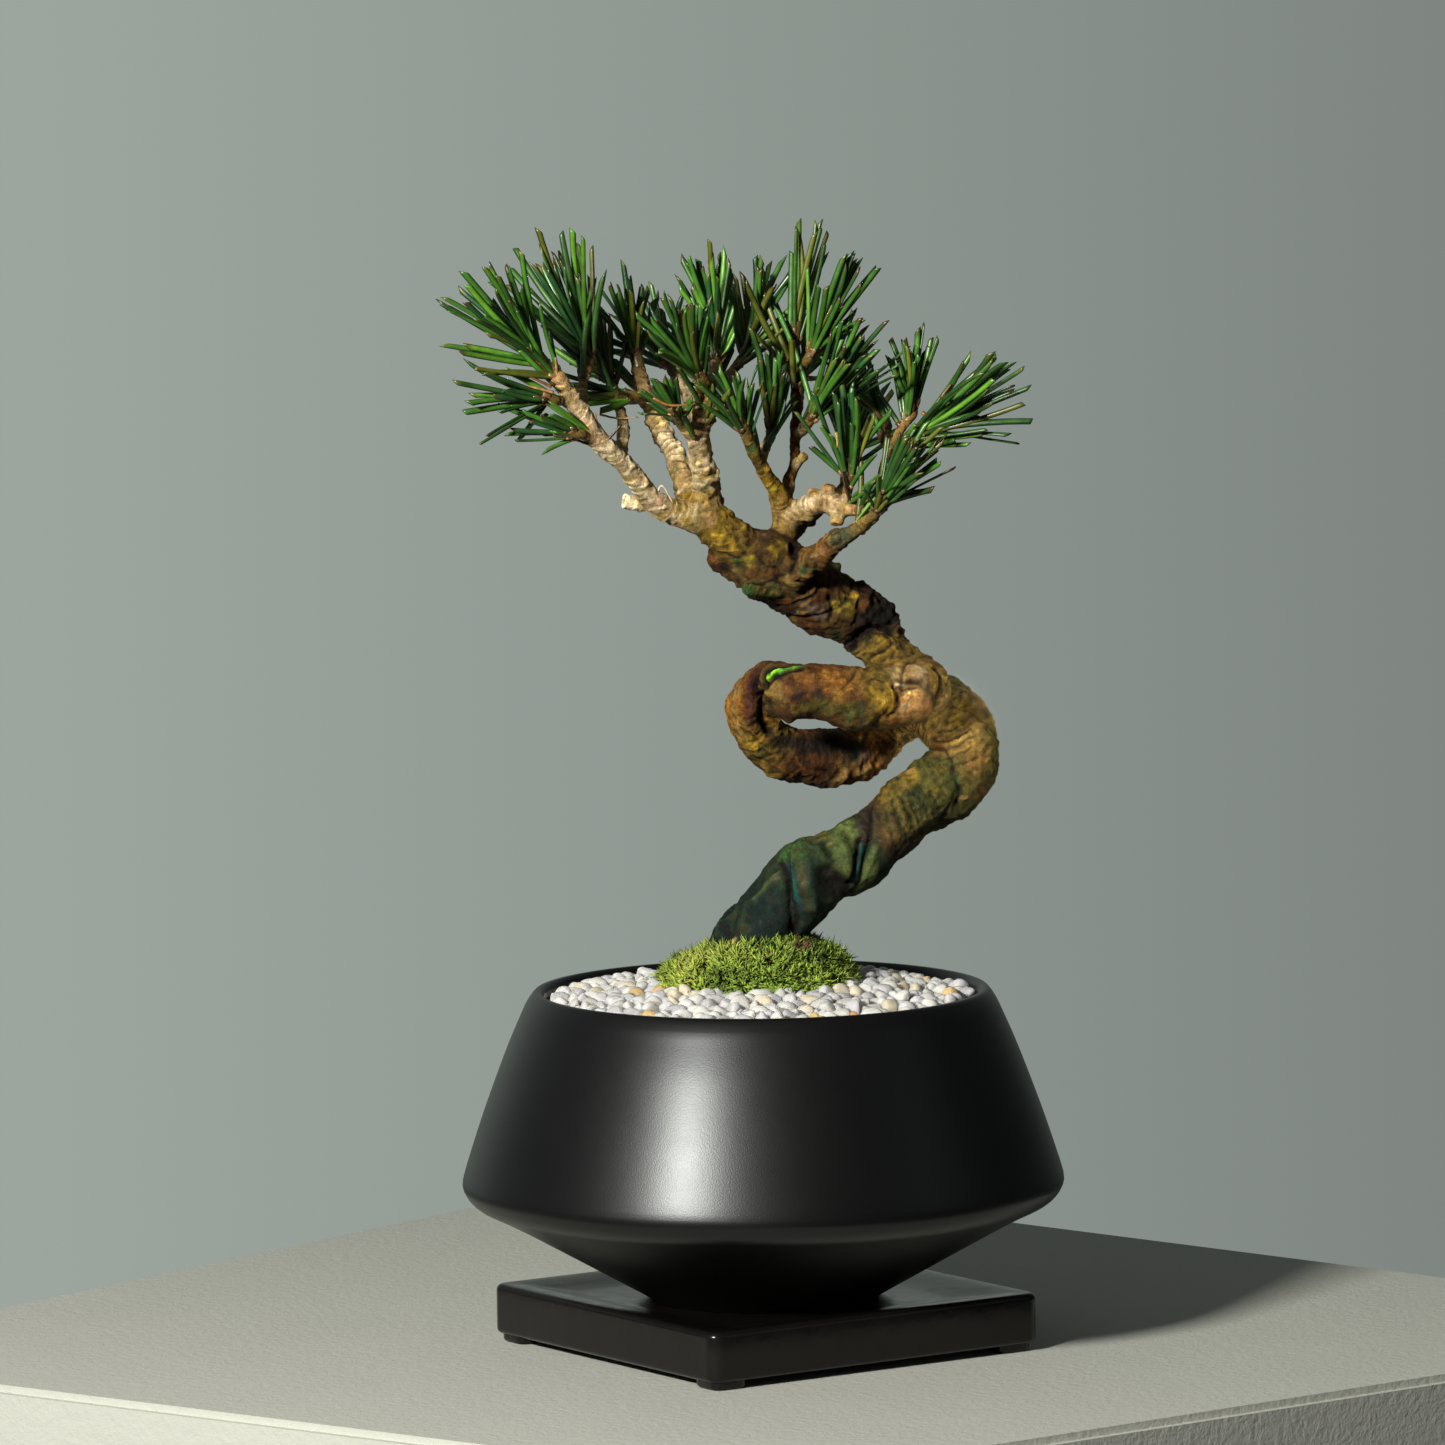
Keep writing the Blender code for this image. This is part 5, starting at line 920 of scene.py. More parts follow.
def studio():
    """The world: a backdrop for the camera, and a dim room with one pale wall as soft light."""
    world = bpy.data.worlds.new("studio")
    world.use_nodes = True
    tree = world.node_tree
    way = node(tree, "TexCoord").outputs["Generated"]
    directions = node(tree, "SeparateXYZ", {"Vector": way}).outputs
    across, behind, upward = directions["X"], directions["Y"], directions["Z"]

    def share_of(value, low, high, at_low=0, at_high=1):
        inputs = {
            "Value": value, "From Min": low, "From Max": high, "To Min": at_low, "To Max": at_high,
        }
        return node(tree, "MapRange", inputs).outputs["Result"]

    def product(*factors):
        inputs = dict(enumerate(factors))
        return node(tree, "Math", inputs, operation="MULTIPLY").outputs[0]

    seen = tree.nodes["Background"]
    seen.inputs["Strength"].default_value = 1.0
    backdrop = between(tree, share_of(across, -0.07, 0.08), *BACKDROP_WITH_PAINTED_SHADE)
    tree.links.new(backdrop, seen.inputs["Color"])
    room = between(tree, share_of(upward, 0.0, 0.9), *ROOM)
    wall = product(share_of(behind, 0.35, 0.9), share_of(upward, 0.35, 0.75, 1, 0))
    wall = product(wall, share_of(across, 0.05, 0.6, 1, 0.2))
    strength = product(share_of(upward, -0.2, 0.0, 0.3, 1.0), share_of(across, -1.0, 1.0, 1.7, 0.5))
    inputs = {"Color": between(tree, wall, room, WALL), "Strength": strength}
    ambient = node(tree, "Background", inputs)
    looking = node(tree, "LightPath").outputs["Is Camera Ray"]
    inputs = {0: looking, 1: ambient.outputs[0], 2: seen.outputs[0]}
    either = node(tree, "MixShader", inputs).outputs[0]
    tree.links.new(either, tree.nodes["World Output"].inputs["Surface"])
    bpy.context.scene.world = world
    bpy.context.scene.view_settings.view_transform = "Standard"


# The limbs, and the sprays' needles as the frame has them


def through(points, step):
    """Points about a step apart on the smooth curve through the given ones (Catmull-Rom)."""
    rows = [Vector(p) for p in points]
    rows = [2 * rows[0] - rows[1]] + rows + [2 * rows[-1] - rows[-2]]
    curve = []
    for a, b, c, d in zip(rows, rows[1:], rows[2:], rows[3:]):
        count = max(1, round((c - b).length / step))
        for i in range(count):
            t = i / count
            curve.append(
                0.5 * (2 * b + (c - a) * t + (2 * a - 5 * b + 4 * c - d) * t * t
                       + (3 * b - a - 3 * c + d) * t ** 3)
            )
    return curve + [rows[-2]]


def limb_rods():
    """Every limb as straight rods (start, end, radius), for keeping needles clear of wood."""
    rods = []
    trunk = {"lower": LOWER_TRUNK, "front": FRONT_TRUNK, "upper": UPPER_TRUNK}
    for name, points in {**trunk, **BRANCHES}.items():
        swell = 1 + SWELL if name in trunk else 1
        path = through(points, BRANCH_STEP)
        for a, b in zip(path, path[1:]):
            rods.append((name, a.to_3d(), b.to_3d(), swell * max(a.w, b.w)))
    return rods


def rod_distances(start, end, starts, ends):
    """The distance from one straight line to each of many, all of them bounded."""
    d1 = end - start
    d2 = ends - starts
    r = start - starts
    a = d1 @ d1
    e = np.einsum("ij,ij->i", d2, d2)
    f = np.einsum("ij,ij->i", d2, r)
    c = r @ d1
    b = d2 @ d1
    s = np.clip((b * f - c * e) / np.maximum(a * e - b * b, 1e-18), 0, 1)
    t = np.clip((b * s + f) / e, 0, 1)
    s = np.clip((b * t - c) / a, 0, 1)
    apart = r + s[:, None] * d1 - t[:, None] * d2
    return np.linalg.norm(apart, axis=1)


def core_path(spray):
    """The core's points: on from the limb's end after a gap, then turned to the spray's way."""
    before, end = (Vector(p[:3]) for p in through(BRANCHES[spray.limb], BRANCH_STEP)[-2:])
    thickness = BRANCHES[spray.limb][-1][3]
    onward = (end - before).normalized()
    start = end + GAP * onward
    bend = start + CORE_STRAIGHT * onward
    tip = bend + (CORE_LENGTH - CORE_STRAIGHT) * Vector(spray.towards).normalized()
    return [Vector((*p, w)) for p, w in ((start, thickness), (bend, thickness), (tip, CORE_TIP))]


def grown_needles(sprays):
    """Each spray's needles as (root, tip) pairs.

    They fan out round the spray's way, the outer ones from lower down its core. A needle that
    would come near another node is turned a little, up to NEEDLE_TRIES times, or left out.
    """
    draw = random.Random(SEED)
    taken = limb_rods()
    for number, spray in enumerate(sprays):
        path = core_path(spray)
        taken += [(number, a.to_3d(), b.to_3d(), a.w) for a, b in zip(path, path[1:])]
    owners = [rod[0] for rod in taken]
    starts = np.array([rod[1][:] for rod in taken])
    ends = np.array([rod[2][:] for rod in taken])
    radii = np.array([rod[3] for rod in taken])
    grown = []
    for number, spray in enumerate(sprays):
        _, bend, tip = (p.to_3d() for p in core_path(spray))
        way = Vector(spray.towards).normalized()
        side = way.orthogonal().normalized()
        others = np.array([owner not in (number, spray.limb) for owner in owners])
        needles = []
        for i in range(spray.needles):
            share = (i + 0.5) / spray.needles
            base = tip.lerp(bend, 0.1 + 0.8 * share)
            length = draw.triangular(0.75 * spray.shortest, spray.longest, spray.longest)
            stray = draw.uniform(*STRAY_LEAN) if draw.random() < STRAY_SHARE else 0
            for attempt in range(NEEDLE_TRIES):
                loose = 1 + attempt / 20
                tilt = spray.spread * math.sqrt(share) + stray + draw.uniform(-4, 4) * loose
                tilt = math.radians(tilt)
                turn = i * GOLDEN_ANGLE + draw.uniform(-0.4, 0.4) * loose
                leaning = Matrix.Rotation(turn, 3, way) @ side
                root = base + ROOT_OFFSET * math.sqrt(share) * leaning
                needle_tip = root + length * (math.cos(tilt) * way + math.sin(tilt) * leaning)
                ends_here = np.array(root), np.array(needle_tip)
                apart = rod_distances(*ends_here, starts[others], ends[others])
                if (apart > radii[others] + NEEDLE_TIP + NEEDLE_CLEARANCE).all():
                    needles.append((root, needle_tip))
                    break
        grown.append(needles)
        owners += [number] * len(needles)
        starts = np.vstack([starts] + [np.array(root) for root, _ in needles])
        ends = np.vstack([ends] + [np.array(needle_tip) for _, needle_tip in needles])
        radii = np.append(radii, [NEEDLE_TIP] * len(needles))
    return grown


# Wood

# A limb's samples: places and radii, directions along and across, distance from the start, and the
# turn round it that faces the front. The skins of limbs in one group merge without a joint.
Limb = namedtuple("Limb", "name group places radii ways sides ups along fronts scars")
SAMPLE_STEP = 0.0005
TUBE_SIDES = 28


def limb_from(name, points, group, scars=None, step=SAMPLE_STEP):
    """A limb sampled along its middle, with directions carried along it without twist."""
    path = np.array([p[:] for p in through(points, step)])
    places, radii = path[:, :3], path[:, 3]
    legs = np.diff(places, axis=0)
    lengths = np.linalg.norm(legs, axis=1)
    legs = legs / lengths[:, None]
    ways = np.vstack([legs[:1], legs[:-1] + legs[1:], legs[-1:]])
    ways /= np.linalg.norm(ways, axis=1)[:, None]
    side = np.array(Vector(ways[0]).orthogonal().normalized())
    sides = []
    for way in ways:
        side = side - way * (side @ way)
        side /= np.linalg.norm(side)
        sides.append(side)
    sides = np.array(sides)
    ups = np.cross(ways, sides)
    along = np.concatenate([[0], np.cumsum(lengths)])
    fronts = np.arctan2(-ups[:, 1], -sides[:, 1])
    return Limb(name, group, places, radii, ways, sides, ups, along, fronts, scars)


def fused(limbs, voxel):
    """One closed skin round all the limbs."""
    heap = Heap()
    turns = np.linspace(0, 2 * math.pi, TUBE_SIDES, endpoint=False)
    for limb in limbs:
        rings = [
            place + radius * circle(turns, side, up)
            for place, radius, side, up in zip(limb.places, limb.radii, limb.sides, limb.ups)
        ]
        heap.add_tube(rings, (0, 0, 0))
    thing = added("fused", heap.mesh("fused"))
    modifier = thing.modifiers.new("Fuse", "REMESH")
    modifier.mode = "VOXEL"
    modifier.voxel_size = voxel
    modifier.adaptivity = 0
    bpy.context.view_layer.update()
    graph = bpy.context.evaluated_depsgraph_get()
    mesh = bpy.data.meshes.new_from_object(thing.evaluated_get(graph))
    bpy.data.objects.remove(thing, do_unlink=True)
    return mesh


def coordinates(mesh):
    places = np.empty(len(mesh.vertices) * 3)
    mesh.vertices.foreach_get("co", places)
    return places.reshape(-1, 3)


def normals(mesh):
    found = np.empty(len(mesh.vertices) * 3)
    mesh.vertex_normals.foreach_get("vector", found)
    return found.reshape(-1, 3)


def set_coordinates(mesh, places):
    mesh.vertices.foreach_set("co", np.ascontiguousarray(places).ravel())
    mesh.update()


def neighbours(mesh):
    edges = np.empty(len(mesh.edges) * 2, np.int64)
    mesh.edges.foreach_get("vertices", edges)
    edges = edges.reshape(-1, 2)
    return np.vstack([edges, edges[:, ::-1]])


def eased(places, links, weight, rounds):
    """Places drawn towards the middle of their neighbours, by this weight at each."""
    first, other = links.T
    count = np.bincount(first, minlength=len(places))[:, None]
    for _ in range(rounds):
        sums = [np.bincount(first, places[other, axis], len(places)) for axis in range(3)]
        places = places + weight[:, None] * (np.stack(sums, 1) / count - places)
    return places


def skin_gaps(places, limb):
    """How far each place is from the plain skin round each of the limb's samples."""
    squares = (places ** 2).sum(1)[:, None] + (limb.places ** 2).sum(1)
    apart = squares - 2 * places @ limb.places.T
    return np.sqrt(np.maximum(apart, 0)) - limb.radii


def nearest(places, limbs):
    """For each place the limb whose skin is nearest, its sample there, and how much farther the
    skin of another group of limbs is."""
    best = np.full(len(places), np.inf)
    other = best.copy()
    owner = np.zeros(len(places), int)
    sample = owner.copy()
    groups = [limb.group for limb in limbs]
    kin = np.array([groups.index(group) for group in groups])
    at_once = 20000
    for number, limb in enumerate(limbs):
        gap = np.empty(len(places))
        here = np.empty(len(places), int)
        for start in range(0, len(places), at_once):
            part = slice(start, start + at_once)
            apart = skin_gaps(places[part], limb)
            here[part] = apart.argmin(1)
            gap[part] = apart.min(1)
        closer = gap < best
        next_best = np.where(closer, best, np.minimum(other, gap))
        other = np.where(kin[owner] == kin[number], other, next_best)
        best = np.where(closer, gap, best)
        owner = np.where(closer, number, owner)
        sample = np.where(closer, here, sample)
    return owner, sample, other - best


def scars_passed(along, scars):
    """How many grooves lie before each place, with a fraction, also beyond the first and last."""
    inner = np.interp(along, scars, range(len(scars)))
    low = np.minimum(0, along - scars[0]) / (scars[1] - scars[0])
    high = np.maximum(0, along - scars[-1]) / (scars[-1] - scars[-2])
    return inner + low + high


# How rugged and how light each stretch of trunk is, and how much lighter the lower one gets
RUGGED = {"lower": 1.25, "front": 0.85, "upper": 1.7}
STRETCH_SHADES = {"lower": 1.0, "front": 0.80, "upper": 0.86}
# Painted light on the lower stretch: its bend lifted out of the shadow that the front limb throws,
# and near its end
LOWER_PAINTED_LIGHT = [(0.57, 1), (0.61, 1.85), (0.80, 1.85), (0.85, 1), (0.90, 1), (0.94, 1.18)]
# Heights between which the trunk's foot turns from smooth to rugged, from dark to light, and from
# fine to coarse
SMOOTH_BELOW = (0.0985, 0.1075)
DARK_BELOW = (0.097, 0.104)
FINE_BELOW = (0.100, 0.108)
WRINKLE_PITCH = 0.00155
WRINKLE_HEIGHT = 0.00034
FINE_WRINKLE_PITCH = 0.00088
FINE_WRINKLE_HEIGHT = 0.00013
SCALE_PITCH = 0.0019          # of the scars of old needles along a branch
SCALE_HEIGHT = 0.00042
KNOB_HEIGHT = 0.00045
JOINT_WIDTH = 0.0011          # of the blend where one limb leaves another
CREASE_DEPTH = 0.0009         # where two stretches of the trunk touch
COARSENESS = {"front": 0.8, "lower": 1.0, "upper": 1.0}
TWIG_COARSENESS = 0.75


def wrinkled(wave, places, *bends):
    """Ridges across the trunk, bent by noises of a given strength, size and seed."""
    for strength, size, seed in bends:
        wave = wave + strength * noise(places, size, seed)
    return (0.5 + 0.5 * np.cos(2 * math.pi * wave)) ** 1.4


def trunk_relief(limb, along, turn, radius, places):
    """How far the trunk's skin stands off its plain tube: grooves, wrinkles and lumps."""
    scars, depths = limb.scars
    share = along / limb.along[-1]
    turned = turn / (2 * math.pi)
    phase = scars_passed(along, scars) + SCAR_STARTS * turn / (2 * math.pi)
    phase = phase + 0.10 * noise(places, 0.006, 3)
    off = np.abs(phase - np.round(phase))
    depth = np.interp(along, scars, depths) * (0.8 + 0.35 * noise(places, 0.008, 4))
    swell = SWELL * np.sin(math.pi * phase) ** 2
    groove = 0.08 * np.exp(-((off / 0.11) ** 2)) + 0.09 * np.exp(-((off / 0.035) ** 2))
    above = step_between(SOIL_LINE - 0.001, SOIL_LINE + 0.003, places[:, 2])
    stand = radius * depth * (swell - groove) * above
    strength = np.interp(share, *zip(*WRINKLES[limb.name]))
    strength = strength * (0.4 + 0.6 * step_between(-0.5, 0.5, noise(places, 0.0045, 7)))
    ridge = along / WRINKLE_PITCH + turned
    ridge = wrinkled(ridge, places, (1.1, 0.006, 5), (0.75, 0.0026, 6))
    finer = along / FINE_WRINKLE_PITCH - turned
    finer = wrinkled(finer, places, (1.1, 0.005, 8), (0.7, 0.0018, 19))
    across = WRINKLE_HEIGHT * (ridge - 0.4) + FINE_WRINKLE_HEIGHT * (finer - 0.4)
    stand = stand + strength * across
    stand = stand + 0.00042 * noise(places, 0.0048, 9) + 0.00026 * noise(places, 0.0021, 10)
    rugged = RUGGED[limb.name] * (0.35 + 0.65 * step_between(*SMOOTH_BELOW, places[:, 2]))
    grain = 0.00026 * noise(places, 0.0013, 11) + 0.00014 * noise(places, 0.0008, 12)
    stand = stand + rugged * grain
    # Painted shade: lighter on the wrinkles' crests, darker in their valleys and in the grooves
    shade = 1 + strength * (0.55 * (ridge - 0.55) + 0.25 * (finer - 0.5))
    shade = shade * (1 - 0.55 * np.clip(depth, 0, 1) * np.exp(-((off / 0.045) ** 2)))
    shade = shade * STRETCH_SHADES[limb.name]
    # Painted light where the lower stretch's bend lies in the front limb's shadow
    if limb.name == "lower":
        shade = shade * np.interp(share, *zip(*LOWER_PAINTED_LIGHT))
    shade = shade * (1 - 0.22 * (1 - step_between(*DARK_BELOW, places[:, 2])))
    return stand, shade


def branch_relief(along, turn, radius, places):
    """Overlapping scale-like scars of old needles, and knobs, smaller on thin twigs."""
    share = np.clip(radius / 0.002, 0.4, 1.3)
    wave = 0.35 * np.sin(turn + 3 * noise(places, 0.006, 14))
    phase = along / SCALE_PITCH + 1.5 * noise(places, 0.005, 13) + wave
    off = phase - np.floor(phase)
    scale = off ** 2 * (1 - step_between(0.84, 1.0, off))
    broken = 0.2 + 0.8 * step_between(-0.3, 0.4, noise(places, 0.0022, 15))
    knobs = step_between(0.30, 0.75, noise(places, 0.0017, 18))
    lumps = 0.00045 * noise(places, 0.0030, 16) + 0.00022 * noise(places, 0.0012, 17)
    stand = share * (SCALE_HEIGHT * scale * broken + KNOB_HEIGHT * knobs + lumps - 0.00012)
    # Painted shade where each scale ends, and painted light on the raised scales and knobs
    dark = 0.35 * broken * np.exp(-((off / 0.14) ** 2))
    return stand, 0.85 + 0.35 * scale * broken - dark + 0.15 * knobs


# A spot farther than this from the wood's outline is on another piece and paints nothing here
OFF_WOOD = 0.004
FAR_AWAY = (9, 9, 9)


def front_places(skin, places, spots):
    """Places on the wood that faces the front, for spots (x, z) in millimetres."""
    found = []
    for x, z in np.array(spots, float) / 1000:
        hit = skin.ray_cast(Vector((x, -0.2, z)), Vector((0, 1, 0)))[0]
        if hit is None:
            apart = np.hypot(places[:, 0] - x, places[:, 2] - z)
            near = apart < apart.min() + 0.0004
            y = places[near, 1].min()
            hit = (x, y, z) if apart.min() < OFF_WOOD else FAR_AWAY
        found.append(tuple(hit))
    return np.array(found)


def spot_distances(places, skin, whole, x, z, radius):
    """How far these places are from a spot on the front, in its own radii."""
    spot = front_places(skin, whole, [(x, z)])[0]
    return np.linalg.norm(places - spot, axis=1) / (radius / 1000)


def knobbled(places, skin):
    """The heights of the trunk's own bumps and hollows at these places."""
    rise = np.zeros(len(places))
    for *spot, height in BOSSES:
        apart = spot_distances(places, skin, places, *spot)
        rise += height / 1000 * np.exp(-1.3 * apart ** 2)
    return rise


def strayed(places, reach, size, seeds):
    """A random step for each place, by which the edges of painted shapes are made uneven."""
    return reach * np.stack([noise(places, size, seed) for seed in seeds], 1)


def stroked(places, skin, tints):
    """Adds the grooves, ridges and streaks, painted shade among them: their heights and the new
    colours.
    """
    rise = np.zeros(len(places))
    warped = places + strayed(places, 0.00030, 0.0012, (51, 52, 53))
    for key, share, half, height, spots in STROKES:
        line = front_places(skin, places, spots)
        half = half / 1000
        apart = np.full(len(places), np.inf)
        for start, end in zip(line, line[1:]):
            leg = end - start
            t = np.clip((warped - start) @ leg / max(leg @ leg, 1e-12), 0, 1)
            apart = np.minimum(apart, np.linalg.norm(warped - start - t[:, None] * leg, axis=1))
        near = apart < 2.6 * half
        profile = np.exp(-((apart[near] / half) ** 2))
        rise[near] += height / 1000 * profile
        tints[near] = mixed_with(tints[near], WOOD[key], share * np.minimum(1, 1.25 * profile))
    return rise, tints


def between_stretches(places, limbs):
    """How much farther than the nearest stretch of trunk the next nearest one is."""
    gaps = np.sort(np.array([skin_gaps(places, limb).min(1) for limb in limbs]), axis=0)
    return gaps[1] - gaps[0]


def run_colours(name, share):
    """The limb's own colour at this share of its length."""
    at, keys = zip(*RUNS.get(name, PLAIN_RUN))
    return np.stack([np.interp(share, at, [WOOD[key][k] for key in keys]) for k in range(3)], 1)


def wood_piece(name, limbs, voxel, *nodes):
    """The limbs' skin with its relief, its colours, and how coarse and wet it is."""
    mesh = fused(limbs, voxel)
    links = neighbours(mesh)
    places = coordinates(mesh)
    owner, sample, spare = nearest(places, limbs)
    joint = np.exp(-((spare / JOINT_WIDTH) ** 2))
    places = eased(places, links, np.full(len(places), 0.5), 3)
    places = eased(places, links, 0.7 * joint, 14)
    set_coordinates(mesh, places)
    skin = BVHTree.FromPolygons(places.tolist(), [tuple(face.vertices) for face in mesh.polygons])
    outward = normals(mesh)
    stand = np.zeros(len(places))
    tints = np.zeros((len(places), 3))
    coarse = np.ones(len(places))
    for number, limb in enumerate(limbs):
        mine = owner == number
        if not mine.any():
            continue
        spot, near = places[mine], sample[mine]
        off_middle = spot - limb.places[near]
        along = limb.along[near] + (off_middle * limb.ways[near]).sum(1)
        across = (off_middle * limb.sides[near]).sum(1)
        upward = (off_middle * limb.ups[near]).sum(1)
        turn = np.arctan2(upward, across) - limb.fronts[near]
        radius = limb.radii[near]
        if limb.scars:
            rise, shade = trunk_relief(limb, along, turn, radius, spot)
        else:
            rise, shade = branch_relief(along, turn, radius, spot)
        stand[mine] = rise * (1 - 0.7 * joint[mine])
        tints[mine] = run_colours(limb.name, along / limb.along[-1]) * shade[:, None]
        coarse[mine] = COARSENESS.get(limb.name, TWIG_COARSENESS)
    tints = weathered_with_painted_shade(tints, places, outward, skin)
    more, tints = stroked(places, skin, tints)
    stand += more
    stretches = [limb for limb in limbs if limb.scars]
    if stretches:
        # A crease where two stretches of the trunk touch, with painted shade along it
        spare = between_stretches(places, stretches)
        stand += knobbled(places, skin) - CREASE_DEPTH * np.exp(-((spare / 0.0007) ** 2))
        tints *= 1 - 0.80 * np.exp(-((spare / 0.0013) ** 2))[:, None]
    set_coordinates(mesh, places + stand[:, None] * outward)
    # Painted shade in hollows and painted highlight on ridges
    relief = coordinates(mesh)
    flat = eased(relief, links, np.full(len(relief), 0.6), 5)
    hollow = ((flat - relief) * outward).sum(1)
    paint(mesh, tints * np.clip(1 - hollow[:, None] / 0.00022, 0.30, 1.35))
    low_down = 1 - step_between(*FINE_BELOW, places[:, 2])
    coarse = coarse * (1 - 0.5 * low_down)
    surface = np.stack([coarse, wetness(places, skin), np.zeros(len(places))], 1)
    paint(mesh, surface, "surface")
    mesh.shade_smooth()
    piece(name, mesh, "bark", wood_material, *nodes)


def wetness(places, skin):
    """How wet each place is: glistening spots, broken up."""
    wet = np.zeros(len(places))
    for spot in WET:
        apart = spot_distances(places, skin, places, *spot)
        wet = np.maximum(wet, 1 - step_between(0.5, 1.4, apart))
    return wet * step_between(-0.35, 0.15, noise(places, 0.0009, 54))


# Fine specks over all the wood: colour, size, seed, noise above which they start, greatest share
SPECKS = [
    ("ochre", 0.0030, 31, 0.20, 0.35), ("rust", 0.0024, 32, 0.25, 0.40),
    ("soot_and_painted_shade", 0.0012, 33, 0.30, 0.50), ("olive", 0.0040, 34, 0.20, 0.35),
    ("tan", 0.0009, 35, 0.40, 0.40), ("rust_dark", 0.0007, 37, 0.35, 0.55),
]
SPECKS_ON_BRIGHT = ("ochre", "tan", "rust")
# And on pale wood alone: colour, greatest share, noise above which they start, size, seed
PALE_SPECKS = [("salmon", 0.55, 0.0, 0.0026, 38), ("yellow", 0.40, 0.1, 0.0022, 39)]


def weathered_with_painted_shade(tints, places, outward, skin):
    """Patches where the photograph shows them, painted shade among them, fine specks of lichen,
    rust and damp, and painted shade on the undersides.
    """
    warped = places + strayed(places, 0.0006, 0.0012, (21, 22, 23))
    warped = warped + strayed(places, 0.0004, 0.0005, (24, 25, 26))
    for key, spots in PATCHES.items():
        for spot in spots:
            apart = spot_distances(warped, skin, places, *spot)
            near = apart < 2.2
            share = 0.80 * (1 - step_between(0.4, 1.6, apart[near]))
            tints[near] = mixed_with(tints[near], WOOD[key], share)
    bright = tints.mean(1)
    for key, size, seed, low, most in SPECKS:
        share = most * step_between(low, low + 0.5, noise(places, size, seed))
        if key in SPECKS_ON_BRIGHT:
            share = share * step_between(0.02, 0.06, bright)
        tints = mixed_with(tints, WOOD[key], share)
    pale = step_between(0.16, 0.30, bright)
    for key, most, low, size, seed in PALE_SPECKS:
        share = most * pale * step_between(low, 0.5, noise(places, size, seed))
        tints = mixed_with(tints, WOOD[key], share)
    tints = tints * (1 + 0.32 * noise(places, 0.0007, 36)[:, None])
    # Painted shade: surfaces that face downwards are darker
    below = step_between(0.35, 0.95, -outward[:, 2])
    return tints * (1 - 0.45 * below)[:, None]


# The trunk's piece holds these, and the feet of the branches named after them
TRUNK_STEMS = ("left_stem", "second_stem", "dark_stub", "low_stub")
COLLARED = (
    "left_branch", "mid_left_branch", "mid_right_branch", "right_branch", "low_branch",
    "back_left_branch", "back_right_branch",
)
COLLAR_LENGTH = 0.0062
TRUNK_VOXEL = 0.00036
BRANCH_VOXEL = 0.00031


def collar(limb):
    """The foot of a branch, a little thicker where it leaves the trunk's piece."""
    keep = limb.along < COLLAR_LENGTH
    fade = np.clip(limb.along[keep] / COLLAR_LENGTH, 0, 1)
    return limb._replace(
        places=limb.places[keep], radii=limb.radii[keep] * (1.16 - 0.42 * fade ** 3),
        ways=limb.ways[keep], sides=limb.sides[keep], ups=limb.ups[keep], fronts=limb.fronts[keep],
    )


def wood():
    """The wood in two pieces: the trunk with the branches' roots, and the branches."""
    trunk = [limb_from(name, points, "trunk", scars) for name, (points, scars) in TRUNK.items()]
    limbs = {name: limb_from(name, points, name) for name, points in BRANCHES.items()}
    stems = [limbs[name] for name in TRUNK_STEMS]
    collars = [collar(limbs[name]) for name in COLLARED]
    wood_piece("trunk", trunk + stems + collars, TRUNK_VOXEL, "tree")
    # The second stem carries twigs, so both pieces hold it
    apart = set(TRUNK_STEMS) - {"second_stem"}
    twigs = [limb for name, limb in limbs.items() if name not in apart]
    wood_piece("branches", twigs, BRANCH_VOXEL)


# Needles

LEAF = {
    "deep": (0.022, 0.072, 0.010), "green": (0.042, 0.135, 0.014), "fresh": (0.092, 0.250, 0.018),
    "yellow": (0.220, 0.280, 0.030), "blue": (0.020, 0.080, 0.020), "olive": (0.100, 0.115, 0.012),
    "brown": (0.150, 0.070, 0.020), "tip": (0.070, 0.026, 0.008),
}
KINDS = ("deep", "green", "green", "deep", "fresh", "blue", "green", "olive", "deep", "green")
BROWN_SHARE = 0.012           # of needles that are dead
PAIR_SHARE = 0.18             # of the frame's needles that become pairs
FILL_PAIR_SHARE = 0.3         # and of the extra ones
CROSSING_SHARE = 0.14         # of needles that stray more than the others
SHEATHS = [
    (0.200, 0.105, 0.045), (0.110, 0.055, 0.022), (0.320, 0.160, 0.075), (0.060, 0.035, 0.014),
]
SHEATH_WIDTHS = ((0, 0.75), (0.25, 1.0), (0.6, 0.95), (0.85, 1.05), (1, 0.8))
BLADE_WIDTH = 0.00064         # from a blade's middle to its edge
BLADE_DEPTH = 0.00042
BLADE_ROWS = (0, 0.05, 0.16, 0.34, 0.54, 0.74, 0.90, 0.97, 1.0)
BLADE_WIDTHS = (0.55, 0.78, 0.94, 1.02, 1.04, 1.02, 0.99, 0.95, 0.84)
BLADE_SECTION = np.array([
    (-1, -0.05), (-0.55, 0.72), (0, 1.0), (0.55, 0.72), (1, -0.05), (0, -0.22),
])
# Painted shading round a blade's section: lighter along its rounded top, darker at its edges and
# flat back
BLADE_PAINTED_SHADES = np.array([0.70, 1.08, 1.25, 1.08, 0.70, 0.80])[:, None]
FILL_NEEDLES = 5              # extra needles of a spray, lower down than the frame's
FILL_TRIES = 90
FILL_REACH = 0.0095           # how far down its limb they grow
FILL_NEAR = 0.0030            # and how near they keep to the frame's needles
FILL_STEP = 0.0008


def inside_box(place, margin=0.0004):
    low, high = cad_box
    return all(low[k] + margin < place[k] < high[k] - margin for k in range(3))


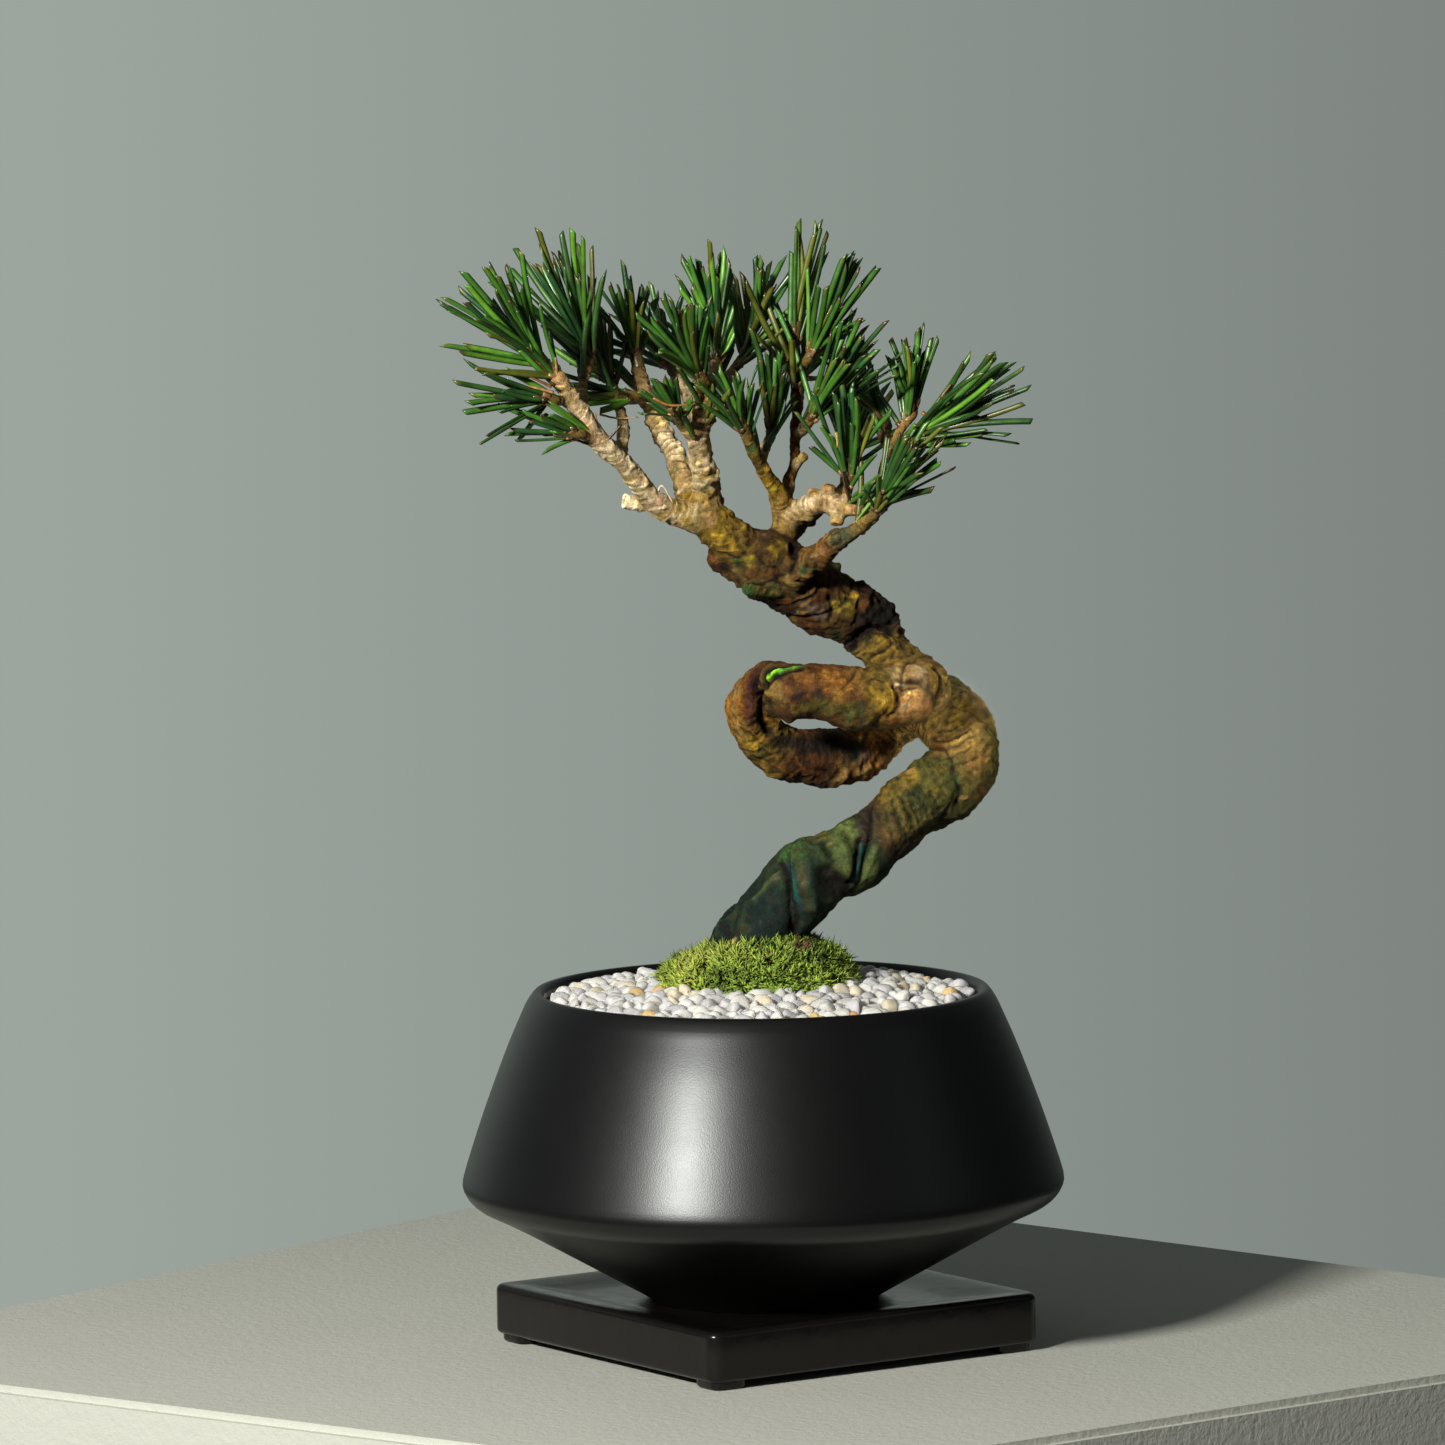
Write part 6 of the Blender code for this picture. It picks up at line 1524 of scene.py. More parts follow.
def blade(heap, root, way, side, length, bow, sway, slant, tint, tip_tint, draw):
    """One needle of a pair: half round, bowed a little, its blunt tip cut on a slant."""
    out = np.cross(way, side)
    if out[1] > 0:
        side, out = -side, -out
    while not inside_box(root + way * length + out * bow + side * sway) and length > 0.004:
        length *= 0.97
    rings, tints = [], []
    tone = draw.uniform(0.72, 1.35)
    broad = draw.uniform(0.82, 1.08)
    for share, width in zip(BLADE_ROWS, BLADE_WIDTHS):
        middle = root + way * (length * share) + (out * bow + side * sway) * share * share
        section = BLADE_SECTION * (broad * BLADE_WIDTH * width, BLADE_DEPTH * min(1, width + 0.1))
        ring = middle + section[:, :1] * side + section[:, 1:] * out
        ring += way * (slant * share ** 14 * BLADE_SECTION[:, :1])
        rings.append(ring)
        near_tip = float(step_between(0.93, 1.0, share))
        near_root = float(1 - step_between(0.0, 0.14, share))
        shade = np.array(tint) * (1 - near_tip) + np.array(tip_tint) * near_tip
        shade = shade * (1 - 0.5 * near_root) + np.array(LEAF["yellow"]) * 0.4 * near_root
        tints.append(shade * tone * BLADE_PAINTED_SHADES)
    heap.add_tube(rings, tints)


def sheath(heap, root, way, side, length, radius, tint):
    """The papery sheath round the foot of a pair of needles."""
    out = np.cross(way, side)
    turns = np.linspace(0, 2 * math.pi, 7, endpoint=False)
    rings, tints = [], []
    for share, width in SHEATH_WIDTHS:
        jag = 1 + 0.16 * np.sin(turns * 3 + share * 9)
        around = radius * width * jag[:, None] * circle(turns, side, out)
        rings.append(root + way * (length * share) + around)
        tints.append(np.tile(np.array(tint) * (0.7 + 0.5 * share), (len(turns), 1)))
    heap.add_tube(rings, tints)


def shoot(heap, spray):
    """The spray's core: a scaly shoot from its limb's end to a pointed bud."""
    points = core_path(spray)
    start, bend, tip = (p.to_3d() for p in points)
    onward = (bend - start).normalized()
    way = (tip - bend).normalized()
    foot = Vector((*(start - 0.0010 * onward), points[0].w))
    bud = Vector((*(tip + 0.0008 * way), 0.0009))
    limb = limb_from("core", [foot, *points, bud], "core", step=0.0003)
    turns = np.linspace(0, 2 * math.pi, 12, endpoint=False)
    plain = np.tile(np.array(WOOD["tan"]) * 0.8, (len(turns), 1))
    rings, tints = [], []
    for i, place in enumerate(limb.places):
        share = limb.along[i] / limb.along[-1]
        wave = np.sin(5 * turns + 2.4 * i)
        scale = 1 + 0.16 * wave * math.sin(math.pi * min(1, share * 1.5))
        radius = limb.radii[i] * (1.0 if share < 0.86 else max(0.12, (1 - share) / 0.14))
        rings.append(place + radius * scale[:, None] * circle(turns, limb.sides[i], limb.ups[i]))
        colour = mixed_with(plain, WOOD["olive"], np.full(len(turns), 0.3 + 0.4 * share))
        # Painted light on the raised scales and painted shade between them
        tints.append(colour * (0.7 + 0.5 * (wave > 0))[:, None])
    heap.add_tube(rings, tints)


def facing(way, draw):
    """The way to a blade's edge, with its broad side turned towards the front, more or less."""
    forward = np.array((0.0, -1.0, 0.15))
    out = forward - way * (forward @ way)
    if np.linalg.norm(out) < 0.35:
        out = np.array(Vector(way).orthogonal())
        turn = draw.uniform(0, 2 * math.pi)
    else:
        turn = draw.gauss(0, 0.75)
    out /= np.linalg.norm(out)
    return np.cross(out, way) * math.cos(turn) + out * math.sin(turn)


def pair_of_needles(heap, root, way, length, pair_share, draw):
    """One or two blades from one sheath."""
    side = facing(way, draw)
    tint = LEAF["brown"] if draw.random() < BROWN_SHARE else LEAF[draw.choice(KINDS)]
    open_by = math.radians(draw.uniform(2.5, 6.5))
    blades = 2 if draw.random() < pair_share else 1
    for which in range(blades):
        sign = 1 if which == 0 else -1
        lean = 0 if blades == 1 else sign * open_by
        way_here = way * math.cos(lean) + side * math.sin(lean)
        side_here = side * math.cos(lean) - way * math.sin(lean)
        foot = root + side * (sign * 0.00028 * (blades - 1))
        tip_tint = tint
        if draw.random() < 0.25:
            tip_tint = LEAF["tip"]
        elif draw.random() < 0.35:
            tip_tint = LEAF["olive"]
        span = length * (draw.uniform(0.93, 1.0) if which == 0 else draw.uniform(0.70, 0.97))
        curl = span / 0.018
        bow = draw.gauss(0.0004, 0.0016) * curl
        sway = draw.gauss(0, 0.0013) * curl
        slant = draw.choice((-1, 1)) * draw.uniform(0.0003, 0.0010)
        blade(heap, foot, way_here, side_here, span, bow, sway, slant, tint, tip_tint, draw)
    tone = draw.uniform(0.6, 1.2)
    long, wide = draw.uniform(0.0010, 0.0026), draw.uniform(0.00050, 0.00064)
    brown = np.array(draw.choice(SHEATHS)) * tone
    sheath(heap, root - 0.0003 * way, way, side, long, wide, brown)


def needle_spray(number, spray, needles, lines):
    """One spray: its shoot, a pair or single needle at each of the frame's needles, and more of
    them lower down, which keep near the frame's needles, given by lines."""
    draw = random.Random(SEED * 100 + number)
    heap = Heap()
    shoot(heap, spray)
    for root, tip in needles:
        root, tip = np.array(root), np.array(tip)
        length = float(np.linalg.norm(tip - root))
        stray = 0.20 if draw.random() < CROSSING_SHARE else 0.075
        way = (tip - root) / length + np.array([draw.gauss(0, stray) for axis in "xyz"])
        pair_of_needles(heap, root, way / np.linalg.norm(way), length, PAIR_SHARE, draw)
    path = through(BRANCHES[spray.limb], FILL_STEP)
    end = path[-1].to_3d()
    path = [p for p in path if (p.to_3d() - end).length < FILL_REACH][:-1]
    path += through(core_path(spray), FILL_STEP)[:-3]
    starts, ends = lines
    added_here = 0
    for _ in range(FILL_TRIES):
        if added_here == FILL_NEEDLES or len(path) < 3:
            break
        at = draw.randrange(1, len(path) - 1)
        onward = (path[at + 1].to_3d() - path[at - 1].to_3d()).normalized()
        lean = math.radians(draw.uniform(15, 80))
        turn = draw.uniform(0, 2 * math.pi)
        around = Matrix.Rotation(turn, 3, onward) @ onward.orthogonal().normalized()
        way = np.array(math.cos(lean) * onward + math.sin(lean) * around)
        root = np.array(path[at].to_3d() + path[at].w * 0.7 * around)
        length = draw.uniform(0.50, 1.0) * spray.longest
        spots = [root + way * length * share for share in (0.45, 0.75, 1.0)]
        near = all(rod_distances(p, p + 1e-6, starts, ends).min() < FILL_NEAR for p in spots)
        if near and inside_box(root + way * length, 0.001):
            pair_of_needles(heap, root, way, length, FILL_PAIR_SHARE, draw)
            added_here += 1
    name = f"needles_{number:02d}"
    piece(name, heap.mesh(name), "needles", needle_material, f"spray_{number:02d}")


# Small dry bits among the twigs: colour, radius, flatness and places (x, z), in millimetres
DRY_BITS = [
    ("rust_light", 0.45, 0.8, [(-30.0, 181.2), (-33.0, 182.2), (-35.3, 183.0)]),
    ("salmon", 0.45, 0.8, [(-30.0, 181.2), (-30.8, 184.8), (-31.4, 188.2)]),
    ("rust", 0.40, 0.7, [(-30.0, 181.2), (-28.2, 183.6), (-26.2, 185.8)]),
    ("salmon", 0.22, 1.0, [(-30.6, 187.0), (-27.0, 186.2), (-23.0, 186.4)]),
    ("rust_light", 0.35, 0.7, [(-39.7, 193.9), (-42.1, 195.1), (-44.7, 196.3)]),
    ("salmon", 0.35, 0.7, [(-39.3, 192.8), (-42.1, 193.6), (-44.9, 194.3)]),
    ("rust", 0.45, 0.7, [(-39.1, 193.9), (-40.7, 196.7), (-42.3, 199.1)]),
    ("salmon", 0.40, 0.7, [(-38.7, 194.3), (-38.7, 196.9), (-38.9, 199.5)]),
    ("orange", 0.35, 0.8, [(-19.9, 191.2), (-16.9, 189.8), (-13.1, 189.8)]),
    ("cream", 0.22, 1.0, [(-19.9, 169.8), (-18.5, 173.2), (-16.3, 169.8)]),
    ("orange", 0.50, 0.6, [(-8.3, 213.7), (-8.5, 215.5), (-8.7, 217.1)]),
    ("soot_and_painted_shade", 0.85, 0.4, [(24.2, 173.2), (27.4, 170.2), (31.6, 173.6)]),
    ("rust_dark", 0.80, 0.4, [(17.5, 175.6), (17.9, 172.8), (18.5, 170.0)]),
    ("orange", 0.45, 0.7, [(33.2, 186.4), (34.5, 185.4), (36.1, 184.8)]),
    ("rust_light", 0.40, 0.7, [(36.7, 190.0), (37.7, 191.4), (38.7, 192.8)]),
    ("yellow", 0.50, 0.7, [(16.1, 183.4), (16.3, 182.0), (16.3, 180.4)]),
    ("rust", 0.45, 0.7, [(-20.5, 199.1), (-19.3, 197.1), (-18.5, 195.1)]),
]


def dry_bits(lines):
    """Old sheaths, stalks, buds and scraps of dry leaf, on the twig or needle next to each."""
    heap = Heap()
    limbs = [limb_from(name, points, name) for name, points in BRANCHES.items()]
    middles = 0.5 * (lines[0] + lines[1])
    known = np.vstack([limb.places for limb in limbs] + [lines[0], middles])
    turns = np.linspace(0, 2 * math.pi, 8, endpoint=False)
    for key, radius, flat, spots in DRY_BITS:
        spots = np.array(spots) / 1000
        apart = np.hypot(known[:, 0] - spots[0, 0], known[:, 2] - spots[0, 1])
        y = known[apart.argmin(), 1] - 0.0010
        points = [Vector((x, y - 0.0003 * k, z, radius / 1000)) for k, (x, z) in enumerate(spots)]
        bit = limb_from("bit", points, "bit", step=0.0004)
        rings, tints = [], []
        for i, place in enumerate(bit.places):
            share = i / (len(bit.places) - 1)
            reach = bit.radii[i] * (1.05 - 0.5 * share) * (1 + 0.16 * np.sin(3 * turns + 1.7 * i))
            rings.append(place + reach[:, None] * circle(turns, bit.sides[i], bit.ups[i], flat))
            tone = 0.75 + 0.4 * math.sin(2.3 * i) ** 2
            tints.append(np.tile(np.array(WOOD[key]) * tone, (len(turns), 1)))
        heap.add_tube(rings, tints)
    piece("dry_bits", heap.mesh("dry_bits"), "needles", needle_material)


# Gravel and moss

GRAVEL_RADIUS = 0.0427
GRAVEL_EDGE = 0.0700          # its height at the pot's wall
GRAVEL_CROWN = 0.0030         # how much higher it would be in the middle
GRAIN_SIZE = 0.00228
GRAIN_PLANES = 9
GRAIN_SHARPNESS = 15.0        # of the edges between a grain's planes
# From the top one down: each layer's pitch, stray and distance from the wall
GRAVEL_LAYERS = ((0.0037, 0.0008, 0.0019), (0.0031, 0.0007, 0.0019), (0.0030, 0.0006, 0.0019))
LAYER_DEPTH = 0.0012
GRAVEL_BANK = 0.0008          # how much higher the grains lie against the moss
GRAIN_KINDS = ["white"] * 12 + ["cool"] * 5 + ["grey"] * 1 + ["cream"] * 2
TAN_SHARE = 0.02
GRAIN_BRIGHTEST = 0.86
MOSS_X = -0.0019
MOSS_HALF_WIDTH = 0.0216
MOSS_HALF_DEPTH = 0.0182
MOSS_LEFT_INSET = 0.0030      # the mound reaches less far on the left, as in the photograph
MOSS_EDGE = 0.0712
MOSS_RISE = 0.0122
MOSS_FLOOR = 0.0672
MOSS_TUFTS = 1500
MOSS_GROUND_INSET = 0.0006    # how far the ground stays inside the mound's edge
MOSS_GROUND_DEPTH = 0.0011    # and below the level that the tufts grow to
MOSS_AROUND, MOSS_RINGS = 110, 34
MOSS_TRUNK = (-0.002, 0.0078)   # no tuft grows in this circle (x, radius), where the trunk is
STONES = {
    "white": (0.63, 0.62, 0.58), "cool": (0.56, 0.55, 0.56), "grey": (0.48, 0.47, 0.48),
    "cream": (0.62, 0.55, 0.42), "tan": (0.60, 0.42, 0.20), "orange": (0.58, 0.30, 0.13),
    "dark": (0.18, 0.14, 0.11),
}


def unit_ball(subdivisions):
    ball = bmesh.new()
    bmesh.ops.create_icosphere(ball, subdivisions=subdivisions, radius=1)
    places = np.array([v.co[:] for v in ball.verts])
    faces = np.array([[v.index for v in f.verts] for f in ball.faces])
    ball.free()
    return places / np.linalg.norm(places, axis=1)[:, None], faces


def stone_shape(ball, rng):
    """A broken, water-worn grain: a ball cut by a few planes whose edges are rounded."""
    planes = rng.normal(size=(GRAIN_PLANES, 3))
    planes /= np.linalg.norm(planes, axis=1)[:, None]
    far = rng.uniform(0.62, 1.0, GRAIN_PLANES)
    towards = ball @ planes.T
    reach = np.where(towards > 0.08, far / np.maximum(towards, 0.08), 9.0)
    sharp = GRAIN_SHARPNESS
    radius = -np.log(np.exp(-reach * sharp).sum(1) + math.exp(-1.12 * sharp)) / sharp
    shape = ball * radius[:, None]
    shape = shape * (1 + 0.035 * noise(shape, 0.5, int(rng.integers(1, 900))))[:, None]
    return shape * (rng.uniform(0.92, 1.18), rng.uniform(0.82, 1.05), rng.uniform(0.68, 0.92))


def turned_any_way(shape, rng):
    quaternion = rng.normal(size=4)
    quaternion /= np.linalg.norm(quaternion)
    w, x, y, z = quaternion
    matrix = np.array([
        [1 - 2 * (y * y + z * z), 2 * (x * y - z * w), 2 * (x * z + y * w)],
        [2 * (x * y + z * w), 1 - 2 * (x * x + z * z), 2 * (y * z - x * w)],
        [2 * (x * z - y * w), 2 * (y * z + x * w), 1 - 2 * (x * x + y * y)],
    ])
    return shape @ matrix.T


def moss_share(x, y, inset=0):
    """0 in the middle of the moss mound and 1 at its edge."""
    return np.hypot((x - MOSS_X) / (moss_half_width(x) - inset), y / (MOSS_HALF_DEPTH - inset))


def bed_spots(pitch, stray, edge, rng):
    """Places of a loose six-sided lattice between the moss and the pot's wall."""
    row_pitch = pitch * math.sqrt(3) / 2
    rows = int(GRAVEL_RADIUS / row_pitch) + 1
    for row in range(-rows, rows + 1):
        for column in range(-2 * rows, 2 * rows + 1):
            x = (column + row / 2) * pitch + rng.uniform(-stray, stray)
            y = row * row_pitch + rng.uniform(-stray, stray)
            if math.hypot(x, y) <= GRAVEL_RADIUS - edge and moss_share(x, y, 0.001) > 1:
                yield x, y


# Single grains that the photograph shows: x and y in millimetres, colour, and how near a grain is
SPECIAL_STONES = [
    (-22.5, -30.5, "tan", 2.4), (-18.5, -37.5, "cream", 2.0), (19.5, -33.0, "orange", 1.5),
    (-5.0, -39.0, "tan", 1.5), (-25.5, -34.5, "dark", 0.7),
]


def gravel():
    """Loose grains in three layers, the lower ones coarser meshes."""
    rng = np.random.default_rng(SEED)
    heap = Heap()
    fine, coarse = unit_ball(3), unit_ball(2)
    for layer, (pitch, stray, edge) in enumerate(GRAVEL_LAYERS):
        ball, faces = fine if layer == 0 else coarse
        for x, y in bed_spots(pitch, stray, edge, rng):
            share = math.hypot(x, y) / GRAVEL_RADIUS
            level = GRAVEL_EDGE + GRAVEL_CROWN * (1 - share * share)
            level = level + GRAVEL_BANK * float(step_between(1.45, 1.0, moss_share(x, y)))
            size = GRAIN_SIZE * rng.uniform(0.70, 1.18)
            shape = turned_any_way(stone_shape(ball, rng), rng) * size
            height = level + 0.0012 - 0.85 * size + rng.uniform(-0.0005, 0.0004)
            colour = STONES[GRAIN_KINDS[int(rng.integers(len(GRAIN_KINDS)))]]
            if rng.random() < TAN_SHARE:
                colour = STONES["tan"]
            for spot_x, spot_y, key, reach in SPECIAL_STONES:
                if math.hypot(x * 1000 - spot_x, y * 1000 - spot_y) < reach:
                    colour = STONES[key]
            tints = np.minimum(np.array(colour) * rng.uniform(0.90, 1.06), GRAIN_BRIGHTEST)
            heap.add(shape + (x, y, height - LAYER_DEPTH * layer), faces, tints)
    piece("gravel_grains", heap.mesh("gravel_grains"), "gravel", gravel_material, "gravel")


def moss_half_width(x):
    left = np.asarray(x) < MOSS_X
    return np.where(left, MOSS_HALF_WIDTH - MOSS_LEFT_INSET, MOSS_HALF_WIDTH)


def moss_level(x, y):
    """The mound's height, lower on the left."""
    share = np.minimum(moss_share(x, y), 1)
    level = MOSS_EDGE + MOSS_RISE * np.sqrt(np.cos(share * math.pi / 2))
    return level - 0.0022 * step_between(0.003, 0.012, -np.asarray(x)) * (1 - share ** 4)


MOSS_GREEN = {
    "bright": (0.255, 0.350, 0.042), "yellow": (0.400, 0.430, 0.080),
    "green": (0.220, 0.330, 0.042), "dark": (0.070, 0.115, 0.018), "red": (0.180, 0.085, 0.045),
}


def moss_ground(heap):
    """The mound's lumpy ground, under the tufts."""
    turns = np.linspace(0, 2 * math.pi, MOSS_AROUND, endpoint=False)
    plain = np.tile(MOSS_GREEN["dark"], (len(turns), 1))
    rings, tints = [], []
    for share in np.linspace(0, 1, MOSS_RINGS) ** 0.8:
        share = max(share, 0.02)
        width = moss_half_width(MOSS_X + np.cos(turns)) - MOSS_GROUND_INSET
        x = MOSS_X + width * share * np.cos(turns)
        y = (MOSS_HALF_DEPTH - MOSS_GROUND_INSET) * share * np.sin(turns)
        ring = np.stack([x, y, moss_level(x, y) - MOSS_GROUND_DEPTH], 1)
        ring[:, 2] += 0.0008 * noise(ring, 0.0030, 41) + 0.0004 * noise(ring, 0.0012, 42)
        rings.append(ring)
        green = step_between(-0.4, 0.6, noise(ring, 0.003, 43))
        tints.append(mixed_with(plain, MOSS_GREEN["green"], green))
    base = rings[-1].copy()
    base[:, 2] = MOSS_FLOOR
    heap.add_tube(rings + [base], tints + [tints[-1]])


def moss_colour(spot, share):
    """A tuft's colour: painted light on the left, with yellow, dark and a few red ones."""
    x, y = spot[0, :2]
    clump = float(noise(spot, 0.0050, 44)[0])
    # Painted light: the left, which faces the key light, is brighter green
    left = float(step_between(0.006, -0.012, x))
    colour = np.array(MOSS_GREEN["green"]) * (1 - left) + np.array(MOSS_GREEN["bright"]) * left
    if clump > 0.15:
        colour = mixed_with(colour[None], MOSS_GREEN["yellow"], [0.6 * (0.3 + 0.7 * left)])[0]
    if clump < -0.35:
        colour = mixed_with(colour[None], MOSS_GREEN["dark"], [0.55])[0]
    before_trunk = abs(x - 0.0055) < 0.005 and y < 0 and share < 0.72
    if before_trunk and float(noise(spot, 0.002, 45)[0]) > 0.32:
        colour = np.array(MOSS_GREEN["red"])
    return colour * (1 + 0.35 * float(noise(spot, 0.0022, 47)[0]))


def moss():
    """A mound of moss: its ground under small star-shaped tufts."""
    rng = np.random.default_rng(SEED + 1)
    heap = Heap()
    moss_ground(heap)
    trunk_x, trunk_radius = MOSS_TRUNK
    near = 2e-4
    for i in range(MOSS_TUFTS):
        share = math.sqrt((i + 0.5) / MOSS_TUFTS)
        turn = i * GOLDEN_ANGLE + rng.uniform(-0.3, 0.3)
        width = float(moss_half_width(MOSS_X + math.cos(turn)))
        x = MOSS_X + width * share * math.cos(turn)
        y = MOSS_HALF_DEPTH * share * math.sin(turn)
        if math.hypot(x - trunk_x, y) < trunk_radius:
            continue
        lump = float(noise(np.array([[x, y, 0.0]]), 0.0032, 46)[0])
        spot = np.array([[x, y, float(moss_level(x, y)) + 0.0007 * lump]])
        slope = np.array([
            (moss_level(x + near, y) - moss_level(x - near, y)) / (2 * near),
            (moss_level(x, y + near) - moss_level(x, y - near)) / (2 * near),
        ])
        slope = slope * min(1, 2.0 / (np.linalg.norm(slope) + 1e-9))
        upward = np.array([-slope[0], -slope[1], 1.0])
        upward /= np.linalg.norm(upward)
        foot = spot[0] - rng.uniform(0.0006, 0.0018) * upward
        colour = moss_colour(spot, share)
        tuft(heap, foot, upward, colour, 0.0012 + 0.0018 * rng.random() ** 1.5, rng)
    piece("moss_mound", heap.mesh("moss_mound"), "moss", moss_material, "moss")


LEAF_FACES = [(0, 1, 3), (0, 3, 2), (0, 2, 1), (4, 3, 1), (4, 2, 3), (4, 1, 2)]
# Painted shade on a moss leaf: darkest at its foot in the tuft, lightest at its tip
LEAF_PAINTED_SHADES = np.array([0.55, 0.95, 0.95, 1.05, 1.35])[:, None]


def tuft(heap, foot, upward, colour, reach, rng):
    """A little star of leaves round one stem."""
    side = np.array(Vector(upward).orthogonal().normalized())
    out = np.cross(upward, side)
    leaves = int(rng.integers(8, 14))
    lean = rng.uniform(-0.35, 0.35, 2)
    stem = upward + lean[0] * side + lean[1] * out
    stem /= np.linalg.norm(stem)
    for k in range(leaves):
        turn = 2 * math.pi * (k + rng.uniform(-0.25, 0.25)) / leaves * 2.4
        tilt = math.radians(rng.uniform(18, 66))
        outward = math.cos(turn) * side + math.sin(turn) * out
        way = math.cos(tilt) * stem + math.sin(tilt) * outward
        across = np.cross(way, stem)
        across /= np.linalg.norm(across) + 1e-9
        root = foot + stem * (0.0003 + 0.0009 * rng.random())
        length = reach * rng.uniform(0.8, 1.35)
        width = 0.00022 * rng.uniform(0.8, 1.2)
        middle = root + way * length * 0.5
        lift = np.cross(across, way)
        places = [
            root, middle + across * width, middle - across * width, middle + lift * width * 0.6,
            root + way * length,
        ]
        heap.add(places, LEAF_FACES, LEAF_PAINTED_SHADES * colour * rng.uniform(0.65, 1.3))


# Pot and tray

# Profiles (radius, height), all but the underside's rounded between these points
POT_OUTSIDE = [
    (0.0451, 0.0718), (0.0456, 0.0713), (0.04615, 0.0706), (0.04683, 0.0695), (0.0476, 0.0679),
    (0.0510, 0.0600), (0.0555, 0.0480), (0.0587, 0.0384), (0.05955, 0.0356), (0.05988, 0.0344),
    (0.0600, 0.0332), (0.0593, 0.0314), (0.0574, 0.0295),
    (0.0528, 0.0272), (0.0458, 0.0234), (0.0245, 0.0113), (0.0230, 0.0103),
]
POT_UNDER = [(0.0198, 0.0103), (0.0190, 0.0123), (0.0070, 0.0123), (0.0070, 0.0153)]
POT_INSIDE = [
    (0.0200, 0.0153), (0.0458, 0.0280), (0.0535, 0.0322), (0.0552, 0.0355), (0.0520, 0.0465),
    (0.0464, 0.0605), (0.0434, 0.0685), (0.0432, 0.0708), (0.0441, 0.0718),
]
POT_STEPS = 192
POT_RADIUS = 0.0600
POT_HEIGHT = 0.0720
TRAY_SIDE = 0.079
TRAY_TURN = math.radians(34.5)
TRAY_TOP = 0.0115
TRAY_FOOT_HEIGHT = 0.0015
TRAY_DISH_FLOOR = 0.010
TRAY_CORNER = 0.003
TRAY_EDGE = 0.0012            # the radius of its rounded edges
TRAY_EDGE_STEPS = 6
TRAY_DISH_CORNER = 0.0022
# Half side, corner radius and height of each ring of a foot
TRAY_FOOT = [(0.0037, 0.0018, 0.0), (0.0040, 0.0020, 0.0004), (0.0040, 0.0020, 0.0030)]


def pot():
    """The turned pot, its profile rounded between the frame's own points."""
    outer = through([Vector((r, 0, z, 1)) for r, z in POT_OUTSIDE], 0.0009)
    inner = through([Vector((r, 0, z, 1)) for r, z in POT_INSIDE], 0.0016)
    profile = [(p[0], p[2]) for p in outer] + POT_UNDER + [(p[0], p[2]) for p in inner]
    profile = np.minimum(profile, (POT_RADIUS, POT_HEIGHT))
    turns = np.linspace(0, 2 * math.pi, POT_STEPS, endpoint=False)
    here = np.arange(len(profile) * POT_STEPS).reshape(-1, POT_STEPS)
    there = np.roll(here, -1, 0)
    quads = np.stack([here, there, np.roll(there, -1, 1), np.roll(here, -1, 1)], axis=-1)
    places = np.stack([
        profile[:, None, 0] * np.cos(turns), profile[:, None, 0] * np.sin(turns),
        np.repeat(profile[:, 1:], POT_STEPS, 1),
    ], axis=-1)
    mesh = mesh_of("pot_turned", places.reshape(-1, 3), quads.reshape(-1, 4).tolist())
    clean_normals(mesh)
    mesh.set_sharp_from_angle(angle=math.radians(50))
    piece("pot_turned", mesh, "pot_ceramic", pot_material, "pot")


def clean_normals(mesh):
    shape = bmesh.new()
    shape.from_mesh(mesh)
    bmesh.ops.recalc_face_normals(shape, faces=shape.faces)
    shape.to_mesh(mesh)
    shape.free()


def rounded_square(half, radius, count):
    """Points round a square with rounded corners, counter-clockwise."""
    points = []
    for k, (cx, cy) in enumerate([(1, 1), (-1, 1), (-1, -1), (1, -1)]):
        cx, cy = cx * (half - radius), cy * (half - radius)
        for i in range(count + 1):
            turn = k * math.pi / 2 + (math.pi / 2) * i / count
            points.append((cx + radius * math.cos(turn), cy + radius * math.sin(turn)))
    return np.array(points)


def ring_stack(levels, count=10):
    """Rings of a rounded square at (half side, corner radius, height)."""
    rings = []
    for half, radius, height in levels:
        flat = rounded_square(half, radius, count)
        rings.append(np.column_stack([flat, np.full(len(flat), height)]))
    return rings


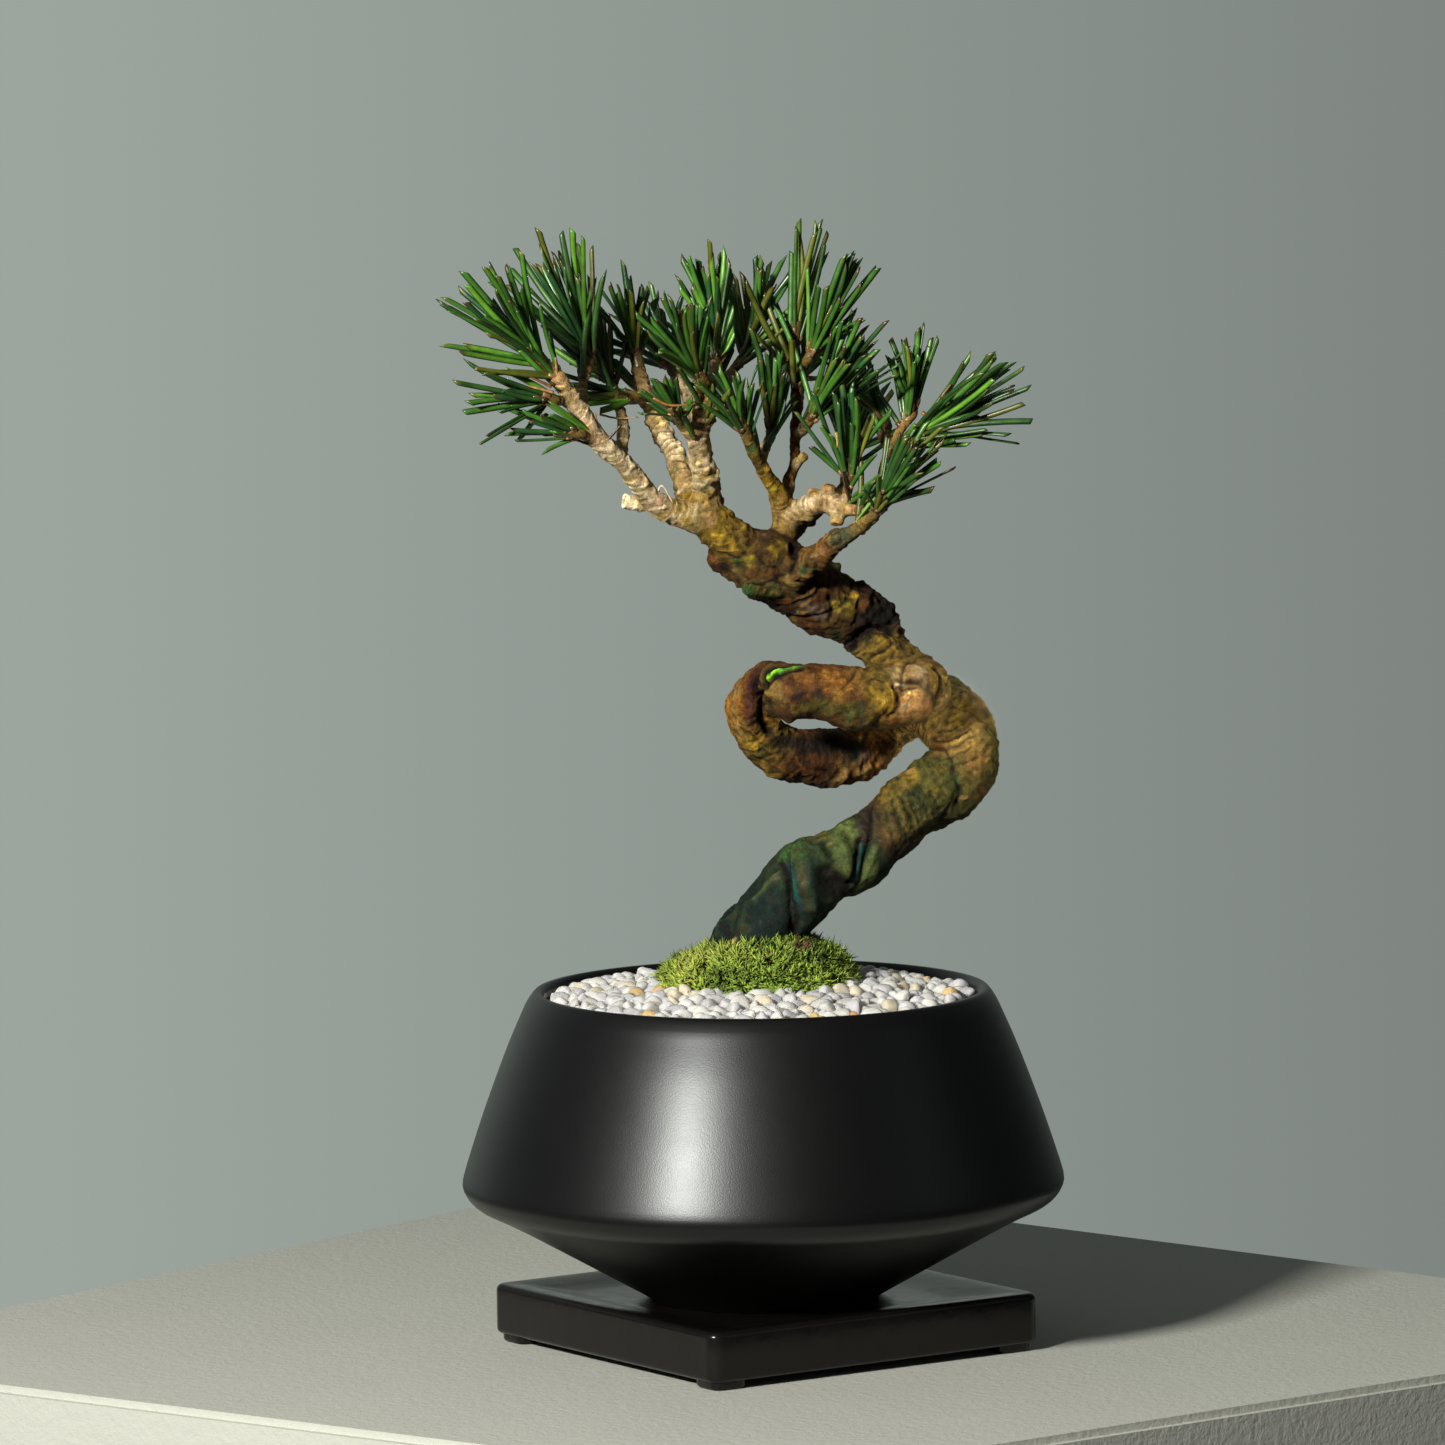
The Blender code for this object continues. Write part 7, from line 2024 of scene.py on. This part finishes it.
def tray():
    """The footed square tray: rounded edges, a dished top and a low foot under each corner."""
    half = TRAY_SIDE / 2
    turns = [math.pi / 2 * i / TRAY_EDGE_STEPS for i in range(TRAY_EDGE_STEPS + 1)]
    lower = [(math.sin(turn), math.cos(turn)) for turn in turns]
    upper = [(math.cos(turn), math.sin(turn)) for turn in turns]
    levels = []
    for edge, base, sign in ((lower, TRAY_FOOT_HEIGHT, 1), (upper, TRAY_TOP, -1)):
        for out, up in edge:
            inset = TRAY_EDGE * (1 - out)
            height = base + sign * TRAY_EDGE * (1 - up)
            levels.append((half - inset, TRAY_CORNER - inset, height))
    slope_out, slope_in = half - 0.0020, half - 0.0130
    for share in (0, 0.15, 0.5, 0.85, 1):
        at = slope_out + (slope_in - slope_out) * share
        fall = float(step_between(0, 1, share)) * (TRAY_TOP - TRAY_DISH_FLOOR)
        levels.append((at, TRAY_DISH_CORNER, TRAY_TOP - fall))
    levels.append((0.020, TRAY_DISH_CORNER, TRAY_DISH_FLOOR))
    heap = Heap()
    heap.add_tube(ring_stack(levels), (0, 0, 0))
    reach = half - TRAY_EDGE - 0.004
    for x, y in itertools.product((-reach, reach), repeat=2):
        heap.add_tube([ring + (x, y, 0) for ring in ring_stack(TRAY_FOOT, 6)], (0, 0, 0))
    mesh = heap.mesh("tray_glazed")
    clean_normals(mesh)
    mesh.set_sharp_from_angle(angle=math.radians(40))
    mesh.transform(Matrix.Rotation(TRAY_TURN, 4, "Z"))
    piece("tray_glazed", mesh, "tray_ceramic", tray_material, "tray")


wood_material = wood_finish()
needle_material = finish(
    "pine_needle", (300, 2), (0.70, 1.30), rough=((500, 2), 0.30, 0.44),
    bumps=[((900, 1), 0.00003)], Specular_IOR_Level=0.75,
)
moss_material = finish(
    "moss_leaf", (900, 2), (0.7, 1.3),
    bumps=[((3200, 3), 0.00015)], Roughness=0.6, Specular_IOR_Level=0.35,
)
gravel_material = finish(
    "white_gravel", (520, 4, 0.6), (0.88, 1.06), rough=((1200, 3), 0.48, 0.72),
    bumps=[((2200, 4, 0.6), 0.00016)], Specular_IOR_Level=0.4,
    Subsurface_Weight=0.85, Subsurface_Scale=0.0026, Subsurface_Radius=(1.0, 0.92, 0.85),
)
pot_material = finish(
    "pot_satin_black", (60, 4), ((0.0022, 0.0022, 0.0022), (0.0038, 0.0038, 0.0037)),
    rough=((90, 5, 0.7), 0.345, 0.365), bumps=[((3800, 2), 0.00002), ((70, 2), 0.00004)],
    Specular_IOR_Level=0.46, Specular_Tint=(0.94, 0.98, 1.0, 1),
)
tray_material = finish(
    "tray_gloss_black", (80, 3), ((0.0040, 0.0036, 0.0034), (0.0080, 0.0068, 0.0062)),
    rough=((260, 4, 0.7), 0.10, 0.24), bumps=[((160, 3), 0.00008)], Specular_IOR_Level=0.28,
)
net_material = finish(
    "drain_net", (900, 3), ((0.030, 0.031, 0.030), (0.070, 0.068, 0.062)),
    rough=((700, 2), 0.42, 0.60), bumps=[((2500, 2), 0.00006)], Specular_IOR_Level=0.4,
)

place_camera()
floor()
studio()
for name, settings in LIGHTS.items():
    softbox(name, **settings)
for name, material in (("soil", soil_finish()), ("drainage_mesh", net_material)):
    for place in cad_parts[name].material_slots:
        place.material = material
tray()
pot()
gravel()
moss()
wood()
grown = grown_needles(SPRAYS)
lines = [np.array([ends[k] for needles in grown for ends in needles]) for k in (0, 1)]
for number, (spray, needles) in enumerate(zip(SPRAYS, grown), 1):
    needle_spray(number, spray, needles, lines)
dry_bits(lines)
